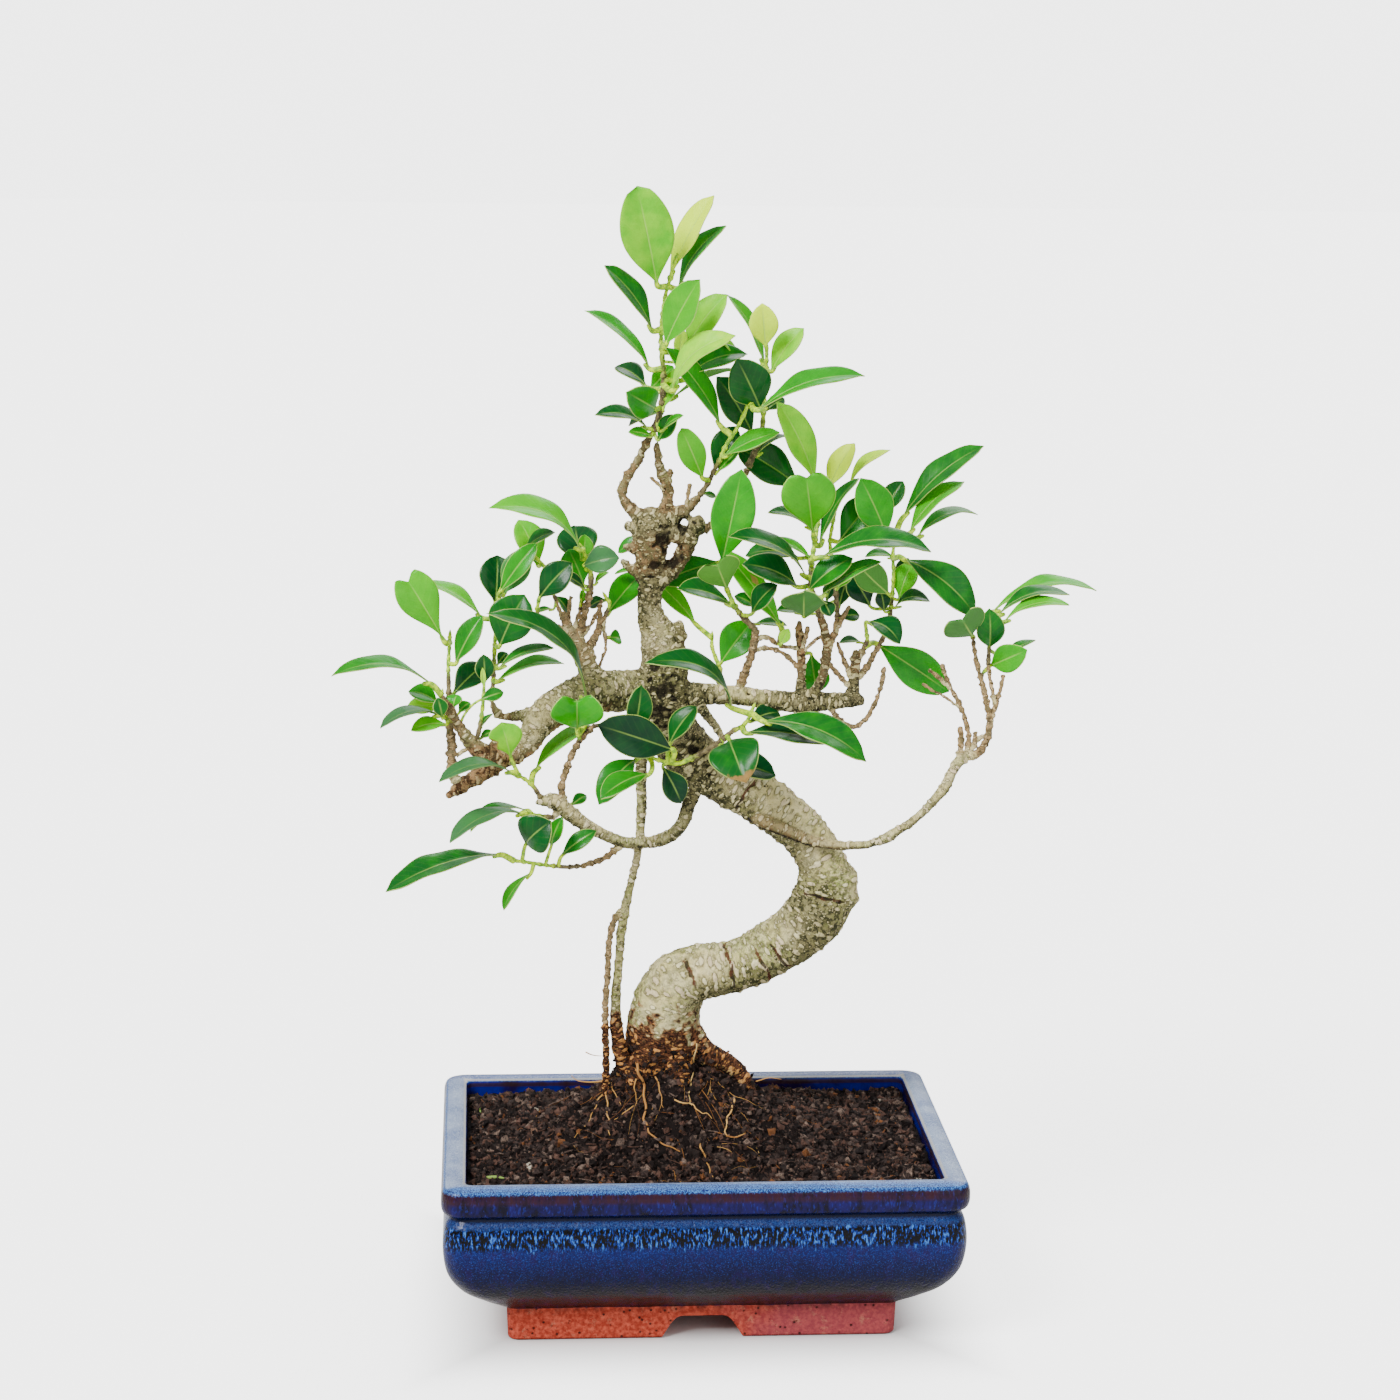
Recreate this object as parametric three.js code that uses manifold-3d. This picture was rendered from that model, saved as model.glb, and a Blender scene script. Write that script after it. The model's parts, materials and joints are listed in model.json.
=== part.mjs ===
// Chinese banyan bonsai: a small fig tree with an S-shaped trunk, air roots and leafy shoots,
// growing in earth in a glazed rectangular pot on four feet.
// Millimetres, +Z up, the front towards -Y. The origin is under the middle of the whole
// outline, on the surface that the pot stands on.

import * as THREE from "three";
import { mergeVertices } from "three/addons/utils/BufferGeometryUtils.js";
import Module from "manifold-3d";

const wasm = await Module();
wasm.setup();

// Driving dimensions of the pot
const RIM_LENGTH = 250;
const RIM_DEPTH = 178;
const RIM_HEIGHT = 85;
const RIM_WIDTH = 12;
const FLOOR_TOP = 27;
const FOOT_LENGTH = 186.8;
const FOOT_DEPTH = 124.4;
const FOOT_HEIGHT = 16;
const FOOT_WIDTH = 14;
const FOOT_CORNER = 5;
const NOTCH_LENGTH = 41;
const NOTCH_TOP = 25;
const NOTCH_HEIGHT = 11.5;
const DRAIN_RADIUS = 6;
const DRAIN_SPACING = 84;
const CORNER_STEPS = 3;

// Driving dimensions of the earth
const EARTH_BELOW_RIM = 8;
const MOUND_HEIGHT = 29;
const MOUND_CENTRE = [-8, 6];
const MOUND_REACH = [60, 46];
const MOUND_STEEPNESS = 2.2;
const LUMP_HEIGHT = 0.7;
const EARTH_SIDE_STEPS = 3;

// Driving dimensions of the plant
const SEAT_GAP = 0.3;
const BLADE_THICKNESS = 1.3;
const BLADE_FOLD = THREE.MathUtils.degToRad(15);
const PETIOLE_RADIUS = 0.85;
const PETIOLE_BEND = 0.18;
const SHORT_PETIOLE = 7;
const LONG_PETIOLE = 14;
const STEM_SIDES = 4;

// The tree is drawn as it looks from the front: a place is x and z on the plane y = 0, seen
// from FRONT_EYE, and slides along the line of sight to its own depth, which is its y.
const FRONT_EYE = new THREE.Vector3(-106.7, -1455.4, 592.1);
const UPWARD = new THREE.Vector3(0.25, 0, 1);

// The crown spreads in depth as well. A side starts beyond its edge and eases in. Its slope
// towards the front changes from the lowest limbs to the highest, and the top leans forward.
const CROWN_LOW = 235;
const CROWN_HIGH = 400;
const CROWN_LEFT = { edge: -20, lowSlope: 0.45, highSlope: 0.09 };
const CROWN_RIGHT = { edge: 25, lowSlope: 0.15, highSlope: -0.3 };
const CROWN_TOP_SLOPE = 0.16;
const CROWN_EASE = 30;

// Leaf outlines: how far along the blade, and the share of the full width there. A longer
// leaf takes more steps.
const LEAF_OUTLINES = [
  { longerThan: 50, outline: [[0.13, 0.52], [0.38, 0.94], [0.66, 0.94], [0.89, 0.44]] },
  { longerThan: 25, outline: [[0.18, 0.66], [0.52, 1], [0.84, 0.58]] },
  { longerThan: 0, outline: [[0.26, 0.86], [0.72, 0.84]] },
];

// Trunk, limbs, twigs and roots. A row is x, z, depth and radius.
const WOOD = [
  // Trunk
  {
    sides: 11,
    rows: [
      [-17, 66, 10, 17], [-17, 80, 10, 21], [-17, 95, 10, 23.5], [-17, 108, 10, 21], [-17, 120, 9, 19],
      [-17, 132, 8, 18], [-16, 142, 7, 17.5], [-13, 153, 6, 16.5], [-5, 162, 5, 14.5], [10, 166, 4, 13],
      [25, 170, 4, 13], [38, 177, 3, 13], [50, 186, 2, 14], [59, 196, 2, 15], [62, 206, 2, 14.2],
      [61, 217, 2, 12.2], [56, 228, 2, 11.5], [47, 238, 3, 11.5], [36, 247, 4, 12], [24, 255, 4, 12.5],
      [12, 262, 4, 12.5], [0, 270, 3, 13], [-10, 280, 2, 12.5], [-16, 290, 1, 12], [-18, 300, 0, 12],
      [-18, 312, 0, 11.5], [-18, 322, 0, 11], [-20, 330, 0, 9.6], [-22.5, 337, 0, 7.6],
      [-25, 345, 0, 6], [-25, 357, 0, 5.7], [-25, 366, 0, 6.8], [-25, 374, 0, 8], [-25, 382, 0, 8.2],
      [-25, 389, 0, 5.5],
    ],
  },
  // Left limb
  {
    sides: 8,
    rows: [
      [-18, 306, 0, 9], [-50, 305, -1, 10.3], [-60, 301.5, -2, 10], [-75, 293, -4, 8.3],
      [-83.5, 280, -6, 5.5], [-88, 275.5, -6, 5], [-94, 273, -7, 4.8], [-100, 273, -7, 4.8],
      [-110, 279, -7, 3.8], [-123.5, 301.5, -10, 1.5],
    ],
  },
  // Left under stub
  {
    sides: 6,
    rows: [
      [-95, 272, -6, 4.2], [-111, 261, -4, 3.6], [-121, 254.3, -4, 1.8],
    ],
  },
  // Left riser
  {
    sides: 5,
    rows: [
      [-116, 259.5, -4, 2.6], [-119.5, 264, -4, 2.5], [-121.3, 300, 0, 1.3],
    ],
  },
  // Left link
  {
    sides: 4,
    rows: [
      [-117.5, 273.5, -4, 1], [-109, 278, -7, 1],
    ],
  },
  // Left knob
  {
    sides: 5,
    rows: [
      [-99, 274, -7, 3], [-99.5, 279.3, -7, 2],
    ],
  },
  // Left side twig
  {
    sides: 5,
    rows: [
      [-78, 293, -3, 4.4], [-96, 293.2, 3, 1.6], [-99, 296, 4, 1.5], [-100.6, 300.5, 4, 1.3],
    ],
  },
  // Left cluster
  {
    sides: 6,
    rows: [
      [-48, 306, 0, 7], [-62.5, 334, 0, 3],
    ],
  },
  // Left cluster tall
  {
    sides: 5,
    rows: [
      [-59.5, 328, 0, 3], [-54, 352.5, -3, 1.6],
    ],
  },
  // Left cluster stub
  {
    sides: 5,
    rows: [
      [-62, 332, 0, 2.8], [-66.5, 342, 1, 1.8],
    ],
  },
  // Left cluster dark
  {
    sides: 4,
    rows: [
      [-62.5, 333, 1, 1.5], [-63.8, 345, 3, 0.9], [-63, 350.5, 3, 1],
    ],
  },
  // Left cluster back
  {
    sides: 4,
    rows: [
      [-65.5, 338, 1, 1.4], [-69.8, 348.5, 3, 0.9],
    ],
  },
  // Left cluster short
  {
    sides: 4,
    rows: [
      [-61, 334, 0, 1.5], [-58.4, 345, 0, 0.9],
    ],
  },
  // Left cluster side
  {
    sides: 5,
    rows: [
      [-62.5, 333, 0, 2.4], [-78.5, 340.5, -4, 1.1],
    ],
  },
  // Left cluster fork
  {
    sides: 5,
    rows: [
      [-54, 321, 0, 3], [-53.5, 327, 0, 2.2], [-49.5, 335, 0, 1.9], [-48.6, 348.5, 0, 1],
    ],
  },
  // Left fork side
  {
    sides: 4,
    rows: [
      [-49.2, 335, 0, 1.5], [-46.6, 341, 1, 1],
    ],
  },
  // Left hanging root
  {
    sides: 4,
    rows: [
      [-47.2, 338, 0, 0.9], [-46, 326, 1, 0.8], [-49.8, 314, 1, 0.9],
    ],
  },
  // Left crossing
  {
    sides: 4,
    rows: [
      [-57.5, 332, 0, 1.3], [-53, 338, -1, 0.9], [-49.4, 345, 0, 0.9],
    ],
  },
  // Lower left limb
  {
    sides: 6,
    rows: [
      [4, 264, -2, 5], [-2, 256, -6, 3.7], [-8, 240, -9, 3.4], [-13, 234, -9, 3.2], [-20, 231, -8, 3],
      [-30, 229.7, -8, 2.7], [-38, 230.5, -9, 2.7], [-52, 237, -10, 3.1], [-71, 251, -10, 4],
      [-78.5, 250.3, -10, 1.5],
    ],
  },
  // Lower left riser
  {
    sides: 5,
    rows: [
      [-66, 249, -10, 2.4], [-67, 256, -12, 1.7], [-63.2, 271, -14, 1.6], [-60, 278, -15, 1.5],
      [-52.3, 287.4, -17, 1.3],
    ],
  },
  // Lower left nub
  {
    sides: 4,
    rows: [
      [-68, 247, -10, 2], [-70.7, 242.5, -11, 1.3],
    ],
  },
  // Lower left twig
  {
    sides: 5,
    rows: [
      [-37, 230, -9, 2], [-46, 222.3, -9, 1.4], [-57, 218.6, -10, 1.1],
    ],
  },
  // Arch limb
  {
    sides: 5,
    rows: [
      [22, 251, -1, 5], [29, 241.5, -8, 4], [38, 237, -12.5, 3.1], [46, 233, -14, 2.6],
      [55, 229.6, -15, 2.3], [65, 228.3, -15, 2.1], [85, 229, -15, 2], [92, 232, -15, 2.9],
      [109, 244.5, -15, 2.1], [120, 257.5, -15, 2.6], [126.5, 270, -15, 2.8], [130, 272.5, -15, 2.2],
    ],
  },
  // Arch stub
  {
    sides: 4,
    rows: [
      [126.3, 269, -15, 2.2], [126.6, 286, -15, 1.4],
    ],
  },
  // Arch inner twig
  {
    sides: 4,
    rows: [
      [130, 271, -15, 1.9], [131, 281, -14, 1.3], [129, 290, -13, 1.2], [117, 317.5, -12, 0.9],
    ],
  },
  // Arch inner prong
  {
    sides: 4,
    rows: [
      [121.4, 306, -12, 1], [111, 315, -12, 0.9],
    ],
  },
  // Arch inner thin
  {
    sides: 4,
    rows: [
      [126.6, 296, -12, 0.8], [107.8, 308.3, -12, 0.7],
    ],
  },
  // Arch outer twig
  {
    sides: 5,
    rows: [
      [129, 271.5, -15, 2.2], [135, 273.5, -15, 1.9], [139, 279, -14, 1.8], [140.8, 290, -14, 1.5],
      [131.7, 330, -9, 1],
    ],
  },
  // Arch outer side
  {
    sides: 4,
    rows: [
      [140.8, 287, -14, 1.5], [146.8, 312, -12, 1],
    ],
  },
  // Arch outer middle
  {
    sides: 4,
    rows: [
      [143.4, 297, -13, 1.1], [139.3, 316.5, -11, 0.9],
    ],
  },
  // Arch short stub
  {
    sides: 4,
    rows: [
      [131, 273, -15, 1.5], [134, 284, -15, 1.1],
    ],
  },
  // Arch short link
  {
    sides: 4,
    rows: [
      [133.8, 279, -15, 0.9], [140.2, 283.5, -14, 0.9],
    ],
  },
  // Right limb
  {
    sides: 6,
    rows: [
      [-14, 305, 0, 8], [-6, 303.8, 0, 6], [5, 303.5, 0, 5], [50, 299.3, -2, 5], [76.5, 300.5, -2, 3.2],
    ],
  },
  // Right twig 1
  {
    sides: 5,
    rows: [
      [17.5, 303, -1, 3], [25, 326, -2, 1.9], [26, 334, -2, 1.8],
    ],
  },
  // Right twig 1 side
  {
    sides: 4,
    rows: [
      [25.7, 330, -2, 1.4], [31, 331.5, -2, 1.2], [36.5, 328, -2, 1.1],
    ],
  },
  // Right twig link
  {
    sides: 4,
    rows: [
      [25, 325, -2, 1.2], [33, 326, -2, 1.1], [40, 323, -2, 1.1], [47.5, 316, -2, 1.2],
    ],
  },
  // Right twig 2
  {
    sides: 5,
    rows: [
      [48.5, 300, -2, 3.4], [47, 338, -2, 1.7],
    ],
  },
  // Right twig 2 stub
  {
    sides: 4,
    rows: [
      [47.8, 325, -2, 1.3], [51, 336, -3, 1],
    ],
  },
  // Right twig 2 side
  {
    sides: 4,
    rows: [
      [47.6, 326, -2, 1.3], [38, 327, -2, 1],
    ],
  },
  // Right twig 3
  {
    sides: 5,
    rows: [
      [51, 300, -3, 3], [56, 306, -5, 2.6], [60.3, 320, -6, 2.2], [60.8, 328, -6, 2.2],
      [56.7, 341.5, -8, 1.8],
    ],
  },
  // Right twig 3 side
  {
    sides: 4,
    rows: [
      [60.6, 324, -6, 1.7], [65.3, 340, -5, 1.2],
    ],
  },
  // Right twig 3 tip
  {
    sides: 4,
    rows: [
      [63.8, 332, -6, 1.2], [70.5, 346, -8, 1],
    ],
  },
  // Right twig 3 link
  {
    sides: 4,
    rows: [
      [48, 323.5, -2, 1], [59.6, 333.5, -6.6, 0.9],
    ],
  },
  // Right twig 4
  {
    sides: 5,
    rows: [
      [73.5, 301, -2, 3.5], [75, 322.5, -2, 2.3],
    ],
  },
  // Right twig 4 left
  {
    sides: 4,
    rows: [
      [73, 311, -2, 1.5], [66, 328, -4, 1],
    ],
  },
  // Right twig 4 low
  {
    sides: 4,
    rows: [
      [73, 306, -2, 1.4], [60, 320.5, -6, 1],
    ],
  },
  // Right twig 4 right
  {
    sides: 4,
    rows: [
      [74.5, 310, -2, 1.9], [80.5, 317, -1, 1.5], [88.7, 332.5, 0, 1.2],
    ],
  },
  // Right twig 4 stub
  {
    sides: 4,
    rows: [
      [75, 319, -2, 1.6], [79, 326.5, -2, 1.4],
    ],
  },
  // Right hanging twig
  {
    sides: 4,
    rows: [
      [61, 300, -2, 1.8], [68, 290.5, -3, 1.1], [75, 287.3, -3, 1], [80, 291, -3, 1.1],
      [84.5, 299, -3, 1.1], [88.5, 316, -3, 1],
    ],
  },
  // Front low twig
  {
    sides: 5,
    rows: [
      [-4, 302, -2, 3.2], [2, 294.5, -9, 2.5], [10.7, 281.7, -15.5, 1.7],
    ],
  },
  // Head limb
  {
    sides: 6,
    rows: [
      [-21, 360, 0, 5], [-13, 366, -1, 4], [-3, 386, -5, 4.2],
    ],
  },
  // Head link
  {
    sides: 5,
    rows: [
      [-22, 381, 0, 6], [-14, 381.5, -1, 4.6], [-7, 380, -3, 4],
    ],
  },
  // Head top
  {
    sides: 5,
    rows: [
      [-25, 384, 0, 6], [-17, 389.3, 0, 5], [-11, 391, -1, 3.8], [-2.2, 399.6, -2, 1.5],
    ],
  },
  // Head left nub
  {
    sides: 4,
    rows: [
      [-30, 382.5, 0, 3.6], [-36, 385.5, 0, 1.8],
    ],
  },
  // Head middle nub
  {
    sides: 4,
    rows: [
      [-29, 373.5, 0, 3.4], [-37, 375.3, 0, 1.7],
    ],
  },
  // Head low nub
  {
    sides: 4,
    rows: [
      [-29, 362, 0, 3.6], [-38.3, 368.3, 0, 1.4],
    ],
  },
  // Apex left twig
  {
    sides: 5,
    rows: [
      [-26, 383, 0, 5], [-38.3, 399, 0, 2.2], [-38, 405, 0, 2.1], [-25, 429, 0, 1.7],
    ],
  },
  // Apex right twig
  {
    sides: 5,
    rows: [
      [-22, 383, 0, 5], [-17, 402, 0, 2.5], [-18, 407, 0, 2.9], [-22, 417, 0, 1.8],
      [-22.3, 424, 0, 1.6],
    ],
  },
  // Apex right stub
  {
    sides: 4,
    rows: [
      [-17.6, 404, 0, 1.6], [-15.8, 411.5, 0, 1.2],
    ],
  },
  // Apex side twig
  {
    sides: 4,
    rows: [
      [-17.5, 401.5, 0, 1], [-25, 408.3, 0, 0.8],
    ],
  },
  // Head small twig
  {
    sides: 4,
    rows: [
      [-8, 392, -1, 1.4], [-6.8, 405, -1, 0.9],
    ],
  },
  // Upper right twig
  {
    sides: 5,
    rows: [
      [-12, 381, 1, 3], [-4, 382.5, 4.5, 2.4], [4, 385.5, 6, 2], [10, 390.5, 6, 1.8], [15, 397, 5, 1.7],
      [20.3, 411.5, 3, 1.5],
    ],
  },
  // Upper right stub
  {
    sides: 4,
    rows: [
      [16.8, 401.5, 4.5, 1.2], [23, 402.6, 4, 1],
    ],
  },
  // Trunk knot
  {
    sides: 6,
    rows: [
      [-18, 326, -1, 8], [-12.5, 332.5, -1, 5.2], [-11, 337, -1, 2.6],
    ],
  },
  // Air root thick
  {
    sides: 5,
    rows: [
      [-20, 288, -2, 5], [-26, 281, -4, 3.6], [-28.3, 272, -5, 2.9], [-29.3, 230, -4, 2.1],
      [-38, 180, -1, 2.3], [-40, 140, 0, 3], [-36.5, 119, 0, 3.8], [-35, 94, 0, 3],
    ],
  },
  // Air root thin
  {
    sides: 4,
    rows: [
      [-35.8, 197, -2, 2], [-41, 191, -2, 1.7], [-43.3, 182, -2, 1.5], [-45, 150, -2, 1.5],
      [-44, 92, -3, 1.2],
    ],
  },
  // Buttress root
  {
    sides: 6,
    rows: [
      [-6, 134, 4, 9], [3, 124, 2, 6.5], [19, 115, 1, 4.6], [27.5, 101, 1, 3.2], [30, 90, 1, 2.4],
    ],
  },
  // Front left root
  {
    sides: 6,
    rows: [
      [-24, 122, -2, 8], [-30, 108, -8, 5], [-33, 94, -11, 3],
    ],
  },
  // Front root
  {
    sides: 6,
    rows: [
      [-12, 120, -3, 8], [-8, 105, -12, 5.5], [-6, 92, -16, 3.5],
    ],
  },
  // Back left root
  {
    sides: 6,
    rows: [
      [-18, 122, 16, 8], [-22, 106, 26, 5], [-25, 92, 31, 3],
    ],
  },
  // Back right root
  {
    sides: 6,
    rows: [
      [-8, 118, 16, 7], [2, 102, 26, 4.5], [8, 90, 30, 3],
    ],
  },
];

// Leafy shoots. The stem is a path of x and z, with depths and radii spread along it. A leaf
// is x and z of its base and tip, their depths, the blade's width, its roll in degrees, and
// how far it arches towards its upper face.
const SHOOTS = [
  {
    name: "apex_shoot",
    path: [
      [-24, 430.5], [-21.5, 438], [-20, 447], [-19.5, 456], [-20.5, 466], [-21, 475], [-20.5, 485],
      [-19, 495], [-16.5, 504], [-14.5, 511],
    ],
    depth: [0],
    radius: [1.7, 0.6],
    leaves: [
      [-23, 499, -33, 545, -4, -8, 25, 5, 3],
      [-17, 503, 3, 541, 2, 8, 16, 50, 2],
      [-13, 498, 9, 527, 4, 6, 15, 60, 4],
      [-19, 471, -3, 502, -8, -16, 18, 30, 2],
      [-9, 469, 10, 495, 2, -2, 17, 35, 3],
      [-15, 450, 14, 476, -10, -24, 17, 52, 8],
      [-13, 464, -11, 479, 0, 0, 7, 20, 0],
      [-10, 455, 20, 467, 3, 9, 16, 48, 5],
      [-25, 478, -48, 508, -4, -10, 15, 55, 3],
      [-26, 460, -57, 487, 2, 6, 14, 72, 4],
      [-28, 452, -42, 461, 6, 22, 12, 45, 2],
      [-23, 441, -37, 449, -4, -28, 16, 0, 2],
      [-26, 450, -15, 461, 5, 14, 10, 20, 1],
      [-20, 441, -13, 460, -1, 1, 10, 40, 0],
      [-16, 446, 14, 460, 2, 12, 13, 100, 2],
      [-27, 432, -52, 438, -2, -8, 12, 62, 4],
      [-20, 439, -36, 433, 1, 2, 11, 65, 2],
      [-25, 428, -36, 430, -4, -10, 6, 40, 1],
      [-22, 426, -13, 438, -4, -10, 10, 30, 1],
      [-20, 431, -10, 438, -12, -18, 6, 60, 1],
    ],
  },
  {
    name: "upper_right_shoot",
    path: [
      [21, 413.5], [25, 423], [27, 429], [28, 440], [28.5, 452], [29, 462], [29, 470],
    ],
    depth: [3, 6, 6, 2],
    radius: [1.6, 0.7],
    leaves: [
      [26.5, 441.5, 15, 465, -8, -13, 21, 5, 3],
      [28.5, 470.5, 26.5, 491, 0, -3, 14, 0, 1],
      [31.5, 459, 46.5, 479.5, 2, 0, 14, 40, 2],
      [28, 462, 10, 495, 8, 12, 12, 86, 3],
      [16, 464, 5, 476, 11, 13, 9, 86, 1],
      [22.5, 430, 5.5, 456.5, 8, 2, 17, 20, 3],
      [25, 419, 40, 428.5, 6, 8, 9, 80, 3],
    ],
  },
  {
    name: "upper_middle_shoot",
    path: [
      [-2, 400], [1, 404], [4.5, 411], [8, 418], [11, 425], [15, 431], [18, 437], [21, 444.5],
    ],
    depth: [-2, -8],
    radius: [1.4, 0.7],
    leaves: [
      [-0.5, 408, -11, 432, -6, -14, 13, 5, 2],
      [5, 412, 15, 433, 4, 8, 14, 10, 2],
      [9.5, 418.5, 36, 430, -8, -12, 13, 50, 2],
      [8, 433, -19, 470, -2, -4, 16, 50, 3],
      [26, 441, 76, 457, -21, -32, 17, 60, 6],
      [6, 411, 17, 422, -4, -6, 6, 40, 0],
    ],
  },
  {
    name: "front_middle_shoot",
    path: [
      [26, 335], [20, 341], [16, 346], [13, 352], [11, 357], [9.5, 363],
    ],
    depth: [-2, -8],
    radius: [1.6, 0.8],
    leaves: [
      [9, 367.5, 18, 412.5, -12, -16, 21, 5, 3],
      [11.5, 355.5, 6, 369, -8, -34, 21, 180, -3],
      [14, 347, -12, 355, -6, -16, 15, 55, 3],
      [24, 343, 36, 357, -10, -16, 13, 40, 2],
      [26, 346, 15.5, 351.5, -2, -2, 8, 40, 1],
      [8, 368, -20, 358, 8, 12, 15, 25, 2],
      [25, 338, 41, 337, 10, 12, 8, 60, 1],
    ],
  },
  {
    name: "right_inner_shoot",
    path: [
      [37, 328], [37.8, 332], [38.5, 335.5],
    ],
    depth: [-2],
    radius: [1.1, 0.9],
    leaves: [
      [38.5, 336, 9, 374, -4, 2, 14, 35, 2],
    ],
  },
  {
    name: "back_middle_shoot",
    path: [
      [9, 306], [9, 312], [9, 316], [7, 321], [5, 327], [5, 331],
    ],
    depth: [4, 9, 10, 10, 10, 10],
    radius: [1.4, 0.8],
    leaves: [
      [9, 318.5, 24, 339, 8, 12, 17, 10, 2],
      [-3, 338, -24, 360, 12, 18, 10, 25, 2],
    ],
  },
  {
    name: "right_front_shoot",
    path: [
      [57, 342], [55, 347], [53, 352], [52, 360], [52.5, 368], [54, 380], [56, 392], [58, 400],
    ],
    depth: [-8, -12, -12, -8, -4, 4],
    radius: [1.8, 0.8],
    leaves: [
      [53, 380, 49, 408.5, -12, -32, 25, 0, 2],
      [56, 376, 74, 408.5, -6, -6, 15, 70, 3],
      [50, 361, 12, 380, -14, -30, 16, 66, 7],
      [52, 369, 33, 379, -4, -2, 10, 75, 2],
      [46, 370, 20.5, 371, 6, 9, 13, 45, 4],
      [52, 384, 31, 392, 6, 8, 12, 78, 3],
      [51, 354, 72, 370, -18, -24, 14, 30, 3],
      [57, 351, 86, 368, -20, -26, 13, 60, 3],
      [46, 356, 19, 367, -10, -16, 17, 40, 4],
      [49, 342, 49, 354, -18, -44, 22, 180, -3],
      [57, 370.5, 110, 373, -24, -36, 19, 58, 8],
      [53, 407, 34.5, 444.5, 0, 2, 17, 35, 3],
      [46, 404, 15.5, 423, 12, 14, 19, 20, 3],
    ],
  },
  {
    name: "right_mid_shoot",
    path: [
      [65.5, 341], [64.5, 350], [64, 360], [62, 370], [61, 378], [62, 386], [63, 392], [64, 398],
    ],
    depth: [-4, 3],
    radius: [1.3, 0.7],
    leaves: [
      [65.5, 378, 82, 399, -2, 0, 17, 10, 2],
      [60, 403, 72, 425, 4, 4, 14, 40, 2],
      [70, 406, 89, 422, 6, 8, 12, 72, 3],
      [66, 346, 70, 360, 4, 5, 9, 20, 1],
      [65, 355, 72, 366, -8, -10, 8, 20, 1],
    ],
  },
  {
    name: "right_back_shoot",
    path: [
      [89, 333], [90.5, 340], [91.5, 350], [92, 362], [91.5, 372], [92, 380],
    ],
    depth: [0],
    radius: [1.3, 0.7],
    leaves: [
      [88, 381, 75, 408.5, -6, -10, 19, 10, 3],
      [86, 391, 95.5, 407, 6, 6, 11, 20, 1],
      [96, 390, 134, 424, 0, -6, 17, 50, 5],
      [99, 382, 125, 407, -6, -10, 15, 55, 4],
      [103, 380, 132, 391, 4, 6, 13, 80, 6],
      [97, 369.5, 132, 342, -14, -22, 19, 30, 7],
      [95, 350, 101, 367, 0, 2, 13, 20, 2],
      [94, 359, 99, 370, 5, 8, 7, 20, 1],
      [93, 346, 110, 349, -6, -14, 11, 60, 4],
      [81, 346.5, 71, 363, 2, 4, 14, 10, 2],
      [92, 370, 78, 370.5, 0, 2, 9, 75, 2],
      [90, 352.5, 74, 367.5, -9, -15, 15, 170, -2],
    ],
  },
  {
    name: "right_low_shoot",
    path: [
      [79, 327], [80, 330], [79.5, 334],
    ],
    depth: [-3, -4, -6],
    radius: [1.2, 0.9],
    leaves: [
      [80, 339, 96, 328, -14, -24, 15, 45, 4],
      [85, 328, 120.5, 304.5, 6, 2, 19, 5, 3],
    ],
  },
  {
    name: "right_behind_leaf",
    path: [
      [48, 321], [50, 323.5],
    ],
    depth: [1, 7],
    radius: [1.1, 1],
    leaves: [
      [53, 323, 56, 304, 10, 14, 15, 0, 2],
    ],
  },
  {
    name: "far_right_tip_leaf",
    path: [
      [131.6, 330.4], [131.3, 331.5],
    ],
    depth: [-8, -7],
    radius: [1.1, 1],
    leaves: [
      [131, 332, 125, 341.5, -7, -34, 22, 180, -3],
    ],
  },
  {
    name: "far_right_shoot",
    path: [
      [139.2, 317.5], [139.5, 326], [140, 334], [141, 341],
    ],
    depth: [-10, -6],
    radius: [1.1, 0.8],
    leaves: [
      [139.5, 326.5, 139, 345.5, -8, -22, 14, 10, 3],
      [141, 344, 191, 354, 0, -4, 15, 70, 9],
      [143, 342, 178, 352, -12, -20, 14, 68, 6],
      [146, 339, 178, 347, -18, -30, 13, 66, 5],
      [148, 322, 162, 330, -1, 1, 9, 85, 1],
    ],
  },
  {
    name: "far_right_side_leaf",
    path: [
      [135.7, 312], [137.5, 314.5],
    ],
    depth: [-11, -9],
    radius: [1, 0.9],
    leaves: [
      [140.5, 317.5, 158, 325, -8, -26, 14, 0, 2],
    ],
  },
  {
    name: "front_low_shoot",
    path: [
      [10.7, 281], [13, 283], [16, 285.5], [20, 287.5], [23, 291], [25, 296],
    ],
    depth: [-16],
    radius: [1.5, 0.8],
    leaves: [
      [15, 297, -27, 319, -18, -36, 17, 60, 12],
      [31, 290, 81, 270, -24, -36, 20, 45, 8],
      [22, 284.5, 63, 279, -20, -22, 16, 50, 3],
      [24, 290, 38, 294, -14, -5, 12, 40, 2],
      [14, 281, 22, 260, -20, -46, 25, 0, 5],
      [6, 271, 37, 263, -16, -16, 17, 40, 2],
    ],
  },
  {
    name: "front_left_shoot",
    path: [
      [10, 280.5], [5, 277], [-3, 272.5], [-10, 269.5], [-17, 270], [-23, 272], [-27, 274],
    ],
    depth: [-16, -20],
    radius: [1.4, 0.8],
    leaves: [
      [-13, 276, -50, 288.5, -22, -30, 20, 5, 3],
      [-15, 279, -2, 297.5, -18, -18, 13, 35, 2],
      [-33, 283, -29, 308, -18, -18, 13, 20, 2],
      [-31, 271.5, -49, 249, -22, -32, 15, 20, 6],
      [-25, 264, -48, 252, -33, -45, 14, 45, 3],
      [-18, 267.5, -9, 249.5, -18, -20, 13, 15, 2],
    ],
  },
  {
    name: "left_top_shoot",
    path: [
      [-54, 353], [-53.4, 358], [-53.5, 362.5], [-54, 367], [-56, 371], [-57.5, 374],
    ],
    depth: [-3, -6],
    radius: [1.6, 0.7],
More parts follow.
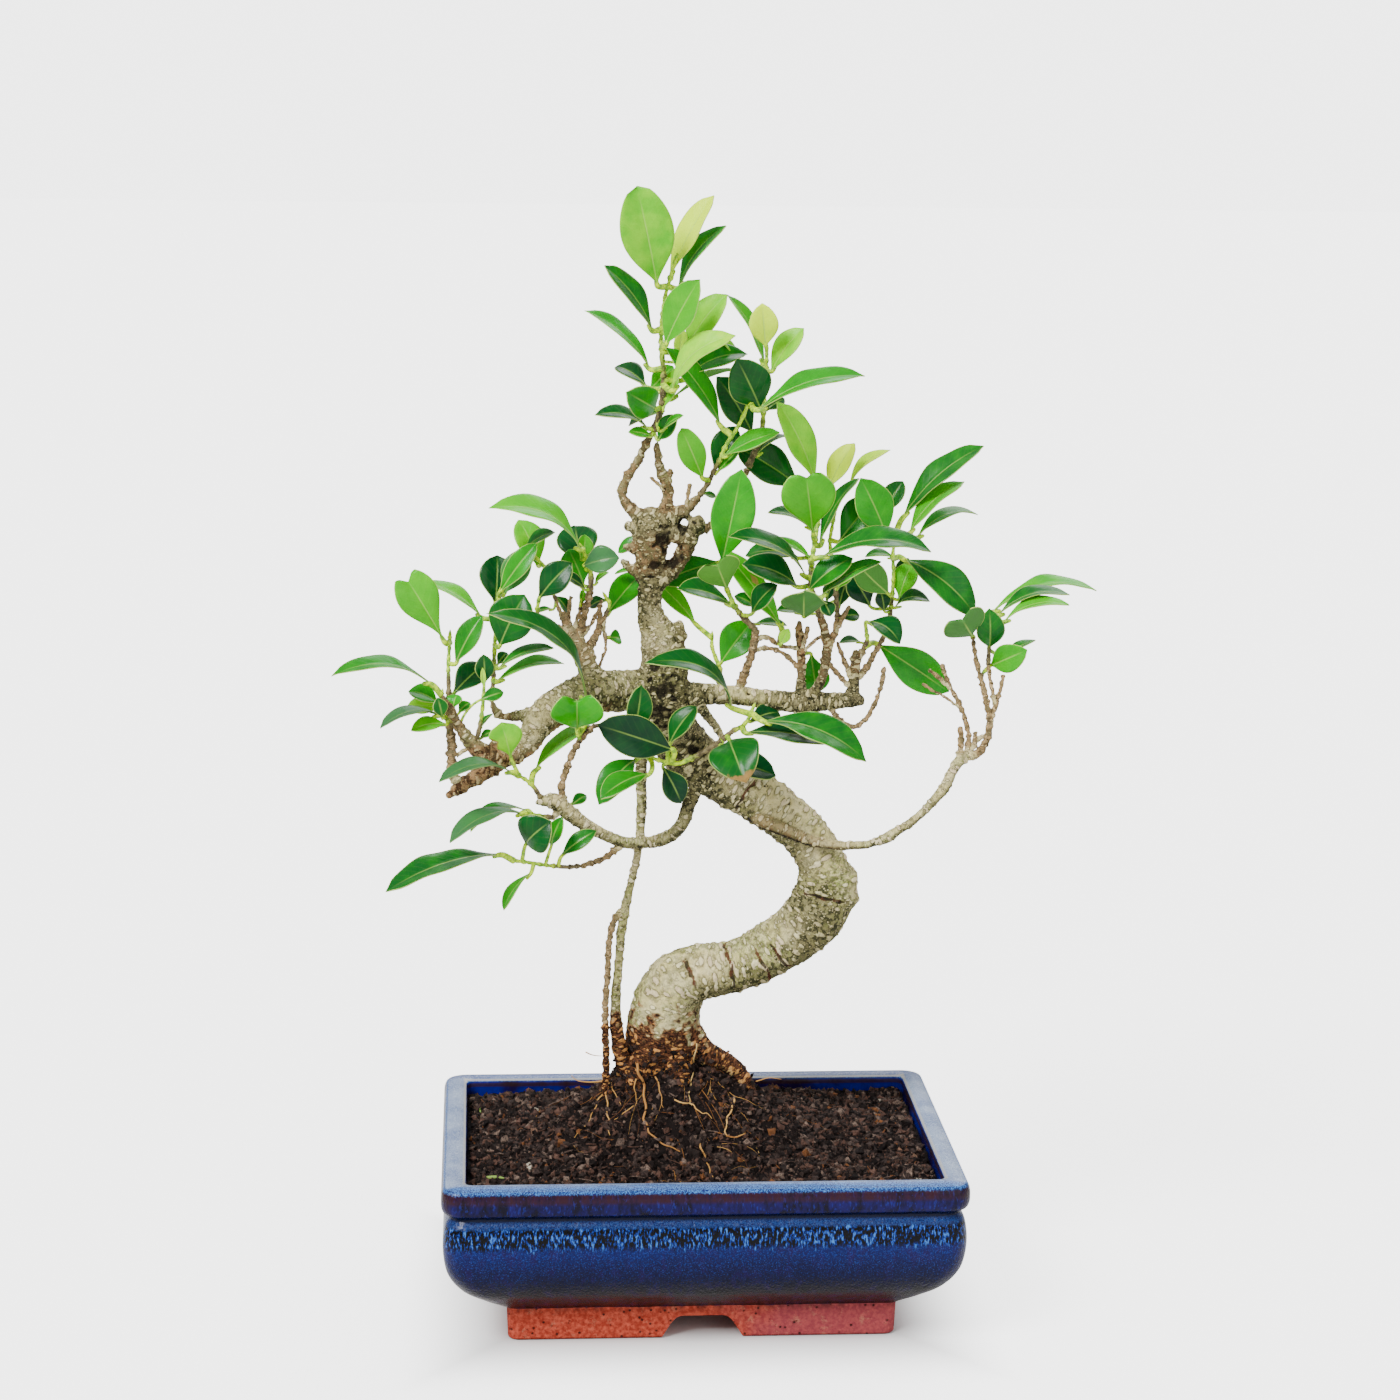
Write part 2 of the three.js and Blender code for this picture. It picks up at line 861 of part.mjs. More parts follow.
    leaves: [
      [-58, 373.5, -102, 393.5, -8, -16, 20, 62, 10],
      [-58, 366, -61, 385, 6, 22, 20, 0, 2],
      [-57, 366, -40, 370, -8, -16, 14, 20, 2],
      [-58, 369, -56.5, 381, -2, 2, 9, 30, 1],
      [-57, 357, -64, 374, 1, 6, 16, 10, 2],
      [-56, 354.5, -67, 362, -6, -10, 7, 50, 1],
    ],
  },
  {
    name: "left_inner_shoot",
    path: [
      [-70, 349], [-72, 355], [-73.5, 361], [-76, 366], [-80, 370], [-84, 372],
    ],
    depth: [3, 4],
    radius: [1, 0.7],
    leaves: [
      [-78.5, 366, -88, 388, 8, 12, 15, 20, 3],
      [-85, 373, -70.5, 382, 0, -4, 13, 70, 2],
    ],
  },
  {
    name: "left_front_shoot",
    path: [
      [-78.7, 340.8], [-79, 345], [-78.3, 349],
    ],
    depth: [-4, -7],
    radius: [1.1, 0.8],
    leaves: [
      [-78, 350.5, -62.5, 367.5, -8, -14, 15, 15, 3],
    ],
  },
  {
    name: "left_short_leaf",
    path: [
      [-58.4, 345.5], [-58.3, 347],
    ],
    depth: [0, 0],
    radius: [0.9, 0.8],
    leaves: [
      [-58.3, 347, -57.5, 354.5, 1, 2, 4, 30, 1],
    ],
  },
  {
    name: "left_back_shoot",
    path: [
      [-46.5, 341.3], [-45.3, 344.5], [-44.5, 348], [-46, 350.5],
    ],
    depth: [1, 3],
    radius: [1, 0.8],
    leaves: [
      [-45.5, 342.5, -29, 362, 4, 20, 15, 25, 2],
    ],
  },
  {
    name: "left_small_leaf",
    path: [
      [-46.4, 330.5], [-45.6, 331],
    ],
    depth: [1, 2],
    radius: [0.9, 0.9],
    leaves: [
      [-45, 331, -39, 330.5, 4, 8, 8, 30, 1],
    ],
  },
  {
    name: "back_upper_leaves",
    path: [
      [-25, 369], [-26, 372], [-27.5, 376],
    ],
    depth: [6, 10, 11],
    radius: [1.2, 1],
    leaves: [
      [-28, 380, -40.5, 372.3, 11, 14, 8, 40, 1],
      [-29, 364, -42, 362, 10, 12, 5, 80, 1],
    ],
  },
  {
    name: "left_middle_shoot",
    path: [
      [-100.5, 301], [-100.3, 305], [-99.8, 312], [-99.5, 320], [-99.2, 328], [-98.6, 336], [-98, 344],
      [-97, 352],
    ],
    depth: [4, 1],
    radius: [1.2, 0.8],
    leaves: [
      [-97, 327, -85, 352, -5, -12, 22, 10, 3],
      [-96.8, 353, -79, 377, -3, -8, 11, 20, 2],
      [-95, 352, -83, 374, 2, 0, 14, 15, 2],
      [-99, 348, -98, 371, 6, 10, 18, 10, 2],
      [-97, 316.5, -71, 326, -4, -10, 12, 72, 3],
      [-98, 310, -66, 318.5, -1, -6, 13, 74, 4],
      [-105, 341, -133, 358, 4, 8, 14, 76, 3],
    ],
  },
  {
    name: "left_low_shoot",
    path: [
      [-107.8, 281.5], [-107, 285], [-106.3, 289], [-105.3, 295], [-104.8, 300], [-104.5, 305],
    ],
    depth: [-5, -3],
    radius: [1.1, 0.8],
    leaves: [
      [-104.2, 309, -104.5, 323, -6, -9, 9.5, 10, 1],
      [-107, 286, -100, 294, 0, 4, 5, 60, 1],
    ],
  },
  {
    name: "left_tall_shoot",
    path: [
      [-121.3, 300.8], [-121.2, 306], [-121.3, 312], [-121.4, 318], [-121, 324], [-120.6, 331.5],
    ],
    depth: [0, 0],
    radius: [1.3, 0.5],
    leaves: [
      [-124, 331.5, -142, 360.5, -6, -14, 20, 5, 3],
      [-118, 318.5, -105, 342, -3, -6, 12, 25, 2],
      [-119, 304, -104, 318, 6, 12, 14, 20, 2],
    ],
  },
  {
    name: "far_left_shoot",
    path: [
      [-115, 285.5], [-121, 290], [-124, 294], [-125, 299], [-124.5, 303],
    ],
    depth: [-5, -3, -3, -3, -4],
    radius: [1.3, 0.8],
    leaves: [
      [-130, 309, -177, 312.5, -5, -10, 14, 78, 8],
      [-126, 299, -140.5, 305, 1, 6, 12, 45, 2],
      [-126, 296.5, -141, 298, 5, 10, 9, 20, 2],
      [-126, 293.5, -154, 287, -6, -12, 11, 72, 5],
      [-122.5, 289, -139.3, 286, -6, -8, 9, 40, 2],
      [-106, 301, -95, 304.5, -7, -9, 7, 20, 1],
    ],
  },
  {
    name: "left_under_shoot",
    path: [
      [-77.3, 253], [-80.5, 258], [-84, 261.3], [-87.5, 263.5],
    ],
    depth: [-10, -13],
    radius: [1.2, 0.8],
    leaves: [
      [-91, 265.5, -126, 260.5, -15, -22, 13, 72, 6],
      [-91.3, 272, -96, 290, -16, -24, 16.5, 0, 2],
      [-80, 266, -50, 288, -6, 4, 14, 60, 4],
    ],
  },
  {
    name: "left_riser_bud",
    path: [
      [-52, 287.8], [-48, 288.3], [-45, 287.8],
    ],
    depth: [-17.3, -17.6, -17.8],
    radius: [1.1, 0.4],
    leaves: [],
  },
  {
    name: "left_arching_shoot",
    path: [
      [-58.5, 280.5], [-58.6, 282], [-59, 284],
    ],
    depth: [-16, -17.5, -19],
    radius: [1.2, 1],
    leaves: [
      [-59.5, 285.5, -57.5, 299.5, -20, -38, 25, 0, 4],
      [-55.5, 300.5, -103, 343, -14, -30, 18, 74, 14],
    ],
  },
  {
    name: "lower_left_shoot",
    path: [
      [-58, 218.5], [-63, 218], [-70, 218.5], [-76, 219.2], [-82, 220.2], [-90, 221.3],
    ],
    depth: [-10, -14],
    radius: [1.1, 0.8],
    leaves: [
      [-84, 230, -72, 241, -14, -30, 20, 10, 4],
      [-72, 228.5, -66.5, 243, -14, -20, 8, 20, 2],
      [-67, 223.5, -50, 236, -13, -19, 9, 25, 2],
      [-97, 224.5, -152, 206, -16, -28, 17, 55, 5],
      [-82, 215, -95, 196.5, -12, -18, 9, 60, 2],
    ],
  },
  {
    name: "lower_left_upper_shoot",
    path: [
      [-71, 242.7], [-78, 243.6], [-84, 244.8],
    ],
    depth: [-11, -14],
    radius: [1.2, 0.9],
    leaves: [
      [-86, 245, -121, 230.5, -15, -23, 14, 60, 6],
      [-84, 246.5, -111, 236, -8, -5, 12, 70, 6],
    ],
  },
  {
    name: "lower_left_small_leaf",
    path: [
      [-64, 245.5], [-63, 248],
    ],
    depth: [-6.5, -4],
    radius: [1.1, 0.9],
    leaves: [
      [-62.5, 248.5, -55, 253.7, -3, -1, 6, 20, 1],
    ],
  },
];

const toRadians = THREE.MathUtils.degToRad;

// A closed geometry becomes a solid once its shared corners are merged
function solid(geometry) {
  const bare = geometry.clone();
  bare.deleteAttribute("normal");
  bare.deleteAttribute("uv");
  const merged = mergeVertices(bare, 1e-4);
  return new wasm.Manifold(new wasm.Mesh({
    numProp: 3,
    vertProperties: new Float32Array(merged.attributes.position.array),
    triVerts: new Uint32Array(merged.index.array),
  }));
}

function join(solids) {
  return solids.reduce((whole, next) => whole.add(next));
}

// Cutting can leave scraps, so a piece keeps its largest part
function largest(body) {
  return body.decompose().reduce((best, next) => (next.volume() > best.volume() ? next : best));
}

// Rings of corners, counter-clockwise about the way they follow each other, closed by a point
// at each end. The split of each face turns about at every corner, so that the two faces of a
// blade are split alike.
function loft(rings, start, end) {
  const sides = rings[0].length;
  const positions = [start, ...rings.flat(), end].flatMap((point) => point.toArray());
  const index = [];
  const last = 1 + rings.length * sides;
  const corner = (ring, side) => 1 + ring * sides + (side % sides);
  for (let side = 0; side < sides; side += 1) {
    index.push(0, corner(0, side + 1), corner(0, side));
    index.push(last, corner(rings.length - 1, side), corner(rings.length - 1, side + 1));
    for (let ring = 0; ring < rings.length - 1; ring += 1) {
      const a = corner(ring, side);
      const b = corner(ring, side + 1);
      const c = corner(ring + 1, side + 1);
      const d = corner(ring + 1, side);
      index.push(...(side % 2 ? [a, b, d, b, c, d] : [a, b, c, a, c, d]));
    }
  }
  const geometry = new THREE.BufferGeometry();
  geometry.setAttribute("position", new THREE.Float32BufferAttribute(positions, 3));
  geometry.setIndex(index);
  return geometry;
}

// Rounded rectangle at one height, counter-clockwise seen from above, with each straight side
// in one or more steps
function roundedRing(halfLength, halfDepth, radius, z, sideSteps = 1) {
  const ring = [];
  for (let quarter = 0; quarter < 4; quarter += 1) {
    const signX = quarter === 0 || quarter === 3 ? 1 : -1;
    const signY = quarter < 2 ? 1 : -1;
    for (let step = 0; step <= CORNER_STEPS; step += 1) {
      const angle = (quarter + step / CORNER_STEPS) * Math.PI / 2;
      ring.push(new THREE.Vector3(
        signX * (halfLength - radius) + radius * Math.cos(angle),
        signY * (halfDepth - radius) + radius * Math.sin(angle),
        z,
      ));
    }
  }
  return ring.flatMap((point, count) => {
    const next = ring[(count + 1) % ring.length];
    const steps = (count + 1) % (CORNER_STEPS + 1) === 0 ? sideSteps : 1;
    return Array.from({ length: steps }, (unused, step) => point.clone().lerp(next, step / steps));
  });
}

// Rings at some inset from the rim's outer edge
function ringsFromRim(profile, gap = 0, sideSteps = 1) {
  return profile.map(([inset, radius, z]) => (
    roundedRing(RIM_LENGTH / 2 - inset - gap, RIM_DEPTH / 2 - inset - gap, radius, z + gap, sideSteps)));
}

function stack(rings) {
  const first = rings[0][0].z;
  const last = rings[rings.length - 1][0].z;
  return loft(rings, new THREE.Vector3(0, 0, first), new THREE.Vector3(0, 0, last));
}

// Inner wall of the pot from the rim down: inset from the rim's outer edge, corner radius, z
function innerWall() {
  return [
    [RIM_WIDTH - 1.2, 4.5, RIM_HEIGHT],
    [RIM_WIDTH, 4, RIM_HEIGHT - 1.2],
    [RIM_WIDTH + 0.7, 5, 50],
    [RIM_WIDTH + 2.4, 6, 39],
    [RIM_WIDTH + 7, 8, 32],
    [RIM_WIDTH + 16, 10, FLOOR_TOP],
  ];
}

// Feet, waisted wall, groove and rolled lip from the surface up
function outerWall() {
  const foot = [[0.7, 0], [0, 1], [-0.6, FOOT_HEIGHT]].map(([inset, z]) => (
    roundedRing(FOOT_LENGTH / 2 - inset, FOOT_DEPTH / 2 - inset, FOOT_CORNER, z)));
  const shoulder = roundedRing(RIM_LENGTH / 2 - 27, RIM_DEPTH / 2 - 25, 9, FOOT_HEIGHT + 1.2);
  const wall = ringsFromRim([
    [18, 13, 22],
    [9, 12, 30],
    [3, 11, 40],
    [1, 10, 58],
    [2.2, 10, 66],
    [4, 9, RIM_HEIGHT - 15.2],
    [1.2, 9, RIM_HEIGHT - 13],
    [0, 9, RIM_HEIGHT - 8.5],
    [0.3, 9, RIM_HEIGHT - 3.6],
    [1.8, 8.5, RIM_HEIGHT - 0.8],
    [3.4, 8, RIM_HEIGHT],
  ]);
  return [...foot, shoulder, ...wall];
}

// Arched gap between two feet, cut right through along one side of the pot
function footNotch(reach) {
  const foot = NOTCH_LENGTH / 2;
  const top = NOTCH_TOP / 2;
  const shape = new THREE.Shape();
  shape.moveTo(-foot, -1);
  shape.lineTo(foot, -1);
  shape.bezierCurveTo(foot - 4, NOTCH_HEIGHT * 0.4, top + 2, NOTCH_HEIGHT, top - 3, NOTCH_HEIGHT);
  shape.lineTo(3 - top, NOTCH_HEIGHT);
  shape.bezierCurveTo(-top - 2, NOTCH_HEIGHT, 4 - foot, NOTCH_HEIGHT * 0.4, -foot, -1);
  const geometry = new THREE.ExtrudeGeometry(shape, {
    depth: reach, bevelEnabled: false, curveSegments: 3,
  });
  return geometry.translate(0, 0, -reach / 2).rotateX(Math.PI / 2);
}

function potBody() {
  const recessRing = (inset, z) => (
    roundedRing(FOOT_LENGTH / 2 - inset, FOOT_DEPTH / 2 - inset, FOOT_CORNER, z));
  const recess = stack([recessRing(FOOT_WIDTH, -1), recessRing(FOOT_WIDTH + 1, FOOT_HEIGHT - 0.5)]);
  let body = solid(stack([...outerWall(), ...ringsFromRim(innerWall())]))
    .subtract(solid(recess))
    .subtract(solid(footNotch(FOOT_DEPTH + 20)))
    .subtract(solid(footNotch(FOOT_LENGTH + 20).rotateZ(Math.PI / 2)));
  for (const side of [-1, 1]) {
    const drain = new THREE.CylinderGeometry(DRAIN_RADIUS, DRAIN_RADIUS, FLOOR_TOP + 10, 12);
    drain.rotateX(Math.PI / 2).translate(side * DRAIN_SPACING / 2, 0, FLOOR_TOP / 2);
    body = body.subtract(solid(drain));
  }
  return body;
}

// Height of the earth: level by the wall, mounded up round the foot of the trunk, and lumpy
function earthHeight(x, y) {
  const [centreX, centreY] = MOUND_CENTRE;
  const distance = Math.hypot((x - centreX) / MOUND_REACH[0], (y - centreY) / MOUND_REACH[1]);
  const mound = MOUND_HEIGHT * Math.exp(-(distance ** MOUND_STEEPNESS));
  const lumps = Math.sin(x / 5.3) * Math.cos(y / 4.1) + Math.sin((x + 2 * y) / 9.7);
  return RIM_HEIGHT - EARTH_BELOW_RIM + mound + LUMP_HEIGHT * lumps;
}

// The earth fills the pot with a seat gap to its wall and floor, and the roots stand in holes
// in it
function earthBody(plantRoom) {
  const below = ringsFromRim(innerWall().slice(2).reverse(), SEAT_GAP, EARTH_SIDE_STEPS);
  const edge = below[below.length - 1];
  const [centreX, centreY] = MOUND_CENTRE;
  const shares = [1, 0.84, 0.66, 0.48, 0.28];
  const top = shares.map((share) => edge.map((point) => {
    const x = centreX + (point.x - centreX) * share;
    const y = centreY + (point.y - centreY) * share;
    return new THREE.Vector3(x, y, earthHeight(x, y));
  }));
  const start = new THREE.Vector3(0, 0, below[0][0].z);
  const end = new THREE.Vector3(centreX, centreY, earthHeight(centreX, centreY));
  return largest(solid(loft([...below, ...top], start, end)).subtract(plantRoom));
}

// How far beyond an edge, eased in
function beyond(distance) {
  return distance > 0 ? distance ** 2 / (distance + CROWN_EASE) : 0;
}

function crownDepth(x, z) {
  const height = THREE.MathUtils.clamp((z - CROWN_LOW) / (CROWN_HIGH - CROWN_LOW), 0, 1);
  const slope = ({ lowSlope, highSlope }) => THREE.MathUtils.lerp(lowSlope, highSlope, height);
  return -slope(CROWN_LEFT) * beyond(CROWN_LEFT.edge - x)
    - slope(CROWN_RIGHT) * beyond(x - CROWN_RIGHT.edge)
    - CROWN_TOP_SLOPE * beyond(z - CROWN_HIGH);
}

// Place drawn on the front view, slid along the line of sight to its depth
function see(x, z, depth) {
  const flat = new THREE.Vector3(x, 0, z);
  const reach = (depth + crownDepth(x, z) - FRONT_EYE.y) / -FRONT_EYE.y;
  return FRONT_EYE.clone().lerp(flat, reach);
}

// Round limb along a smooth line through its points, with a radius at each. With room added
// it is the space that the limb takes up.
function limb(points, radii, sides, steps, room = 0) {
  const curve = new THREE.CatmullRomCurve3(points, false, "centripetal");
  const spans = (points.length - 1) * steps;
  const rings = [];
  let across = null;
  for (let count = 0; count <= spans; count += 1) {
    const share = count / spans;
    const centre = curve.getPoint(share);
    const along = curve.getTangent(share);
    if (across === null) {
      across = new THREE.Vector3(0.31, 0.9, 0.27).projectOnPlane(along).normalize();
    } else {
      across.projectOnPlane(along).normalize();
    }
    const upright = along.clone().cross(across);
    const place = share * (points.length - 1);
    const from = Math.min(Math.floor(place), points.length - 2);
    const radius = room + THREE.MathUtils.lerp(radii[from], radii[from + 1], place - from);
    if (room > 0 && count === 0) centre.addScaledVector(along, -room);
    if (room > 0 && count === spans) centre.addScaledVector(along, room);
    rings.push(Array.from({ length: sides }, (unused, side) => {
      const angle = 2 * Math.PI * side / sides;
      return centre.clone()
        .addScaledVector(across, radius * Math.cos(angle))
        .addScaledVector(upright, radius * Math.sin(angle));
    }));
  }
  const middle = (ring) => ring.reduce((sum, point) => sum.add(point), new THREE.Vector3())
    .divideScalar(ring.length);
  return solid(loft(rings, middle(rings[0]), middle(rings[rings.length - 1])));
}

function drawnLimb(rows, sides, room = 0) {
  const points = rows.map(([x, z, depth]) => see(x, z, depth));
  return limb(points, rows.map((row) => row[3]), sides, 1, room);
}

// Trunk, limbs, twigs and roots grew as one piece
function woodBody(room = 0) {
  return join(WOOD.map(({ sides, rows }) => drawnLimb(rows, sides, room)));
}

// A value at some share of a list that is spread evenly over a path
function spread(list, share) {
  const place = share * (list.length - 1);
  const from = Math.min(Math.floor(place), Math.max(list.length - 2, 0));
  return list.length === 1 ? list[0] : THREE.MathUtils.lerp(list[from], list[from + 1], place - from);
}

function nearestPlace(points, target) {
  let best = points[0];
  let shortest = Infinity;
  for (let count = 0; count < points.length - 1; count += 1) {
    const line = new THREE.Line3(points[count], points[count + 1]);
    const place = line.closestPointToPoint(target, true, new THREE.Vector3());
    if (place.distanceTo(target) < shortest) {
      shortest = place.distanceTo(target);
      best = place;
    }
  }
  return best;
}

// One leaf: a thin lens-shaped blade, folded along its midrib and arched, on a petiole that
// starts inside the stem. The roll turns the upper face from the front upwards.
function leaf([baseX, baseZ, tipX, tipZ, baseDepth, tipDepth, width, roll, arch], stemPoints, room) {
  const base = see(baseX, baseZ, baseDepth);
  const tip = see(tipX, tipZ, tipDepth);
  const length = base.distanceTo(tip);
  const along = tip.clone().sub(base).normalize();
  const normal = FRONT_EYE.clone().sub(base).projectOnPlane(along).normalize();
  const turned = along.clone().cross(normal);
  if (turned.dot(UPWARD) < 0) turned.negate();
  normal.multiplyScalar(Math.cos(toRadians(roll))).addScaledVector(turned, Math.sin(toRadians(roll)));
  const across = along.clone().cross(normal);
  const place = (share, sideways, lift) => {
    const rise = arch * 4 * share * (1 - share) + Math.abs(sideways) * Math.tan(BLADE_FOLD) + lift;
    return base.clone()
      .addScaledVector(along, share * length)
      .addScaledVector(across, sideways)
      .addScaledVector(normal, rise);
  };
  const half = BLADE_THICKNESS / 2 + room;
  const stations = LEAF_OUTLINES.find(({ longerThan }) => length > longerThan).outline;
  const blade = stations.map(([share, part]) => {
    const reach = part * width / 2 + 2 * room;
    return [place(share, 0, half), place(share, reach, 0), place(share, 0, -half), place(share, -reach, 0)];
  });
  const stemPlace = nearestPlace(stemPoints, base);
  const gap = stemPlace.distanceTo(base);
  const bend = base.clone().lerp(stemPlace, 0.5).addScaledVector(along, -PETIOLE_BEND * gap);
  const way = [stemPlace, ...(gap > LONG_PETIOLE ? [bend] : []), ...(gap > SHORT_PETIOLE ? [base] : [])];
  const petiole = way.map((centre, count) => {
    const heading = (way[count + 1] ?? tip).clone().sub(way[Math.max(count - 1, 0)]).normalize();
    const upright = normal.clone().projectOnPlane(heading).normalize();
    const sideways = heading.clone().cross(upright);
    const radius = PETIOLE_RADIUS + room;
    return [[upright, 1], [sideways, 1], [upright, -1], [sideways, -1]].map(([axis, sign]) => (
      centre.clone().addScaledVector(axis, sign * radius)));
  });
  return solid(loft([...petiole, ...blade], stemPlace, place(1 + 2 * room / length, 0, 0)));
}

// Leafy shoot: its stem, petioles and blades grew as one piece
function shootBody({ path, depth, radius, leaves }, room = 0) {
  const share = (count) => count / (path.length - 1);
  const points = path.map(([x, z], count) => see(x, z, spread(depth, share(count))));
  const radii = path.map((unused, count) => spread(radius, share(count)));
  const stem = limb(points, radii, STEM_SIDES, 1, room);
  return join([stem, ...leaves.map((row) => leaf(row, points, room))]);
}

function boxesMeet(first, second) {
  const a = first.boundingBox();
  const b = second.boundingBox();
  return [0, 1, 2].every((axis) => a.min[axis] < b.max[axis] && b.min[axis] < a.max[axis]);
}

// Each shoot is trimmed clear of the wood and of the shoots made before it
function shootBodies(woodRoom) {
  const rooms = [];
  return SHOOTS.map((shoot) => {
    let body = shootBody(shoot).subtract(woodRoom);
    rooms.filter((room) => boxesMeet(room, body)).forEach((room) => {
      body = body.subtract(room);
    });
    rooms.push(shootBody(shoot, SEAT_GAP));
    return { name: shoot.name, body: largest(body) };
  });
}

const MATERIALS = {
  glaze: { color: 0x2c3578, roughness: 0.3, metalness: 0 },
  earth: { color: 0x2a1d18, roughness: 0.95, metalness: 0 },
  bark: { color: 0x8b8468, roughness: 0.85, metalness: 0 },
  leaf: { color: 0x3f8a2c, roughness: 0.4, metalness: 0 },
};

function named(name, body, finish) {
  const { vertProperties, triVerts } = body.getMesh();
  const geometry = new THREE.BufferGeometry();
  geometry.setAttribute("position", new THREE.BufferAttribute(new Float32Array(vertProperties), 3));
  geometry.setIndex(new THREE.BufferAttribute(new Uint32Array(triVerts), 1));
  geometry.computeVertexNormals();
  const material = new THREE.MeshStandardMaterial({ ...MATERIALS[finish], flatShading: true });
  const mesh = new THREE.Mesh(geometry, material);
  mesh.name = name;
  return mesh;
}

function bonsai() {
  const woodRoom = woodBody(SEAT_GAP);
  const group = new THREE.Group();
  group.add(named("pot", potBody(), "glaze"));
  group.add(named("soil", earthBody(woodRoom), "earth"));
  group.add(named("trunk_limbs_and_roots", woodBody(), "bark"));
  shootBodies(woodRoom).forEach(({ name, body }) => group.add(named(name, body, "leaf")));
  const outline = new THREE.Box3().setFromObject(group);
  const centre = outline.getCenter(new THREE.Vector3());
  group.position.set(-centre.x, -centre.y, -outline.min.z);
  return group;
}

export default bonsai();
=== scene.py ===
"""Chinese banyan bonsai: the looks of a small fig tree in a glazed pot, built round its CAD frame.

The tree is drawn in millimetres from the middle of the pot's underside, with the same rows of
places as the solids, and each finer piece replaces the solid that it stands for.
"""

import json
import math

import bmesh
import bpy
import numpy as np
from bpy.props import FloatProperty, FloatVectorProperty, IntProperty, PointerProperty
from bpy.types import Operator, Panel
from mathutils import Matrix, Vector, noise
from mathutils.bvhtree import BVHTree

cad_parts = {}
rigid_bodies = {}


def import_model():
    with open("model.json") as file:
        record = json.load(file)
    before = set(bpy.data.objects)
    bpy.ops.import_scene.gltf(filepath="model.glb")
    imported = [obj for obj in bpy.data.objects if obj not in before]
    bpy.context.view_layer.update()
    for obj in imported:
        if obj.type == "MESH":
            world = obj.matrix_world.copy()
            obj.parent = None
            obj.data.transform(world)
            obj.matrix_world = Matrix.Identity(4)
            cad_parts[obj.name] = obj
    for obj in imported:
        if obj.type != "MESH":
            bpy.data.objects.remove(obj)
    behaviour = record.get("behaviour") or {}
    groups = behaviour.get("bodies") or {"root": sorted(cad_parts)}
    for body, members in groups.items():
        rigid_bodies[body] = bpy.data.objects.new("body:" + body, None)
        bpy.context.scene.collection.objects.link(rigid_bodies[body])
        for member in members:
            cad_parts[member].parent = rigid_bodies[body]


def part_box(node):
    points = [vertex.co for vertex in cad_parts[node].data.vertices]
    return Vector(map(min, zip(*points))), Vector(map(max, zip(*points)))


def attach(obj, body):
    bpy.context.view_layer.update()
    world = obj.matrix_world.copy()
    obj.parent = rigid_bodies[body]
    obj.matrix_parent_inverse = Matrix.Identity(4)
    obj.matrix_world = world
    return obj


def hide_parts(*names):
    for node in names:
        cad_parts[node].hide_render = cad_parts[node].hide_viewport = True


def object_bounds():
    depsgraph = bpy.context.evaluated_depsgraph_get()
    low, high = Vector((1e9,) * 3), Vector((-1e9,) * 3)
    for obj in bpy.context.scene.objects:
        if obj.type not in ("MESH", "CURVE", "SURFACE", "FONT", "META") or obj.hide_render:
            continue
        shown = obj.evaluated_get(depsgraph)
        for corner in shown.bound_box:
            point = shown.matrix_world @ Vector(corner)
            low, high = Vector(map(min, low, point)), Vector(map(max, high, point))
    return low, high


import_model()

bl_info = {
    "name": "Chinese banyan bonsai",
    "version": (1, 0, 0),
    "blender": (4, 5, 0),
    "location": "3D View > Sidebar > Bonsai",
    "description": "Builds a fig bonsai with its glazed pot, earth, trunk, air roots and leaves",
    "category": "Object",
}

CAD_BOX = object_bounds()
POT_LOW, POT_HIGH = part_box("pot")
MM = 0.001
# Steps of a smooth curve between two of the places it is drawn through
CURVE_STEPS = 12

# Camera: where its eye is from the middle of the pot's underside, and how it is turned
EYE = np.array((-106.74, -1455.4, 592.1))
CAMERA_YAW = math.radians(4.177)
CAMERA_PITCH = math.radians(11.295)
CAMERA_ROLL = math.radians(0.724)
FOCAL_PIXELS = 3085.86
PHOTO_PIXELS = 1400
SENSOR_MM = 36

# Pot, in millimetres
RIM_LENGTH = 250
RIM_DEPTH = 178
RIM_HEIGHT = 85
RIM_WIDTH = 12
FLOOR_TOP = 27
FOOT_LENGTH = 186.8
FOOT_DEPTH = 124.4
FOOT_HEIGHT = 16
FOOT_WIDTH = 14
FOOT_CORNER = 5
NOTCH_LENGTH = 41
NOTCH_TOP = 25
NOTCH_HEIGHT = 11.5
DRAIN_RADIUS = 6
DRAIN_SPACING = 84
CORNER_STEPS = 9
SIDE_STEPS = (22, 16)
SHARP_EDGE = math.radians(38)

# Earth, in millimetres
EARTH_BELOW_RIM = 8
EARTH_HALF = (112.6, 76.6)
EARTH_CORNER = 4.4
EARTH_GRID = (205, 140)
EARTH_SKIRT = ((0.9, 50), (2.6, 39), (7.3, 32.4), (16.3, FLOOR_TOP + 0.3))
MOUND_HEIGHT = 29
MOUND_CENTRE = (-8, 6)
MOUND_REACH = (60, 46)
MOUND_STEEPNESS = 2.2
LUMP_HEIGHT = 0.7
HEAP_HEIGHT = 13
HEAP_CENTRE = (-17, -2)
HEAP_REACH = (45, 29)
SLIVERS = 620

# How far crumbs, slivers and fine roots lie from the pot's middle at most: along and across
CRUMB_REACH = (111, 75)
SLIVER_REACH = (108, 72)
SLIVER_EDGE = (111.5, 75.5)
ROOT_EDGE = (110, 74)

# Seeds of the random draws
CRUMB_SEED = 11
HEAP_SEED = 17
SLIVER_SEED = 23
ROOT_SEED = 5

# How the crown spreads in depth: towards the front on a side's lowest limbs and on its highest
CROWN_LOW = 235
CROWN_HIGH = 400
CROWN_LEFT = (-20, 0.45, 0.09)
CROWN_RIGHT = (25, 0.15, -0.3)
CROWN_TOP_SLOPE = 0.16
CROWN_EASE = 30

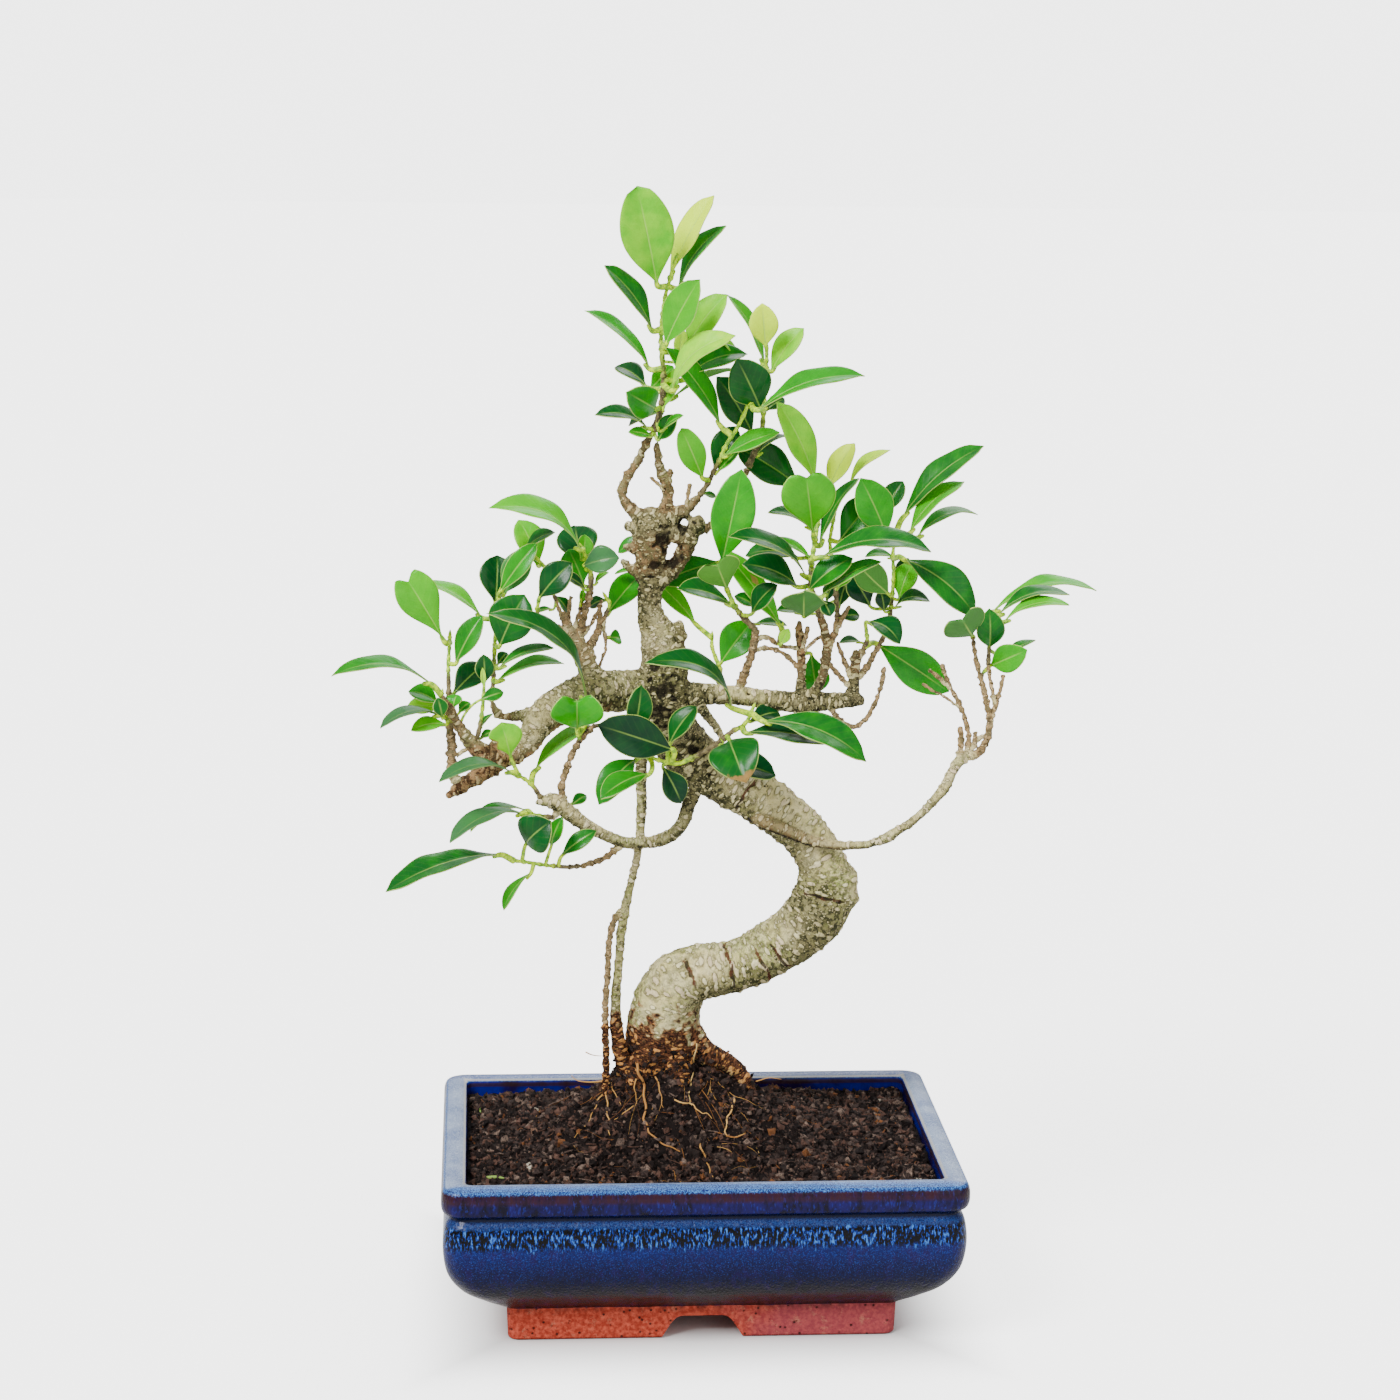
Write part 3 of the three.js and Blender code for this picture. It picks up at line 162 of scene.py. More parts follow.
# Leaves and stems
BLADE_FOLD = math.tan(math.radians(15))
PETIOLE_BEND = 0.18
LONG_PETIOLE = 14
STEEPEST_ROLL = 66
UPWARD = np.array((0.25, 0, 1))

# What is odd about a leaf, as a number its finish can read
LEAF_TRAITS = {"spotted": 0.25, "dry_tip": 0.5, "bitten": 0.75, "grey": 1.0}
ODD_LEAVES = {
    ("right_front_shoot", 0): "notched", ("left_arching_shoot", 0): "deep_notch",
    ("front_low_shoot", 4): "dry_tip", ("right_inner_shoot", 0): "spotted",
    ("left_under_shoot", 1): "bitten", ("left_tall_shoot", 0): "notched",
    ("front_middle_shoot", 1): "notched", ("right_front_shoot", 9): "wavy",
    ("left_under_shoot", 0): "grey", ("far_left_shoot", 3): "grey",
    ("lower_left_upper_shoot", 0): "grey", ("left_middle_shoot", 2): "grey",
    ("left_top_shoot", 2): "grey", ("far_right_tip_leaf", 0): "notched",
    ("apex_shoot", 0): "round", ("right_back_shoot", 6): "round", ("upper_middle_shoot", 0): "round",
}

# Trunk, limbs, twigs and roots: rows of x, z, depth and radius on the front view
LIMBS = {
    "trunk": [(-17, 66, 10, 17), (-17, 80, 10, 21), (-17, 95, 10, 23.5), (-17, 108, 10, 21),
        (-17, 120, 9, 19), (-17, 132, 8, 18), (-16, 142, 7, 17.5), (-13, 153, 6, 16.5), (-5, 162, 5, 14.5),
        (10, 166, 4, 13), (25, 170, 4, 13), (38, 177, 3, 13), (50, 186, 2, 14), (59, 196, 2, 15),
        (62, 206, 2, 14.2), (61, 217, 2, 12.2), (56, 228, 2, 11.5), (47, 238, 3, 11.5), (36, 247, 4, 12),
        (24, 255, 4, 12.5), (12, 262, 4, 12.5), (0, 270, 3, 13), (-10, 280, 2, 12.5), (-16, 290, 1, 12),
        (-18, 300, 0, 12), (-18, 312, 0, 11.5), (-18, 322, 0, 11), (-20, 330, 0, 9.6), (-22.5, 337, 0, 7.6),
        (-25, 345, 0, 6), (-25, 357, 0, 5.7), (-25, 366, 0, 6.8), (-25, 374, 0, 8), (-25, 382, 0, 8.2),
        (-25, 389, 0, 5.5)],
    "left_limb": [(-18, 306, 0, 9), (-30, 306, 0, 9.8), (-40, 305, 0, 10), (-50, 305, -1, 10.3),
        (-60, 301.5, -2, 10), (-68, 298, -3, 9.3), (-75, 293, -4, 8.3), (-80, 286, -5, 6.6),
        (-83.5, 280, -6, 5.5), (-88, 275.5, -6, 5), (-94, 273, -7, 4.8), (-100, 273, -7, 4.8),
        (-105, 275, -7, 4.3), (-110, 279, -7, 3.8), (-114, 284.5, -8, 3), (-118, 291, -8, 2.3),
        (-121, 297, -9, 1.9), (-123.5, 301.5, -10, 1.5)],
    "left_under_stub": [(-95, 272, -6, 4.2), (-101, 267, -5, 3.9), (-106, 263.5, -4, 3.7),
        (-111, 261, -4, 3.6), (-116, 258, -4, 3.1), (-121, 254.3, -4, 1.8)],
    "left_riser": [(-116, 259.5, -4, 2.6), (-119.5, 264, -4, 2.5), (-120, 271, -4, 2.3),
        (-119.8, 278, -3, 2.3), (-120.5, 285, -2, 1.9), (-121.5, 292, -1, 1.5), (-121.3, 300, 0, 1.3)],
    "left_link": [(-117.5, 273.5, -4, 1), (-113, 276.5, -6, 0.9), (-109, 278, -7, 1)],
    "left_knob": [(-99, 274, -7, 3), (-99.5, 279.3, -7, 2)],
    "left_side_twig": [(-78, 293, -3, 4.4), (-86, 293.6, 0, 2.8), (-92, 292.3, 2, 2), (-96, 293.2, 3, 1.6),
        (-99, 296, 4, 1.5), (-100.6, 300.5, 4, 1.3)],
    "left_cluster": [(-48, 306, 0, 7), (-54, 316, 0, 5.4), (-57.5, 324, 0, 4.2), (-60.5, 330, 0, 3.8),
        (-62.5, 334, 0, 3)],
    "left_cluster_tall": [(-59.5, 328, 0, 3), (-58.5, 334, 0, 2.4), (-57, 340, -1, 1.9),
        (-55.5, 346, -2, 1.7), (-54, 352.5, -3, 1.6)],
    "left_cluster_stub": [(-62, 332, 0, 2.8), (-65, 337.5, 1, 2), (-66.5, 342, 1, 1.8)],
    "left_cluster_dark": [(-62.5, 333, 1, 1.5), (-63.8, 340, 2, 1), (-63.8, 345, 3, 0.9),
        (-63, 350.5, 3, 1)],
    "left_cluster_back": [(-65.5, 338, 1, 1.4), (-68.5, 345, 2, 1), (-69.8, 348.5, 3, 0.9)],
    "left_cluster_short": [(-61, 334, 0, 1.5), (-60, 340, 0, 1), (-58.4, 345, 0, 0.9)],
    "left_cluster_side": [(-62.5, 333, 0, 2.4), (-68, 335.5, -1, 1.8), (-72, 337, -2, 1.5),
        (-76, 339, -3, 1.3), (-78.5, 340.5, -4, 1.1)],
    "left_cluster_fork": [(-54, 321, 0, 3), (-53.5, 327, 0, 2.2), (-51.5, 331, 0, 2), (-49.5, 335, 0, 1.9),
        (-48.8, 340, 0, 1.6), (-49.3, 345, 0, 1.2), (-48.6, 348.5, 0, 1)],
    "left_fork_side": [(-49.2, 335, 0, 1.5), (-47.6, 338, 0, 1.3), (-46.6, 341, 1, 1)],
    "left_hanging_root": [(-47.2, 338, 0, 0.9), (-46.4, 331, 1, 0.8), (-46, 326, 1, 0.8),
        (-47.8, 321, 1, 0.8), (-49.8, 314, 1, 0.9)],
    "left_crossing": [(-57.5, 332, 0, 1.3), (-53, 338, -1, 0.9), (-51, 342, -1, 0.9), (-49.4, 345, 0, 0.9)],
    "lower_left_limb": [(4, 264, -2, 5), (-2, 256, -6, 3.7), (-5.5, 248, -8, 3.4), (-8, 240, -9, 3.4),
        (-13, 234, -9, 3.2), (-20, 231, -8, 3), (-30, 229.7, -8, 2.7), (-38, 230.5, -9, 2.7),
        (-45, 233.5, -10, 2.9), (-52, 237, -10, 3.1), (-59, 241.5, -10, 3.6), (-65, 246.5, -10, 4),
        (-71, 251, -10, 4), (-76, 251, -10, 2.6), (-78.5, 250.3, -10, 1.5)],
    "lower_left_riser": [(-66, 249, -10, 2.4), (-67, 256, -12, 1.7), (-65.8, 263, -13, 1.6),
        (-63.2, 271, -14, 1.6), (-60, 278, -15, 1.5), (-56, 283.5, -16, 1.4), (-52.3, 287.4, -17, 1.3)],
    "lower_left_nub": [(-68, 247, -10, 2), (-70.7, 242.5, -11, 1.3)],
    "lower_left_twig": [(-37, 230, -9, 2), (-41.5, 226, -9, 1.7), (-46, 222.3, -9, 1.4),
        (-52, 220, -9, 1.3), (-57, 218.6, -10, 1.1)],
    "arch_limb": [(28, 242.5, -3.5, 3.2), (31, 240.3, -7.6, 3.6), (38, 237.4, -9.6, 3.2),
        (46, 234.2, -10.9, 2.9), (55, 230.6, -12.2, 2.6), (65, 228.4, -13.6, 2.3), (75, 228, -15, 2),
        (85, 229, -15, 2), (92, 232, -15, 2.9), (97, 235.3, -15, 2.2), (103, 239, -15, 2),
        (109, 244.5, -15, 2.1), (115, 251, -15, 2.3), (120, 257.5, -15, 2.6), (123, 264, -15, 2.4),
        (126.5, 270, -15, 2.8), (130, 272.5, -15, 2.2)],
    "arch_stub": [(126.3, 269, -15, 2.2), (127, 276, -15, 1.6), (127.3, 281, -15, 1.4),
        (126.6, 286, -15, 1.4)],
    "arch_inner_twig": [(130, 271, -15, 1.9), (131, 281, -14, 1.3), (129, 290, -13, 1.2),
        (126, 298, -12, 1.1), (122.5, 304.5, -12, 1.1), (119.3, 311, -12, 1.1), (117, 317.5, -12, 0.9)],
    "arch_inner_prong": [(121.4, 306, -12, 1), (116, 311, -12, 0.9), (111, 315, -12, 0.9)],
    "arch_inner_thin": [(126.6, 296, -12, 0.8), (120, 301, -12, 0.7), (113, 304.8, -12, 0.7),
        (107.8, 308.3, -12, 0.7)],
    "arch_outer_twig": [(129, 271.5, -15, 2.2), (135, 273.5, -15, 1.9), (139, 279, -14, 1.8),
        (140.6, 285, -14, 1.7), (140.8, 290, -14, 1.5), (139.3, 298, -13, 1.4), (137.4, 306, -12, 1.3),
        (135, 314, -11, 1.2), (133, 322, -10, 1.1), (131.7, 330, -9, 1)],
    "arch_outer_side": [(140.8, 287, -14, 1.5), (143, 296, -13, 1.3), (145, 303, -12, 1.1),
        (146.8, 312, -12, 1)],
    "arch_outer_middle": [(143.4, 297, -13, 1.1), (141, 308, -12, 1), (139.3, 316.5, -11, 0.9)],
    "arch_short_stub": [(131, 273, -15, 1.5), (134, 280, -15, 1.3), (134, 284, -15, 1.1)],
    "arch_short_link": [(133.8, 279, -15, 0.9), (137, 282, -15, 0.9), (140.2, 283.5, -14, 0.9)],
    "right_limb": [(-14, 305, 0, 8), (-6, 303.8, 0, 6), (5, 303.5, 0, 5), (20, 302.5, -1, 4.6),
        (35, 300.5, -2, 4.9), (50, 299.3, -2, 5), (62, 300, -2, 4.3), (70, 300.3, -2, 3.8),
        (76.5, 300.5, -2, 3.2)],
    "right_twig_1": [(17.5, 303, -1, 3), (20, 311, -1, 2.1), (22.5, 318, -2, 1.9), (25, 326, -2, 1.9),
        (26, 334, -2, 1.8)],
    "right_twig_1_side": [(25.7, 330, -2, 1.4), (31, 331.5, -2, 1.2), (36.5, 328, -2, 1.1)],
    "right_twig_link": [(25, 325, -2, 1.2), (33, 326, -2, 1.1), (40, 323, -2, 1.1), (47.5, 316, -2, 1.2)],
    "right_twig_2": [(48.5, 300, -2, 3.4), (48.3, 310, -2, 2.4), (48.4, 318, -2, 2.2), (47.5, 328, -2, 1.9),
        (47, 338, -2, 1.7)],
    "right_twig_2_stub": [(47.8, 325, -2, 1.3), (50, 331, -3, 1.1), (51, 336, -3, 1)],
    "right_twig_2_side": [(47.6, 326, -2, 1.3), (42, 326.5, -2, 1), (38, 327, -2, 1)],
    "right_twig_3": [(51, 300, -3, 3), (56, 306, -5, 2.6), (59, 313, -6, 2.3), (60.3, 320, -6, 2.2),
        (60.8, 328, -6, 2.2), (59, 336, -7, 2), (56.7, 341.5, -8, 1.8)],
    "right_twig_3_side": [(60.6, 324, -6, 1.7), (64, 333, -6, 1.4), (65.3, 340, -5, 1.2)],
    "right_twig_3_tip": [(63.8, 332, -6, 1.2), (67, 339, -7, 1.1), (70.5, 346, -8, 1)],
    "right_twig_3_link": [(48, 323.5, -2, 1), (54, 329, -4, 0.9), (59.6, 333.5, -6.6, 0.9)],
    "right_twig_4": [(73.5, 301, -2, 3.5), (74, 309, -2, 2.9), (74.3, 316, -2, 2.5), (75, 322.5, -2, 2.3)],
    "right_twig_4_left": [(73, 311, -2, 1.5), (69, 320, -3, 1.2), (66, 328, -4, 1)],
    "right_twig_4_low": [(73, 306, -2, 1.4), (66, 313.5, -4, 1.1), (60, 320.5, -6, 1)],
    "right_twig_4_right": [(74.5, 310, -2, 1.9), (80.5, 317, -1, 1.5), (84.5, 325, 0, 1.3),
        (88.7, 332.5, 0, 1.2)],
    "right_twig_4_stub": [(75, 319, -2, 1.6), (79, 326.5, -2, 1.4)],
    "right_hanging_twig": [(61, 300, -2, 1.8), (68, 290.5, -3, 1.1), (75, 287.3, -3, 1), (80, 291, -3, 1.1),
        (84.5, 299, -3, 1.1), (87.6, 309, -3, 1.1), (88.5, 316, -3, 1)],
    "front_low_twig": [(-4, 302, -2, 3.2), (2, 294.5, -9, 2.5), (6, 289.5, -12, 2.1), (9, 285, -14, 1.9),
        (10.7, 281.7, -15.5, 1.7)],
    "head_limb": [(-21, 360, 0, 5), (-13, 366, -1, 4), (-9.3, 372, -2, 4), (-6.5, 379, -3, 4.4),
        (-3, 386, -5, 4.2)],
    "head_link": [(-22, 381, 0, 6), (-14, 381.5, -1, 4.6), (-7, 380, -3, 4)],
    "head_top": [(-25, 384, 0, 6), (-17, 389.3, 0, 5), (-11, 391, -1, 3.8), (-6, 395, -1, 2.2),
        (-2.2, 399.6, -2, 1.5)],
    "head_left_nub": [(-30, 382.5, 0, 3.6), (-36, 385.5, 0, 1.8)],
    "head_middle_nub": [(-29, 373.5, 0, 3.4), (-37, 375.3, 0, 1.7)],
    "head_low_nub": [(-29, 362, 0, 3.6), (-35, 365, 0, 2.4), (-38.3, 368.3, 0, 1.4)],
    "apex_left_twig": [(-26, 383, 0, 5), (-31, 390, 0, 3.6), (-35, 394, 0, 2.8), (-38.3, 399, 0, 2.2),
        (-38, 405, 0, 2.1), (-35, 411, 0, 2), (-31, 417, 0, 2), (-28.5, 423, 0, 1.9), (-25, 429, 0, 1.7)],
    "apex_right_twig": [(-22, 383, 0, 5), (-19, 391, 0, 3.4), (-17.5, 397, 0, 2.8), (-17, 402, 0, 2.5),
        (-18, 407, 0, 2.9), (-20, 411, 0, 2.2), (-22, 417, 0, 1.8), (-22.3, 424, 0, 1.6)],
    "apex_right_stub": [(-17.6, 404, 0, 1.6), (-15.8, 411.5, 0, 1.2)],
    "apex_side_twig": [(-17.5, 401.5, 0, 1), (-25, 408.3, 0, 0.8)],
    "head_small_twig": [(-8, 392, -1, 1.4), (-7.4, 399, -1, 1), (-6.8, 405, -1, 0.9)],
    "upper_right_twig": [(-12, 381, 1, 3), (-4, 382.5, 4.5, 2.4), (4, 385.5, 6, 2), (10, 390.5, 6, 1.8),
        (15, 397, 5, 1.7), (18, 405, 4, 1.6), (20.3, 411.5, 3, 1.5)],
    "upper_right_stub": [(16.8, 401.5, 4.5, 1.2), (23, 402.6, 4, 1)],
    "trunk_knot": [(-18, 326, -1, 8), (-12.5, 332.5, -1, 5.2), (-11, 337, -1, 2.6)],
    "air_root_thick": [(-20, 288, -2, 5), (-26, 281, -4, 3.6), (-28.3, 272, -5, 2.9), (-28.5, 262, -5, 2.8),
        (-28.3, 250, -5, 2.6), (-28.6, 240, -4, 2.3), (-29.3, 230, -4, 2.1), (-30.7, 220, -3, 2.1),
        (-33, 210, -3, 2.2), (-35.2, 200, -2, 2.3), (-37, 190, -2, 2.3), (-38, 180, -1, 2.3),
        (-39, 165, 0, 2.3), (-40, 150, 0, 2.6), (-40, 140, 0, 3), (-38.7, 130, 0, 3.5),
        (-36.5, 119, 0, 3.8), (-35.3, 108, 0, 3.8), (-35, 94, 0, 3)],
    "air_root_thin": [(-35.8, 197, -2, 2), (-41, 191, -2, 1.7), (-43.3, 182, -2, 1.5), (-44, 165, -2, 1.4),
        (-45, 150, -2, 1.5), (-45, 135, -2, 1.6), (-44.6, 120, -3, 1.8), (-44.8, 108, -3, 1.7),
        (-44, 92, -3, 1.2)],
    "buttress_root": [(-6, 134, 4, 9), (3, 124, 2, 6.5), (12, 119.5, 1, 5), (19, 115, 1, 4.6),
        (24, 108, 1, 4), (27.5, 101, 1, 3.2), (30, 90, 1, 2.4)],
    "front_left_root": [(-24, 122, -2, 8), (-30, 108, -8, 5), (-33, 94, -11, 3)],
    "front_root": [(-12, 120, -3, 8), (-8, 105, -12, 5.5), (-6, 92, -16, 3.5)],
    "back_left_root": [(-18, 122, 16, 8), (-22, 106, 26, 5), (-25, 92, 31, 3)],
    "back_right_root": [(-8, 118, 16, 7), (2, 102, 26, 4.5), (8, 90, 30, 3)],
}

# Leafy shoots: the stem's path of x and z, its depths and its radii, then each leaf: x and z of its
# base and tip, their depths, width, roll in degrees, arch, and tone from 0, dark, to 1, yellow
SHOOTS = {
    "apex_shoot": ([(-24, 430.5), (-21.5, 438), (-20, 447), (-19.5, 456), (-20.5, 466), (-21, 475),
        (-20.5, 485), (-19, 495), (-16.5, 504), (-14.5, 511)], (0,), (1.7, 0.6), [
        (-23, 499, -33, 545, -4, -8, 25, 5, 3, 0.8), (-17, 503, 3, 541, 2, 8, 16, 50, 2, 0.97),
        (-13, 498, 9, 527, 4, 6, 15, 60, 4, 0.35), (-19, 471, -3, 502, -8, -16, 18, 30, 2, 0.68),
        (-9, 469, 10, 495, 2, -2, 17, 35, 3, 0.75), (-15, 450, 14, 476, -10, -24, 17, 52, 8, 0.85),
        (-13, 464, -11, 479, 0, 0, 7, 20, 0, 1), (-10, 455, 20, 467, 3, 9, 16, 48, 5, 0.32),
        (-25, 478, -48, 508, -4, -10, 15, 55, 3, 0.22), (-26, 460, -57, 487, 2, 6, 14, 72, 4, 0.45),
        (-28, 452, -42, 461, 6, 22, 12, 45, 2, 0.2), (-23, 441, -37, 449, -4, -28, 16, 0, 2, 0.42),
        (-26, 450, -15, 461, 5, 14, 10, 20, 1, 0.5), (-20, 441, -13, 460, -1, 1, 10, 40, 0, 0.75),
        (-16, 446, 14, 460, 2, 12, 13, 100, 2, 0.45), (-27, 432, -52, 438, -2, -8, 12, 62, 4, 0.15),
        (-20, 439, -36, 433, 1, 2, 11, 65, 2, 0.15), (-25, 428, -36, 430, -4, -10, 6, 40, 1, 0.5),
        (-22, 426, -13, 438, -4, -10, 10, 30, 1, 0.3), (-20, 431, -10, 438, -12, -18, 6, 60, 1, 0.45)]),
    "upper_right_shoot": ([(21, 413.5), (25, 423), (27, 429), (28, 440), (28.5, 452), (29, 462), (29, 470)],
        (3, 6, 6, 2), (1.6, 0.7), [
        (26.5, 441.5, 15, 465, -8, -13, 21, 5, 3, 0.22), (29, 440.5, 38, 446, 4, 6, 8, 30, 1, 0.15),
        (28.5, 470.5, 26.5, 491, 0, -3, 14, 0, 1, 1), (31.5, 459, 46.5, 479.5, 2, 0, 14, 40, 2, 0.78),
        (28, 462, 10, 495, 8, 12, 12, 86, 3, 0.6), (16, 464, 5, 476, 11, 13, 9, 86, 1, 0.8),
        (22.5, 430, 5.5, 456.5, 8, 2, 17, 20, 3, 0.12), (25, 419, 40, 428.5, 6, 8, 9, 80, 3, 0.2)]),
    "upper_middle_shoot": ([(-2, 400), (1, 404), (4.5, 411), (8, 418), (11, 425), (15, 431), (18, 437),
        (21, 444.5)], (-2, -8), (1.4, 0.7), [
        (-0.5, 408, -11, 432, -6, -14, 13, 5, 2, 0.62), (5, 412, 15, 433, 4, 8, 14, 10, 2, 0.18),
        (9.5, 418.5, 36, 430, -8, -12, 13, 50, 2, 0.55), (8, 433, -19, 470, -2, -4, 16, 50, 3, 0.5),
        (26, 441, 76, 457, -21, -32, 17, 60, 6, 0.45), (6, 411, 17, 422, -4, -6, 6, 40, 0, 0.4),
        (-0.5, 401, 6, 399.5, 0, 2, 4, 40, 0, 0.3)]),
    "front_middle_shoot": ([(26, 335), (20, 341), (16, 346), (13, 352), (11, 357), (9.5, 363)], (-2, -8),
        (1.6, 0.8), [
        (9, 367.5, 18, 412.5, -12, -16, 21, 5, 3, 0.45), (11.5, 355.5, 6, 369, -8, -34, 21, 180, -3, 0.45),
        (14, 347, -12, 355, -6, -16, 15, 55, 3, 0.2), (24, 343, 36, 357, -10, -16, 13, 40, 2, 0.2),
        (26, 346, 15.5, 351.5, -2, -2, 8, 40, 1, 0.25), (8, 368, -20, 358, 8, 12, 15, 25, 2, 0.35),
        (25, 338, 41, 337, 10, 12, 8, 60, 1, 0.4)]),
    "right_inner_shoot": ([(37, 328), (37.8, 332), (38.5, 335.5)], (-2,), (1.1, 0.9), [
        (38.5, 336, 9, 374, -4, 2, 14, 35, 2, 0.52), (38, 327.5, 42, 335.5, -6, -8, 6, 10, 0, 0.85)]),
    "back_middle_shoot": ([(9, 306), (9, 312), (9, 316), (7, 321), (5, 327), (5, 331)],
        (4, 9, 10, 10, 10, 10), (1.4, 0.8), [
        (9, 318.5, 24, 339, 8, 12, 17, 10, 2, 0.45), (-3, 338, -24, 360, 12, 18, 10, 25, 2, 0.65)]),
    "right_front_shoot": ([(57, 342), (55, 347), (53, 352), (52, 360), (52.5, 368), (54, 380), (56, 392),
        (58, 400)], (-8, -12, -12, -8, -4, 4), (1.8, 0.8), [
        (53, 380, 48.5, 413, -12, -32, 26, 0, 2, 0.62), (56, 376, 74, 408.5, -6, -6, 15, 70, 3, 0.28),
        (50, 361, 12, 380, -14, -30, 16, 66, 7, 0.18), (52, 369, 33, 379, -4, -2, 10, 75, 2, 0.5),
        (46, 370, 20.5, 371, 6, 9, 13, 45, 4, 0.22), (52, 384, 31, 392, 6, 8, 12, 78, 3, 0.3),
        (51, 354, 72, 370, -18, -24, 14, 30, 3, 0.28), (57, 351, 86, 368, -20, -26, 13, 60, 3, 0.42),
        (46, 356, 19, 367, -10, -16, 17, 40, 4, 0.22), (49, 342, 49, 354, -18, -44, 22, 180, -3, 0.3),
        (57, 370.5, 110, 373, -24, -36, 19, 58, 8, 0.3), (58, 349.5, 62, 341.5, -14, -18, 8, 20, 1, 0.12),
        (53, 407, 34.5, 444.5, 0, 2, 17, 35, 3, 0.72), (46, 404, 15.5, 423, 12, 14, 19, 20, 3, 0.18),
        (47, 343, 36, 344.5, -2, -2, 8, 60, 1, 0.3)]),
    "right_mid_shoot": ([(65.5, 341), (64.5, 350), (64, 360), (62, 370), (61, 378), (62, 386), (63, 392),
        (64, 398)], (-4, 3), (1.3, 0.7), [
        (65.5, 378, 82, 399, -2, 0, 17, 10, 2, 0.3), (60, 403, 72, 425, 4, 4, 14, 40, 2, 0.97),
        (70, 406, 89, 422, 6, 8, 12, 72, 3, 0.9), (66, 346, 70, 360, 4, 5, 9, 20, 1, 0.1),
        (60, 349, 63, 358, 5, 6, 7, 20, 1, 0.1), (65, 355, 72, 366, -8, -10, 8, 20, 1, 0.5),
        (66, 341, 76, 342, 4, 6, 8, 30, 1, 0.2)]),
    "right_back_shoot": ([(89, 333), (90.5, 340), (91.5, 350), (92, 362), (91.5, 372), (92, 380)], (0,),
        (1.3, 0.7), [
        (88, 381, 75, 408.5, -6, -10, 19, 10, 3, 0.48), (86, 391, 95.5, 407, 6, 6, 11, 20, 1, 0.28),
        (96, 390, 134, 424, 0, -6, 17, 50, 5, 0.35), (99, 382, 125, 407, -6, -10, 15, 55, 4, 0.62),
        (103, 380, 132, 391, 4, 6, 13, 80, 6, 0.4), (97, 369.5, 132, 342, -14, -22, 19, 30, 7, 0.28),
        (95, 350, 101, 367, 0, 2, 13, 20, 2, 0.6), (94, 359, 99, 370, 5, 8, 7, 20, 1, 0.12),
        (93, 346, 110, 349, -6, -14, 11, 60, 4, 0.22), (81, 346.5, 71, 363, 2, 4, 14, 10, 2, 0.03),
        (88, 344, 86, 354.5, -2, -2, 8, 10, 1, 0.1), (92, 370, 78, 370.5, 0, 2, 9, 75, 2, 0.4),
        (90, 352.5, 74, 367.5, -9, -15, 15, 170, -2, 0.35)]),
    "right_low_shoot": ([(79, 327), (80, 330), (79.5, 334)], (-3, -4, -6), (1.2, 0.9), [
        (80, 339, 96, 328, -14, -24, 15, 45, 4, 0.13), (85, 328, 120.5, 304.5, 6, 2, 19, 5, 3, 0.35),
        (77, 329, 66.5, 328.5, 3, 6, 8, 78, 1, 0.3)]),
    "right_behind_leaf": ([(48, 321), (50, 323.5)], (1, 7), (1.1, 1), [
        (53, 323, 56, 304, 10, 14, 15, 0, 2, 0.4)]),
    "far_right_tip_leaf": ([(131.6, 330.4), (131.3, 331.5)], (-8, -7), (1.1, 1), [
        (131, 332, 125, 341.5, -7, -34, 22, 180, -3, 0.3)]),
    "far_right_shoot": ([(139.2, 317.5), (139.5, 326), (140, 334), (141, 341)], (-10, -6), (1.1, 0.8), [
        (139.5, 326.5, 139, 345.5, -8, -22, 14, 10, 3, 0.32), (141, 344, 191, 354, 0, -4, 15, 70, 9, 0.6),
        (143, 342, 178, 352, -12, -20, 14, 68, 6, 0.25), (146, 339, 178, 347, -18, -30, 13, 66, 5, 0.6),
        (148, 322, 162, 330, -1, 1, 9, 85, 1, 0.4)]),
    "far_right_side_leaf": ([(135.7, 312), (137.5, 314.5)], (-11, -9), (1, 0.9), [
        (140.5, 317.5, 158, 325, -8, -26, 14, 0, 2, 0.5)]),
    "front_low_shoot": ([(10.7, 281), (13, 283), (16, 285.5), (20, 287.5), (23, 291), (25, 296)], (-16,),
        (1.5, 0.8), [
        (15, 297, -27, 319, -18, -36, 17, 60, 12, 0.15), (31, 290, 81, 270, -24, -36, 20, 45, 8, 0.3),
        (22, 284.5, 63, 279, -20, -22, 16, 50, 3, 0.08), (24, 290, 38, 294, -14, -5, 12, 40, 2, 0.1),
        (14, 281, 22, 260, -20, -46, 25, 0, 5, 0.25), (6, 271, 37, 263, -16, -16, 17, 40, 2, 0.05)]),
    "front_left_shoot": ([(10, 280.5), (5, 277), (-3, 272.5), (-10, 269.5), (-17, 270), (-23, 272),
        (-27, 274)], (-16, -20), (1.4, 0.8), [
        (-13, 276, -50, 288.5, -22, -30, 20, 5, 3, 0.05), (-15, 279, -2, 297.5, -18, -18, 13, 35, 2, 0.25),
        (-33, 283, -29, 308, -18, -18, 13, 20, 2, 0.2), (-31, 271.5, -49, 249, -22, -32, 15, 20, 6, 0.28),
        (-25, 264, -48, 252, -33, -45, 14, 45, 3, 0.42),
        (-18, 267.5, -9, 249.5, -18, -20, 13, 15, 2, 0.05)]),
    "left_top_shoot": ([(-54, 353), (-53.4, 358), (-53.5, 362.5), (-54, 367), (-56, 371), (-57.5, 374)],
        (-3, -6), (1.6, 0.7), [
        (-58, 373.5, -102, 393.5, -8, -16, 20, 62, 10, 0.7), (-58, 366, -61, 385, 6, 22, 20, 0, 2, 0.18),
        (-57, 366, -40, 370, -8, -16, 14, 20, 2, 0.35), (-58, 369, -56.5, 381, -2, 2, 9, 30, 1, 0.6),
        (-57, 357, -64, 374, 1, 6, 16, 10, 2, 0.4), (-56, 354.5, -67, 362, -6, -10, 7, 50, 1, 0.15),
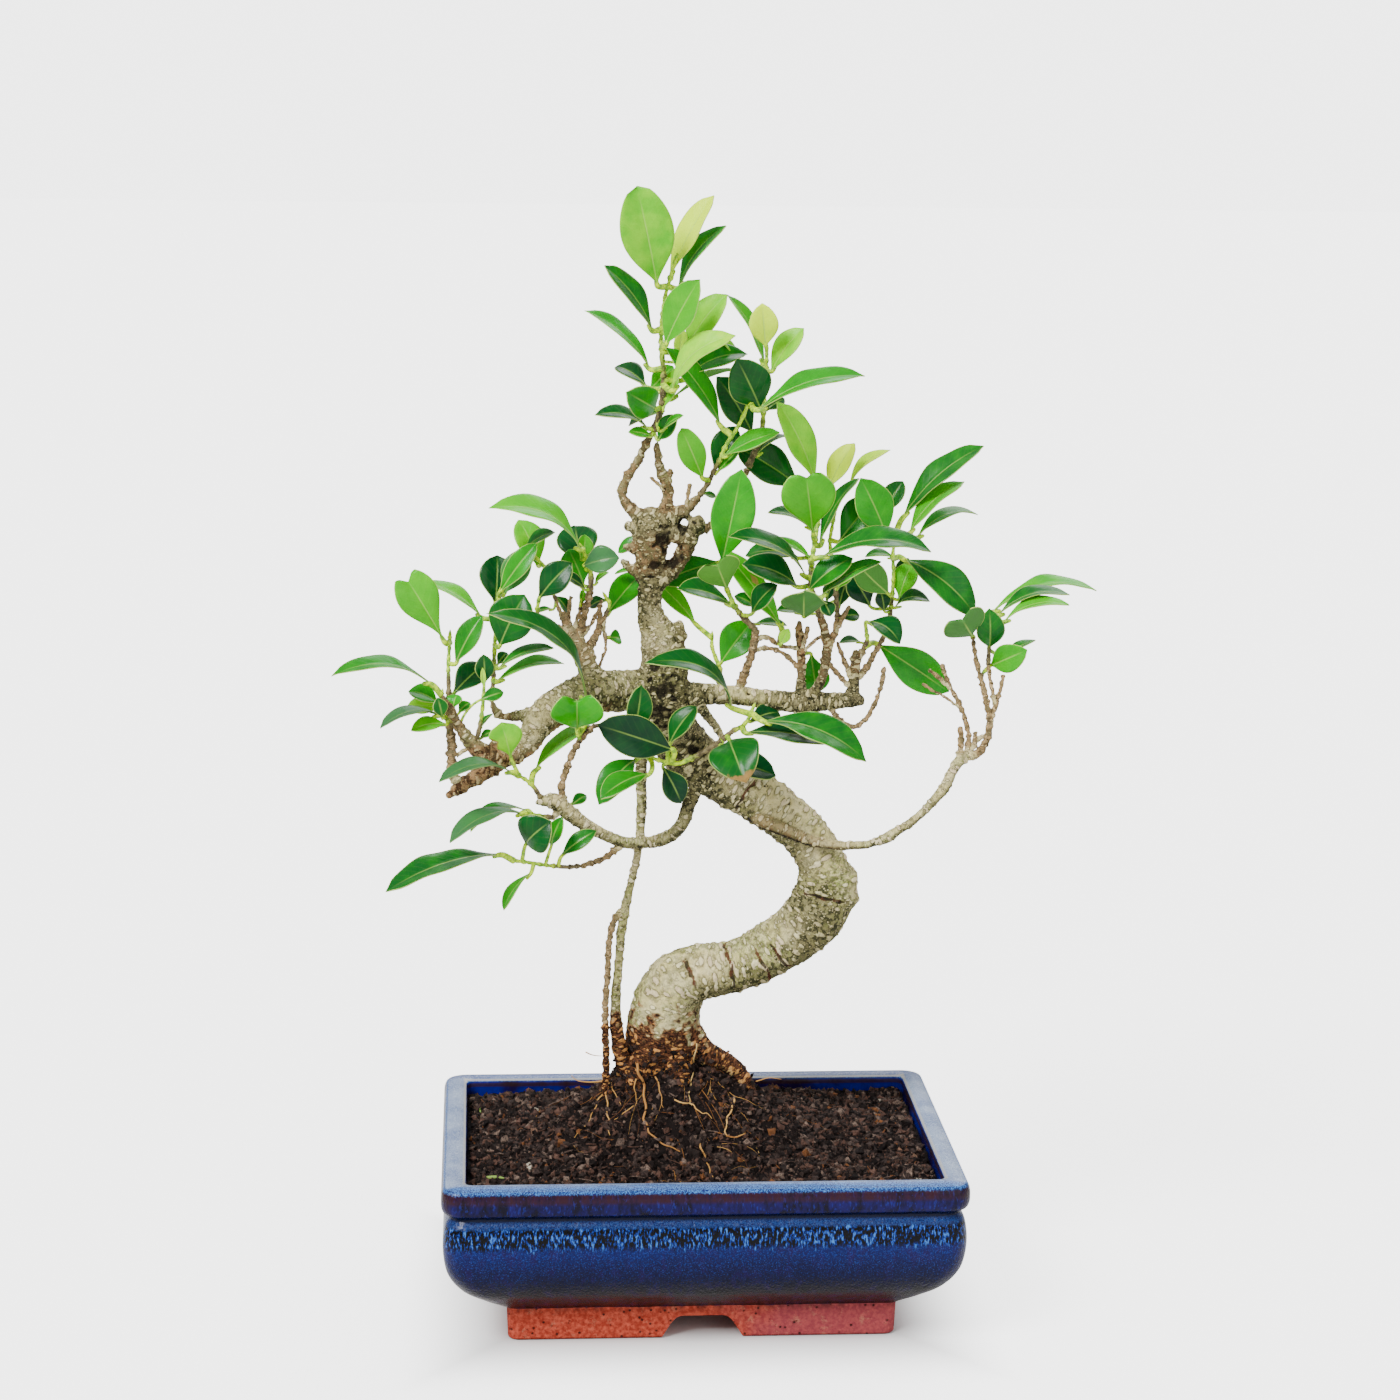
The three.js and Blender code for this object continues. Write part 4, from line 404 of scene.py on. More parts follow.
        (-51.5, 357, -45, 363, -3, -1, 5, 60, 1, 0.6)]),
    "left_inner_shoot": ([(-70, 349), (-72, 355), (-73.5, 361), (-76, 366), (-80, 370), (-84, 372)], (3, 4),
        (1, 0.7), [
        (-78.5, 366, -88, 388, 8, 12, 15, 20, 3, 0.7), (-85, 373, -70.5, 382, 0, -4, 13, 70, 2, 0.3),
        (-71.5, 345, -80, 343, 2, 4, 5, 60, 1, 0.3), (-70.5, 351.5, -64, 343, 5, 8, 7, 45, 1, 0.25)]),
    "left_front_shoot": ([(-78.7, 340.8), (-79, 345), (-78.3, 349)], (-4, -7), (1.1, 0.8), [
        (-78, 350.5, -62.5, 367.5, -8, -14, 15, 15, 3, 0.12),
        (-79, 340, -72, 336, -6, -8, 5, 40, 1, 0.45)]),
    "left_short_leaf": ([(-58.4, 345.5), (-58.3, 347)], (0, 0), (0.9, 0.8), [
        (-58.3, 347, -57.5, 354.5, 1, 2, 4, 30, 1, 0.6)]),
    "left_back_shoot": ([(-46.5, 341.3), (-45.3, 344.5), (-44.5, 348), (-46, 350.5)], (1, 3), (1, 0.8), [
        (-45.5, 342.5, -29, 362, 4, 20, 15, 25, 2, 0.5), (-46, 349.5, -54, 346, 3, 6, 8, 45, 1, 0.2)]),
    "left_small_leaf": ([(-46.4, 330.5), (-45.6, 331)], (1, 2), (0.9, 0.9), [
        (-45, 331, -39, 330.5, 4, 8, 8, 30, 1, 0.38)]),
    "back_upper_leaves": ([(-25, 369), (-26, 372), (-27.5, 376)], (6, 10, 11), (1.2, 1), [
        (-28, 380, -40.5, 372.3, 11, 14, 8, 40, 1, 0.45), (-29, 364, -42, 362, 10, 12, 5, 80, 1, 0.4)]),
    "left_middle_shoot": ([(-100.5, 301), (-100.3, 305), (-99.8, 312), (-99.5, 320), (-99.2, 328),
        (-98.6, 336), (-98, 344), (-97, 352)], (4, 1), (1.2, 0.8), [
        (-97, 327, -85, 352, -5, -12, 22, 10, 3, 0.3), (-96.8, 353, -79, 377, -3, -8, 11, 20, 2, 0.38),
        (-95, 352, -83, 374, 2, 0, 14, 15, 2, 0.5), (-99, 348, -98, 371, 6, 10, 18, 10, 2, 0.12),
        (-97, 316.5, -71, 326, -4, -10, 12, 72, 3, 0.35), (-98, 310, -66, 318.5, -1, -6, 13, 74, 4, 0.5),
        (-98, 318, -93.5, 324, 5, 8, 6, 10, 1, 0.3), (-105, 341, -133, 358, 4, 8, 14, 76, 3, 0.6)]),
    "left_low_shoot": ([(-107.8, 281.5), (-107, 285), (-106.3, 289), (-105.3, 295), (-104.8, 300),
        (-104.5, 305)], (-5, -3), (1.1, 0.8), [
        (-104.2, 309, -104.5, 323, -6, -9, 9.5, 10, 1, 0.15),
        (-104.3, 306, -105, 316.5, -9, -12, 2.6, 0, 0, 0.9),
        (-106.5, 281.8, -99.5, 285, -2, -3, 5, 40, 1, 0.35), (-107, 286, -100, 294, 0, 4, 5, 60, 1, 0.3)]),
    "left_tall_shoot": ([(-121.3, 300.8), (-121.2, 306), (-121.3, 312), (-121.4, 318), (-121, 324),
        (-120.6, 331.5)], (0, 0), (1.3, 0.5), [
        (-123, 329, -143, 363, -6, -14, 20, 5, 3, 0.68), (-118, 318.5, -105, 342, -3, -6, 12, 25, 2, 0.4),
        (-119, 304, -104, 318, 6, 12, 14, 20, 2, 0.15)]),
    "far_left_shoot": ([(-115, 285.5), (-121, 290), (-124, 294), (-125, 299), (-124.5, 303)],
        (-5, -3, -3, -3, -4), (1.3, 0.8), [
        (-130, 309, -177, 312.5, -5, -10, 14, 78, 8, 0.45), (-126, 299, -140.5, 305, 1, 6, 12, 45, 2, 0.45),
        (-126, 296.5, -141, 298, 5, 10, 9, 20, 2, 0.8), (-126, 293.5, -154, 287, -6, -12, 11, 72, 5, 0.3),
        (-122.5, 289, -139.3, 286, -6, -8, 9, 40, 2, 0.7),
        (-124.5, 292.5, -126.5, 302, -13, -15, 7.5, 10, 1, 0.2),
        (-119, 297, -117, 303.5, -5, -4, 9, 30, 1, 0.5),
        (-116.5, 294.5, -111, 299.5, -4, -3, 6, 30, 1, 0.3),
        (-106, 301, -95, 304.5, -7, -9, 7, 20, 1, 0.3)]),
    "left_under_shoot": ([(-77.3, 253), (-80.5, 258), (-84, 261.3), (-87.5, 263.5)], (-10, -13),
        (1.2, 0.8), [
        (-91, 265.5, -126, 260.5, -15, -22, 13, 72, 6, 0.35),
        (-91.3, 272, -96, 290, -16, -24, 16.5, 0, 2, 0.72), (-80, 266, -50, 288, -6, 4, 14, 60, 4, 0.7)]),
    "left_riser_bud": ([(-52, 287.8), (-48, 288.3), (-45, 287.8)], (-17.3, -17.6, -17.8), (1.1, 0.4), []),
    "left_arching_shoot": ([(-58.5, 280.5), (-58.6, 282), (-59, 284)], (-16, -17.5, -19), (1.2, 1), [
        (-59.5, 286.5, -60, 307, -20, -37, 25, 0, 4, 0.5),
        (-55.5, 300.5, -103, 343, -14, -30, 18, 74, 14, 0.3)]),
    "lower_left_shoot": ([(-58, 218.5), (-63, 218), (-70, 218.5), (-76, 219.2), (-82, 220.2), (-90, 221.3)],
        (-10, -14), (1.1, 0.8), [
        (-84, 230, -72, 241, -14, -30, 20, 10, 4, 0.18), (-72, 228.5, -66.5, 243, -14, -20, 8, 20, 2, 0.3),
        (-67, 223.5, -50, 236, -13, -19, 9, 25, 2, 0.3), (-97, 224.5, -152, 206, -16, -28, 17, 55, 5, 0.25),
        (-82, 215, -95, 196.5, -12, -18, 9, 60, 2, 0.5)]),
    "lower_left_upper_shoot": ([(-71, 242.7), (-78, 243.6), (-84, 244.8)], (-11, -14), (1.2, 0.9), [
        (-86, 245, -121, 230.5, -15, -23, 14, 60, 6, 0.3),
        (-84, 246.5, -111, 236, -8, -5, 12, 70, 6, 0.4)]),
    "lower_left_small_leaf": ([(-64, 245.5), (-63, 248)], (-6.5, -4), (1.1, 0.9), [
        (-62.5, 248.5, -55, 253.7, -3, -1, 6, 20, 1, 0.3)]),
}


def pot_middle():
    """The drawing's origin in the frame: under the middle of the pot, on the surface it stands on."""
    return np.array(((POT_LOW[0] + POT_HIGH[0]) / 2, (POT_LOW[1] + POT_HIGH[1]) / 2, POT_LOW[2]))


def to_frame(places):
    """Millimetres from the drawing's origin, as metres in the frame."""
    return np.asarray(places, float) * MM + pot_middle()


def unit(vectors):
    """The vectors at length one."""
    lengths = np.linalg.norm(vectors, axis=-1, keepdims=True)
    return vectors / np.maximum(lengths, 1e-9)


def held(value):
    """The value, held between 0 and 1."""
    return np.clip(value, 0, 1)


def bell(value):
    """A bell-shaped curve: 1 at zero, fading on both sides."""
    return np.exp(-(value ** 2))


def beyond(distance):
    """How far beyond an edge, eased in."""
    past = np.maximum(distance, 0)
    return past ** 2 / (past + CROWN_EASE)


def crown_depth(x, z):
    """How far the crown spreads back from the plane it is drawn on."""
    height = held((z - CROWN_LOW) / (CROWN_HIGH - CROWN_LOW))
    left_edge, left_low, left_high = CROWN_LEFT
    right_edge, right_low, right_high = CROWN_RIGHT
    left = (left_low + (left_high - left_low) * height) * beyond(left_edge - x)
    right = (right_low + (right_high - right_low) * height) * beyond(x - right_edge)
    return -left - right - CROWN_TOP_SLOPE * beyond(z - CROWN_HIGH)


def see(x, z, depth):
    """Places drawn on the front view, slid along the line of sight to their depth."""
    x, z, depth = (np.asarray(value, float) for value in (x, z, depth))
    flat = np.stack([x, 0 * x, z], -1)
    reach = (depth + crown_depth(x, z) - EYE[1]) / -EYE[1]
    return EYE + (flat - EYE) * reach[..., None]


def seen_path(rows):
    """The places and radii of a limb's rows."""
    x, z, depth, radius = np.array(rows, float).T
    return see(x, z, depth), radius


def way_along(places):
    """How far along a path each of its places is."""
    return np.concatenate([[0], np.cumsum(np.linalg.norm(np.diff(places, axis=0), axis=1))])


def places_at(even, distance, places):
    """The places of a path at these distances."""
    return np.stack([np.interp(even, distance, places[:, axis]) for axis in range(3)], -1)


def smooth_path(points, radii, spacing):
    """Evenly spaced places on a smooth curve through the points, with their radii and distances."""
    step = np.linalg.norm(np.diff(points, axis=0), axis=1)
    slope = np.diff(points, axis=0) / step[:, None]
    tangent = np.empty_like(points)
    tangent[0], tangent[-1] = slope[0], slope[-1]
    before, after = step[:-1, None], step[1:, None]
    tangent[1:-1] = (slope[:-1] * after + slope[1:] * before) / (before + after)
    share = np.linspace(0, 1, CURVE_STEPS + 1)[:-1, None]
    at_start, at_end = 2 * share ** 3 - 3 * share ** 2 + 1, 3 * share ** 2 - 2 * share ** 3
    leaving, arriving = share ** 3 - 2 * share ** 2 + share, share ** 3 - share ** 2
    curve = np.vstack([
        at_start * start + leaving * length * lead + at_end * end + arriving * length * follow
        for start, end, length, lead, follow in zip(points, points[1:], step, tangent, tangent[1:])
    ] + [points[-1:]])
    width = np.interp(np.arange(len(curve)) / CURVE_STEPS, np.arange(len(points)), radii)
    distance = way_along(curve)
    even = np.linspace(0, distance[-1], max(int(round(distance[-1] / spacing)), 2) + 1)
    return places_at(even, distance, curve), np.interp(even, distance, width), even


def turning_axes(places):
    """The direction along a path and two directions across it that turn as little as they can."""
    along = unit(np.gradient(places, axis=0))
    across = np.empty_like(along)
    last = np.array((0.31, 0.9, 0.27))
    for count, heading in enumerate(along):
        last = unit(last - heading * (last @ heading))
        across[count] = last
    return along, across, np.cross(along, across)


def add_object(name, data):
    """Puts an object with this data in the scene."""
    made = bpy.data.objects.new(name, data)
    bpy.context.scene.collection.objects.link(made)
    return made


class Shape:
    """Corners, faces and values gathered for one piece."""

    def __init__(self):
        self.corners, self.faces, self.slots, self.flat, self.values = [], [], [], [], {}
        self.count = 0

    def add(self, corners, faces, slot=0, flat=False, **values):
        """Adds a part. A value is a number or a row of three, for all its corners or for each in an array."""
        self.corners.append(corners)
        self.faces += [tuple(int(corner) + self.count for corner in face) for face in faces]
        self.slots += [slot] * len(faces)
        self.flat += list(flat) if np.ndim(flat) else [flat] * len(faces)
        for name, value in values.items():
            if not isinstance(value, np.ndarray):
                value = np.full((len(corners), *np.shape(value)), value, float)
            self.values.setdefault(name, []).append(value)
        self.count += len(corners)

    def add_tube(self, points, radii, sides, spacing, rounded=False, **values):
        """Adds a tube along the points, with the same values all over."""
        corners, faces, _ = tube_rings(points, radii, sides, spacing, rounded=rounded)
        self.add(corners, faces, **values)

    def piece(self, name, materials, slot, replaced):
        """Makes the piece, which rides with the pot and stands for the solids named."""
        mesh = bpy.data.meshes.new(name)
        mesh.from_pydata(to_frame(np.concatenate(self.corners)).tolist(), [], self.faces)
        write_values(mesh, **{key: np.concatenate(parts) for key, parts in self.values.items()})
        mesh.polygons.foreach_set("use_smooth", np.logical_not(self.flat))
        mesh.polygons.foreach_set("material_index", self.slots)
        for material in materials:
            mesh.materials.append(material)
        mesh.update()
        made = add_object(name, mesh)
        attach(made, "root")
        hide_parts(*replaced)
        return made


def ring_faces(rings, sides):
    """Faces between rings of corners, and a fan on each end whose tips follow the rings."""
    ring, side = np.meshgrid(np.arange(rings - 1), np.arange(sides), indexing="ij")
    first, after = ((ring * sides + turned).ravel() for turned in (side, (side + 1) % sides))
    faces = np.stack([first, after, after + sides, first + sides], -1).tolist()
    last = (rings - 1) * sides
    for count in range(sides):
        beside = (count + 1) % sides
        faces += [(rings * sides, beside, count), (rings * sides + 1, last + count, last + beside)]
    return faces


def tube_rings(points, radii, sides, spacing, lumps=None, rounded=False):
    """Corners and faces of a tube, and each corner's place on the unrolled bark."""
    places, radius, distance = smooth_path(points, radii, spacing)
    along, across, upright = turning_axes(places)
    if rounded:
        turn = np.array((0.5, 0.85, 0.99))
        end = radius[-1]
        places = np.vstack([places, places[-1] + along[-1] * end * turn[:, None]])
        radius = np.append(radius, end * np.sqrt(1 - turn ** 2))
        distance = np.append(distance, distance[-1] + end * turn)
        across, upright = (np.vstack([axis, np.repeat(axis[-1:], 3, 0)]) for axis in (across, upright))
    if lumps is not None:
        radius = radius * lumps(distance)
    angle = np.arange(sides) * 2 * math.pi / sides
    cosine, sine = np.cos(angle)[:, None], np.sin(angle)[:, None]
    corners = places[:, None] + radius[:, None, None] * (cosine * across[:, None] + sine * upright[:, None])
    unrolled = np.empty_like(corners)
    unrolled[..., :1] = radius[:, None, None] * cosine
    unrolled[..., 1:2] = radius[:, None, None] * sine
    unrolled[..., 2] = distance[:, None]
    corners = np.vstack([corners.reshape(-1, 3), places[0], places[-1]])
    ends = np.array([(0, 0, distance[0]), (0, 0, distance[-1])])
    return corners, ring_faces(len(places), sides), np.vstack([unrolled.reshape(-1, 3), ends])


def bevel_shading(mesh):
    """Smooth shading, except across edges that turn sharply."""
    mesh.shade_smooth()
    mesh.set_sharp_from_angle(angle=SHARP_EDGE)


def modify(made, kind, **settings):
    """Adds a modifier with its settings."""
    change = made.modifiers.new(kind, kind)
    for name, value in settings.items():
        setattr(change, name, value)


def fresh_mesh(made):
    """Leaves a piece with the mesh that its modifiers make, and with no modifiers."""
    graph = bpy.context.evaluated_depsgraph_get()
    mesh = bpy.data.meshes.new_from_object(made.evaluated_get(graph))
    old = made.data
    made.modifiers.clear()
    made.data = mesh
    mesh.name = made.name
    bpy.data.meshes.remove(old)


def corner_rows(mesh, field):
    """What the mesh's corners hold, as rows of three."""
    rows = np.empty(len(mesh.vertices) * 3)
    mesh.vertices.foreach_get(field, rows)
    return rows.reshape(-1, 3)


def corner_places(mesh):
    """The mesh's corners as rows of millimetres from the drawing's origin."""
    return (corner_rows(mesh, "co") - pot_middle()) / MM


def roughness_at(places, size, seed):
    """Smooth random height from -1 to 1 at each place, with lumps of this size."""
    return np.array([noise.noise(Vector(place) / size + Vector((seed, -seed, 2 * seed))) for place in places])


def jittered(places, size, reach):
    """The places, each moved a little in a smooth random way."""
    return places + np.stack([roughness_at(places, size, seed) for seed in (1, 2, 3)], -1) * reach


def write_values(mesh, **values):
    """Stores values on a mesh's corners."""
    for name, value in values.items():
        value = np.asarray(value, np.float32)
        kind, field = ("FLOAT_VECTOR", "vector") if value.ndim == 2 else ("FLOAT", "value")
        layer = mesh.attributes.get(name) or mesh.attributes.new(name, kind, "POINT")
        layer.data.foreach_set(field, value.ravel())


# Materials


def adds_maths(operation, turned=False):
    """A method of Value that adds a Math node, with the other value first where it is turned."""
    def method(value, *others):
        values = (*others, value) if turned else (value, *others)
        return value.finish.node("ShaderNodeMath", {"operation": operation}, dict(enumerate(values)))[0]
    return method


class Value:
    """An output of a material's node. Sums on it add Math nodes."""

    def __init__(self, finish, output):
        self.finish, self.output = finish, output

    __add__, __radd__ = adds_maths("ADD"), adds_maths("ADD", True)
    __sub__, __rsub__ = adds_maths("SUBTRACT"), adds_maths("SUBTRACT", True)
    __mul__, __rmul__ = adds_maths("MULTIPLY"), adds_maths("MULTIPLY", True)
    __abs__, wave = adds_maths("ABSOLUTE"), adds_maths("SINE")
    least, most = adds_maths("MINIMUM"), adds_maths("MAXIMUM")

    def share(self, low, high, to_low=0.0, to_high=1.0):
        """Where the value lies between low and high, eased and held to the ends."""
        settings = {"interpolation_type": "SMOOTHSTEP", "clamp": True}
        inputs = {"Value": self, "From Min": low, "From Max": high, "To Min": to_low, "To Max": to_high}
        return self.finish.node("ShaderNodeMapRange", settings, inputs)["Result"]


class Made:
    """A node that was made. Its outputs are read by name or number."""

    def __init__(self, finish, node):
        self.finish, self.node = finish, node

    def __getitem__(self, key):
        return Value(self.finish, self.node.outputs[key])


class Nodes:
    """A tree of nodes. Colours are six hexadecimal digits or four numbers."""

    def __init__(self, tree):
        self.tree = tree

    def node(self, kind, settings=None, inputs=None):
        """Adds a node with its settings, then the values or links of its sockets."""
        made = self.tree.nodes.new(kind)
        for name, value in (settings or {}).items():
            if name == "stops":
                elements = made.color_ramp.elements
                while len(elements) < len(value):
                    elements.new(0.5)
                for element, (place, colour) in zip(elements, value):
                    element.position, element.color = place, tint(colour)
            else:
                setattr(made, name, value)
        for key, value in (inputs or {}).items():
            if isinstance(value, Value):
                self.tree.links.new(value.output, made.inputs[key])
            else:
                made.inputs[key].default_value = tint(value)
        return Made(self, made)

    def parts(self, vector):
        made = self.node("ShaderNodeSeparateXYZ", None, {0: vector})
        return made["X"], made["Y"], made["Z"]

    def stored(self, name, kind="Vector"):
        """What is stored on the corners: a row of three, or a number where the kind is Fac."""
        return self.node("ShaderNodeAttribute", {"attribute_type": "GEOMETRY", "attribute_name": name})[kind]

    def vector(self, operation, inputs):
        return self.node("ShaderNodeVectorMath", {"operation": operation}, inputs)["Vector"]

    def here(self):
        """Millimetres from the drawing's origin."""
        place = self.node("ShaderNodeTexCoord")["Object"]
        moved = self.vector("ADD", {0: place, 1: tuple(-float(value) for value in pot_middle())})
        return self.vector("SCALE", {0: moved, "Scale": 1 / MM})

    def stretched(self, vector, scale):
        return self.vector("MULTIPLY", {0: vector, 1: scale})

    def cloud(self, vector, scale, detail=3.0, rough=0.5):
        inputs = {"Vector": vector, "Scale": scale, "Detail": detail, "Roughness": rough}
        return self.node("ShaderNodeTexNoise", None, inputs)["Fac"]

    def cells(self, vector, scale):
        return self.node("ShaderNodeTexVoronoi", None, {"Vector": vector, "Scale": scale})["Distance"]

    def ramp(self, value, stops):
        return self.node("ShaderNodeValToRGB", {"stops": stops}, {0: value})["Color"]

    def mix(self, share, first, second):
        """A colour between two colours."""
        settings = {"data_type": "RGBA", "clamp_factor": True}
        return self.node("ShaderNodeMix", settings, {0: share, 6: first, 7: second})[2]

    def layers(self, colour, *rows):
        """A colour with others laid over it in turn, each as far as its share says."""
        for share, over in rows:
            colour = self.mix(share, colour, over)
        return colour

    def bump(self, height, depth, before=None):
        """A surface raised by this height, in metres, on top of one made before."""
        inputs = {"Height": height, "Distance": depth, "Strength": 1.0}
        if before is not None:
            inputs["Normal"] = before
        return self.node("ShaderNodeBump", None, inputs)["Normal"]


class Finish(Nodes):
    """A material and its tree of nodes."""

    def __init__(self, name, **even):
        self.material = bpy.data.materials.new(name)
        self.material.use_nodes = True
        super().__init__(self.material.node_tree)
        self.surface = self.tree.nodes["Principled BSDF"]
        for socket, value in even.items():
            self.surface.inputs[socket.replace("_", " ").title().replace("Ior", "IOR")].default_value = value

    def set(self, **links):
        """Feeds sockets of the surface shader."""
        for socket, value in links.items():
            target = self.surface.inputs[socket.replace("_", " ").title()]
            self.tree.links.new(value.output, target)
        return self.material


def tint(code):
    """Turns six hexadecimal digits into a colour in the renderer's linear terms, and leaves all else."""
    if not isinstance(code, str):
        return code
    parts = [int(code[count:count + 2], 16) / 255 for count in (0, 2, 4)]
    linear = [part / 12.92 if part <= 0.04045 else ((part + 0.055) / 1.055) ** 2.4 for part in parts]
    return (*linear, 1.0)


# Pot


def rounded_ring(half_length, half_depth, radius, z):
    """A rounded rectangle at one height, counter-clockwise seen from above."""
    arcs, ring = [], []
    for quarter, signs in enumerate(((1, 1), (-1, 1), (-1, -1), (1, -1))):
        angle = (quarter + np.arange(CORNER_STEPS + 1) / CORNER_STEPS) * math.pi / 2
        middle = np.multiply(signs, (half_length - radius, half_depth - radius))
        arcs.append(middle + radius * np.stack([np.cos(angle), np.sin(angle)], -1))
    for quarter, arc in enumerate(arcs):
        start, end, steps = arc[-1], arcs[(quarter + 1) % 4][0], SIDE_STEPS[quarter % 2]
        ring += [arc, start + (end - start) * np.arange(1, steps)[:, None] / steps]
    ring = np.vstack(ring)
    return np.column_stack([ring, np.full(len(ring), float(z))])


def smooth_profile(profile, steps):
    """A smooth line through rows of numbers, with several steps between them."""
    rows = np.array(profile, float)
    places, _, _ = smooth_path(rows, np.zeros(len(rows)), 0.1)
    distance = way_along(places)
    return places_at(np.linspace(0, distance[-1], steps), distance, places)


def pot_rings():
    """Rings from the soles of the feet up the outside, over the rim and down to the floor."""
    foot = [(0.9, 0), (0.3, 0.4), (0, 1.2), (-0.3, FOOT_HEIGHT / 2), (-0.6, FOOT_HEIGHT)]
    rings = [
        rounded_ring(FOOT_LENGTH / 2 - inset, FOOT_DEPTH / 2 - inset, FOOT_CORNER, z) for inset, z in foot]
    rings.append(rounded_ring(RIM_LENGTH / 2 - 27, RIM_DEPTH / 2 - 25, 9, FOOT_HEIGHT + 1.2))
    outside = [
        (18, 13, 22), (9, 12, 30), (3, 11, 40), (1, 10, 50), (1, 10, 60), (2.2, 10, 66),
        (4, 9, RIM_HEIGHT - 15.6), (3.2, 9, RIM_HEIGHT - 14.2), (1.2, 9, RIM_HEIGHT - 13),
        (0.2, 9, RIM_HEIGHT - 10.5), (0, 9, RIM_HEIGHT - 7.5), (0.3, 9, RIM_HEIGHT - 3.6),
        (1.6, 8.5, RIM_HEIGHT - 0.9), (3.6, 8, RIM_HEIGHT), (RIM_WIDTH - 2.2, 5, RIM_HEIGHT - 0.1),
        (RIM_WIDTH - 0.5, 4.2, RIM_HEIGHT - 1), (RIM_WIDTH, 4, RIM_HEIGHT - 3),
    ]
    inside = [
        (RIM_WIDTH + 0.7, 5, 50), (RIM_WIDTH + 2.4, 6, 39), (RIM_WIDTH + 7, 8, 32),
        (RIM_WIDTH + 16, 10, FLOOR_TOP),
    ]
    profile = np.vstack([smooth_profile(outside, 78), inside])
    rings += [
        rounded_ring(RIM_LENGTH / 2 - inset, RIM_DEPTH / 2 - inset, radius, z)
        for inset, radius, z in profile]
    return rings


def closed_rings(rings):
    """Corners and faces of a closed surface through rings, each end closed at its middle."""
    corners = np.vstack([*rings, rings[0].mean(0), rings[-1].mean(0)])
    return corners, ring_faces(len(rings), len(rings[0]))


def cutter(corners, faces):
    """A closed shape that is only used to cut with."""
    mesh = bpy.data.meshes.new("cutter")
    mesh.from_pydata(to_frame(corners).tolist(), [], faces)
    return add_object("cutter", mesh)


def notch_rings(reach, along_x):
    """Arched gap between two feet, cut right through the pot's underside."""
    foot, top = NOTCH_LENGTH / 2, NOTCH_TOP / 2
    share = np.linspace(0, 1, 9)[:, None]
    start, end = np.array((foot, -1.0)), np.array((top - 3, NOTCH_HEIGHT))
    first, second = np.array((foot - 4, NOTCH_HEIGHT * 0.4)), np.array((top + 2, NOTCH_HEIGHT))
    side = (
        (1 - share) ** 3 * start + 3 * (1 - share) ** 2 * share * first
        + 3 * (1 - share) * share ** 2 * second + share ** 3 * end)
    outline = np.vstack([side, side[::-1] * (-1, 1)])
    flat = np.full(len(outline), reach / 2)
    if along_x:
        return [np.stack([side * flat, outline[:, 0], outline[:, 1]], -1) for side in (-1, 1)]
    return [np.stack([outline[:, 0], side * flat, outline[:, 1]], -1) for side in (1, -1)]


def cut(made, tools):
    """Cuts the tools out of a piece and removes them."""
    for tool in tools:
        modify(made, "BOOLEAN", operation="DIFFERENCE", solver="EXACT", object=tool)
    fresh_mesh(made)
    joined = bmesh.new()
    joined.from_mesh(made.data)
    bmesh.ops.remove_doubles(joined, verts=joined.verts, dist=0.01 * MM)
    bmesh.ops.dissolve_degenerate(joined, edges=joined.edges, dist=0.01 * MM)
    joined.to_mesh(made.data)
    joined.free()
    for tool in tools:
        mesh = tool.data
        bpy.data.objects.remove(tool)
        bpy.data.meshes.remove(mesh)


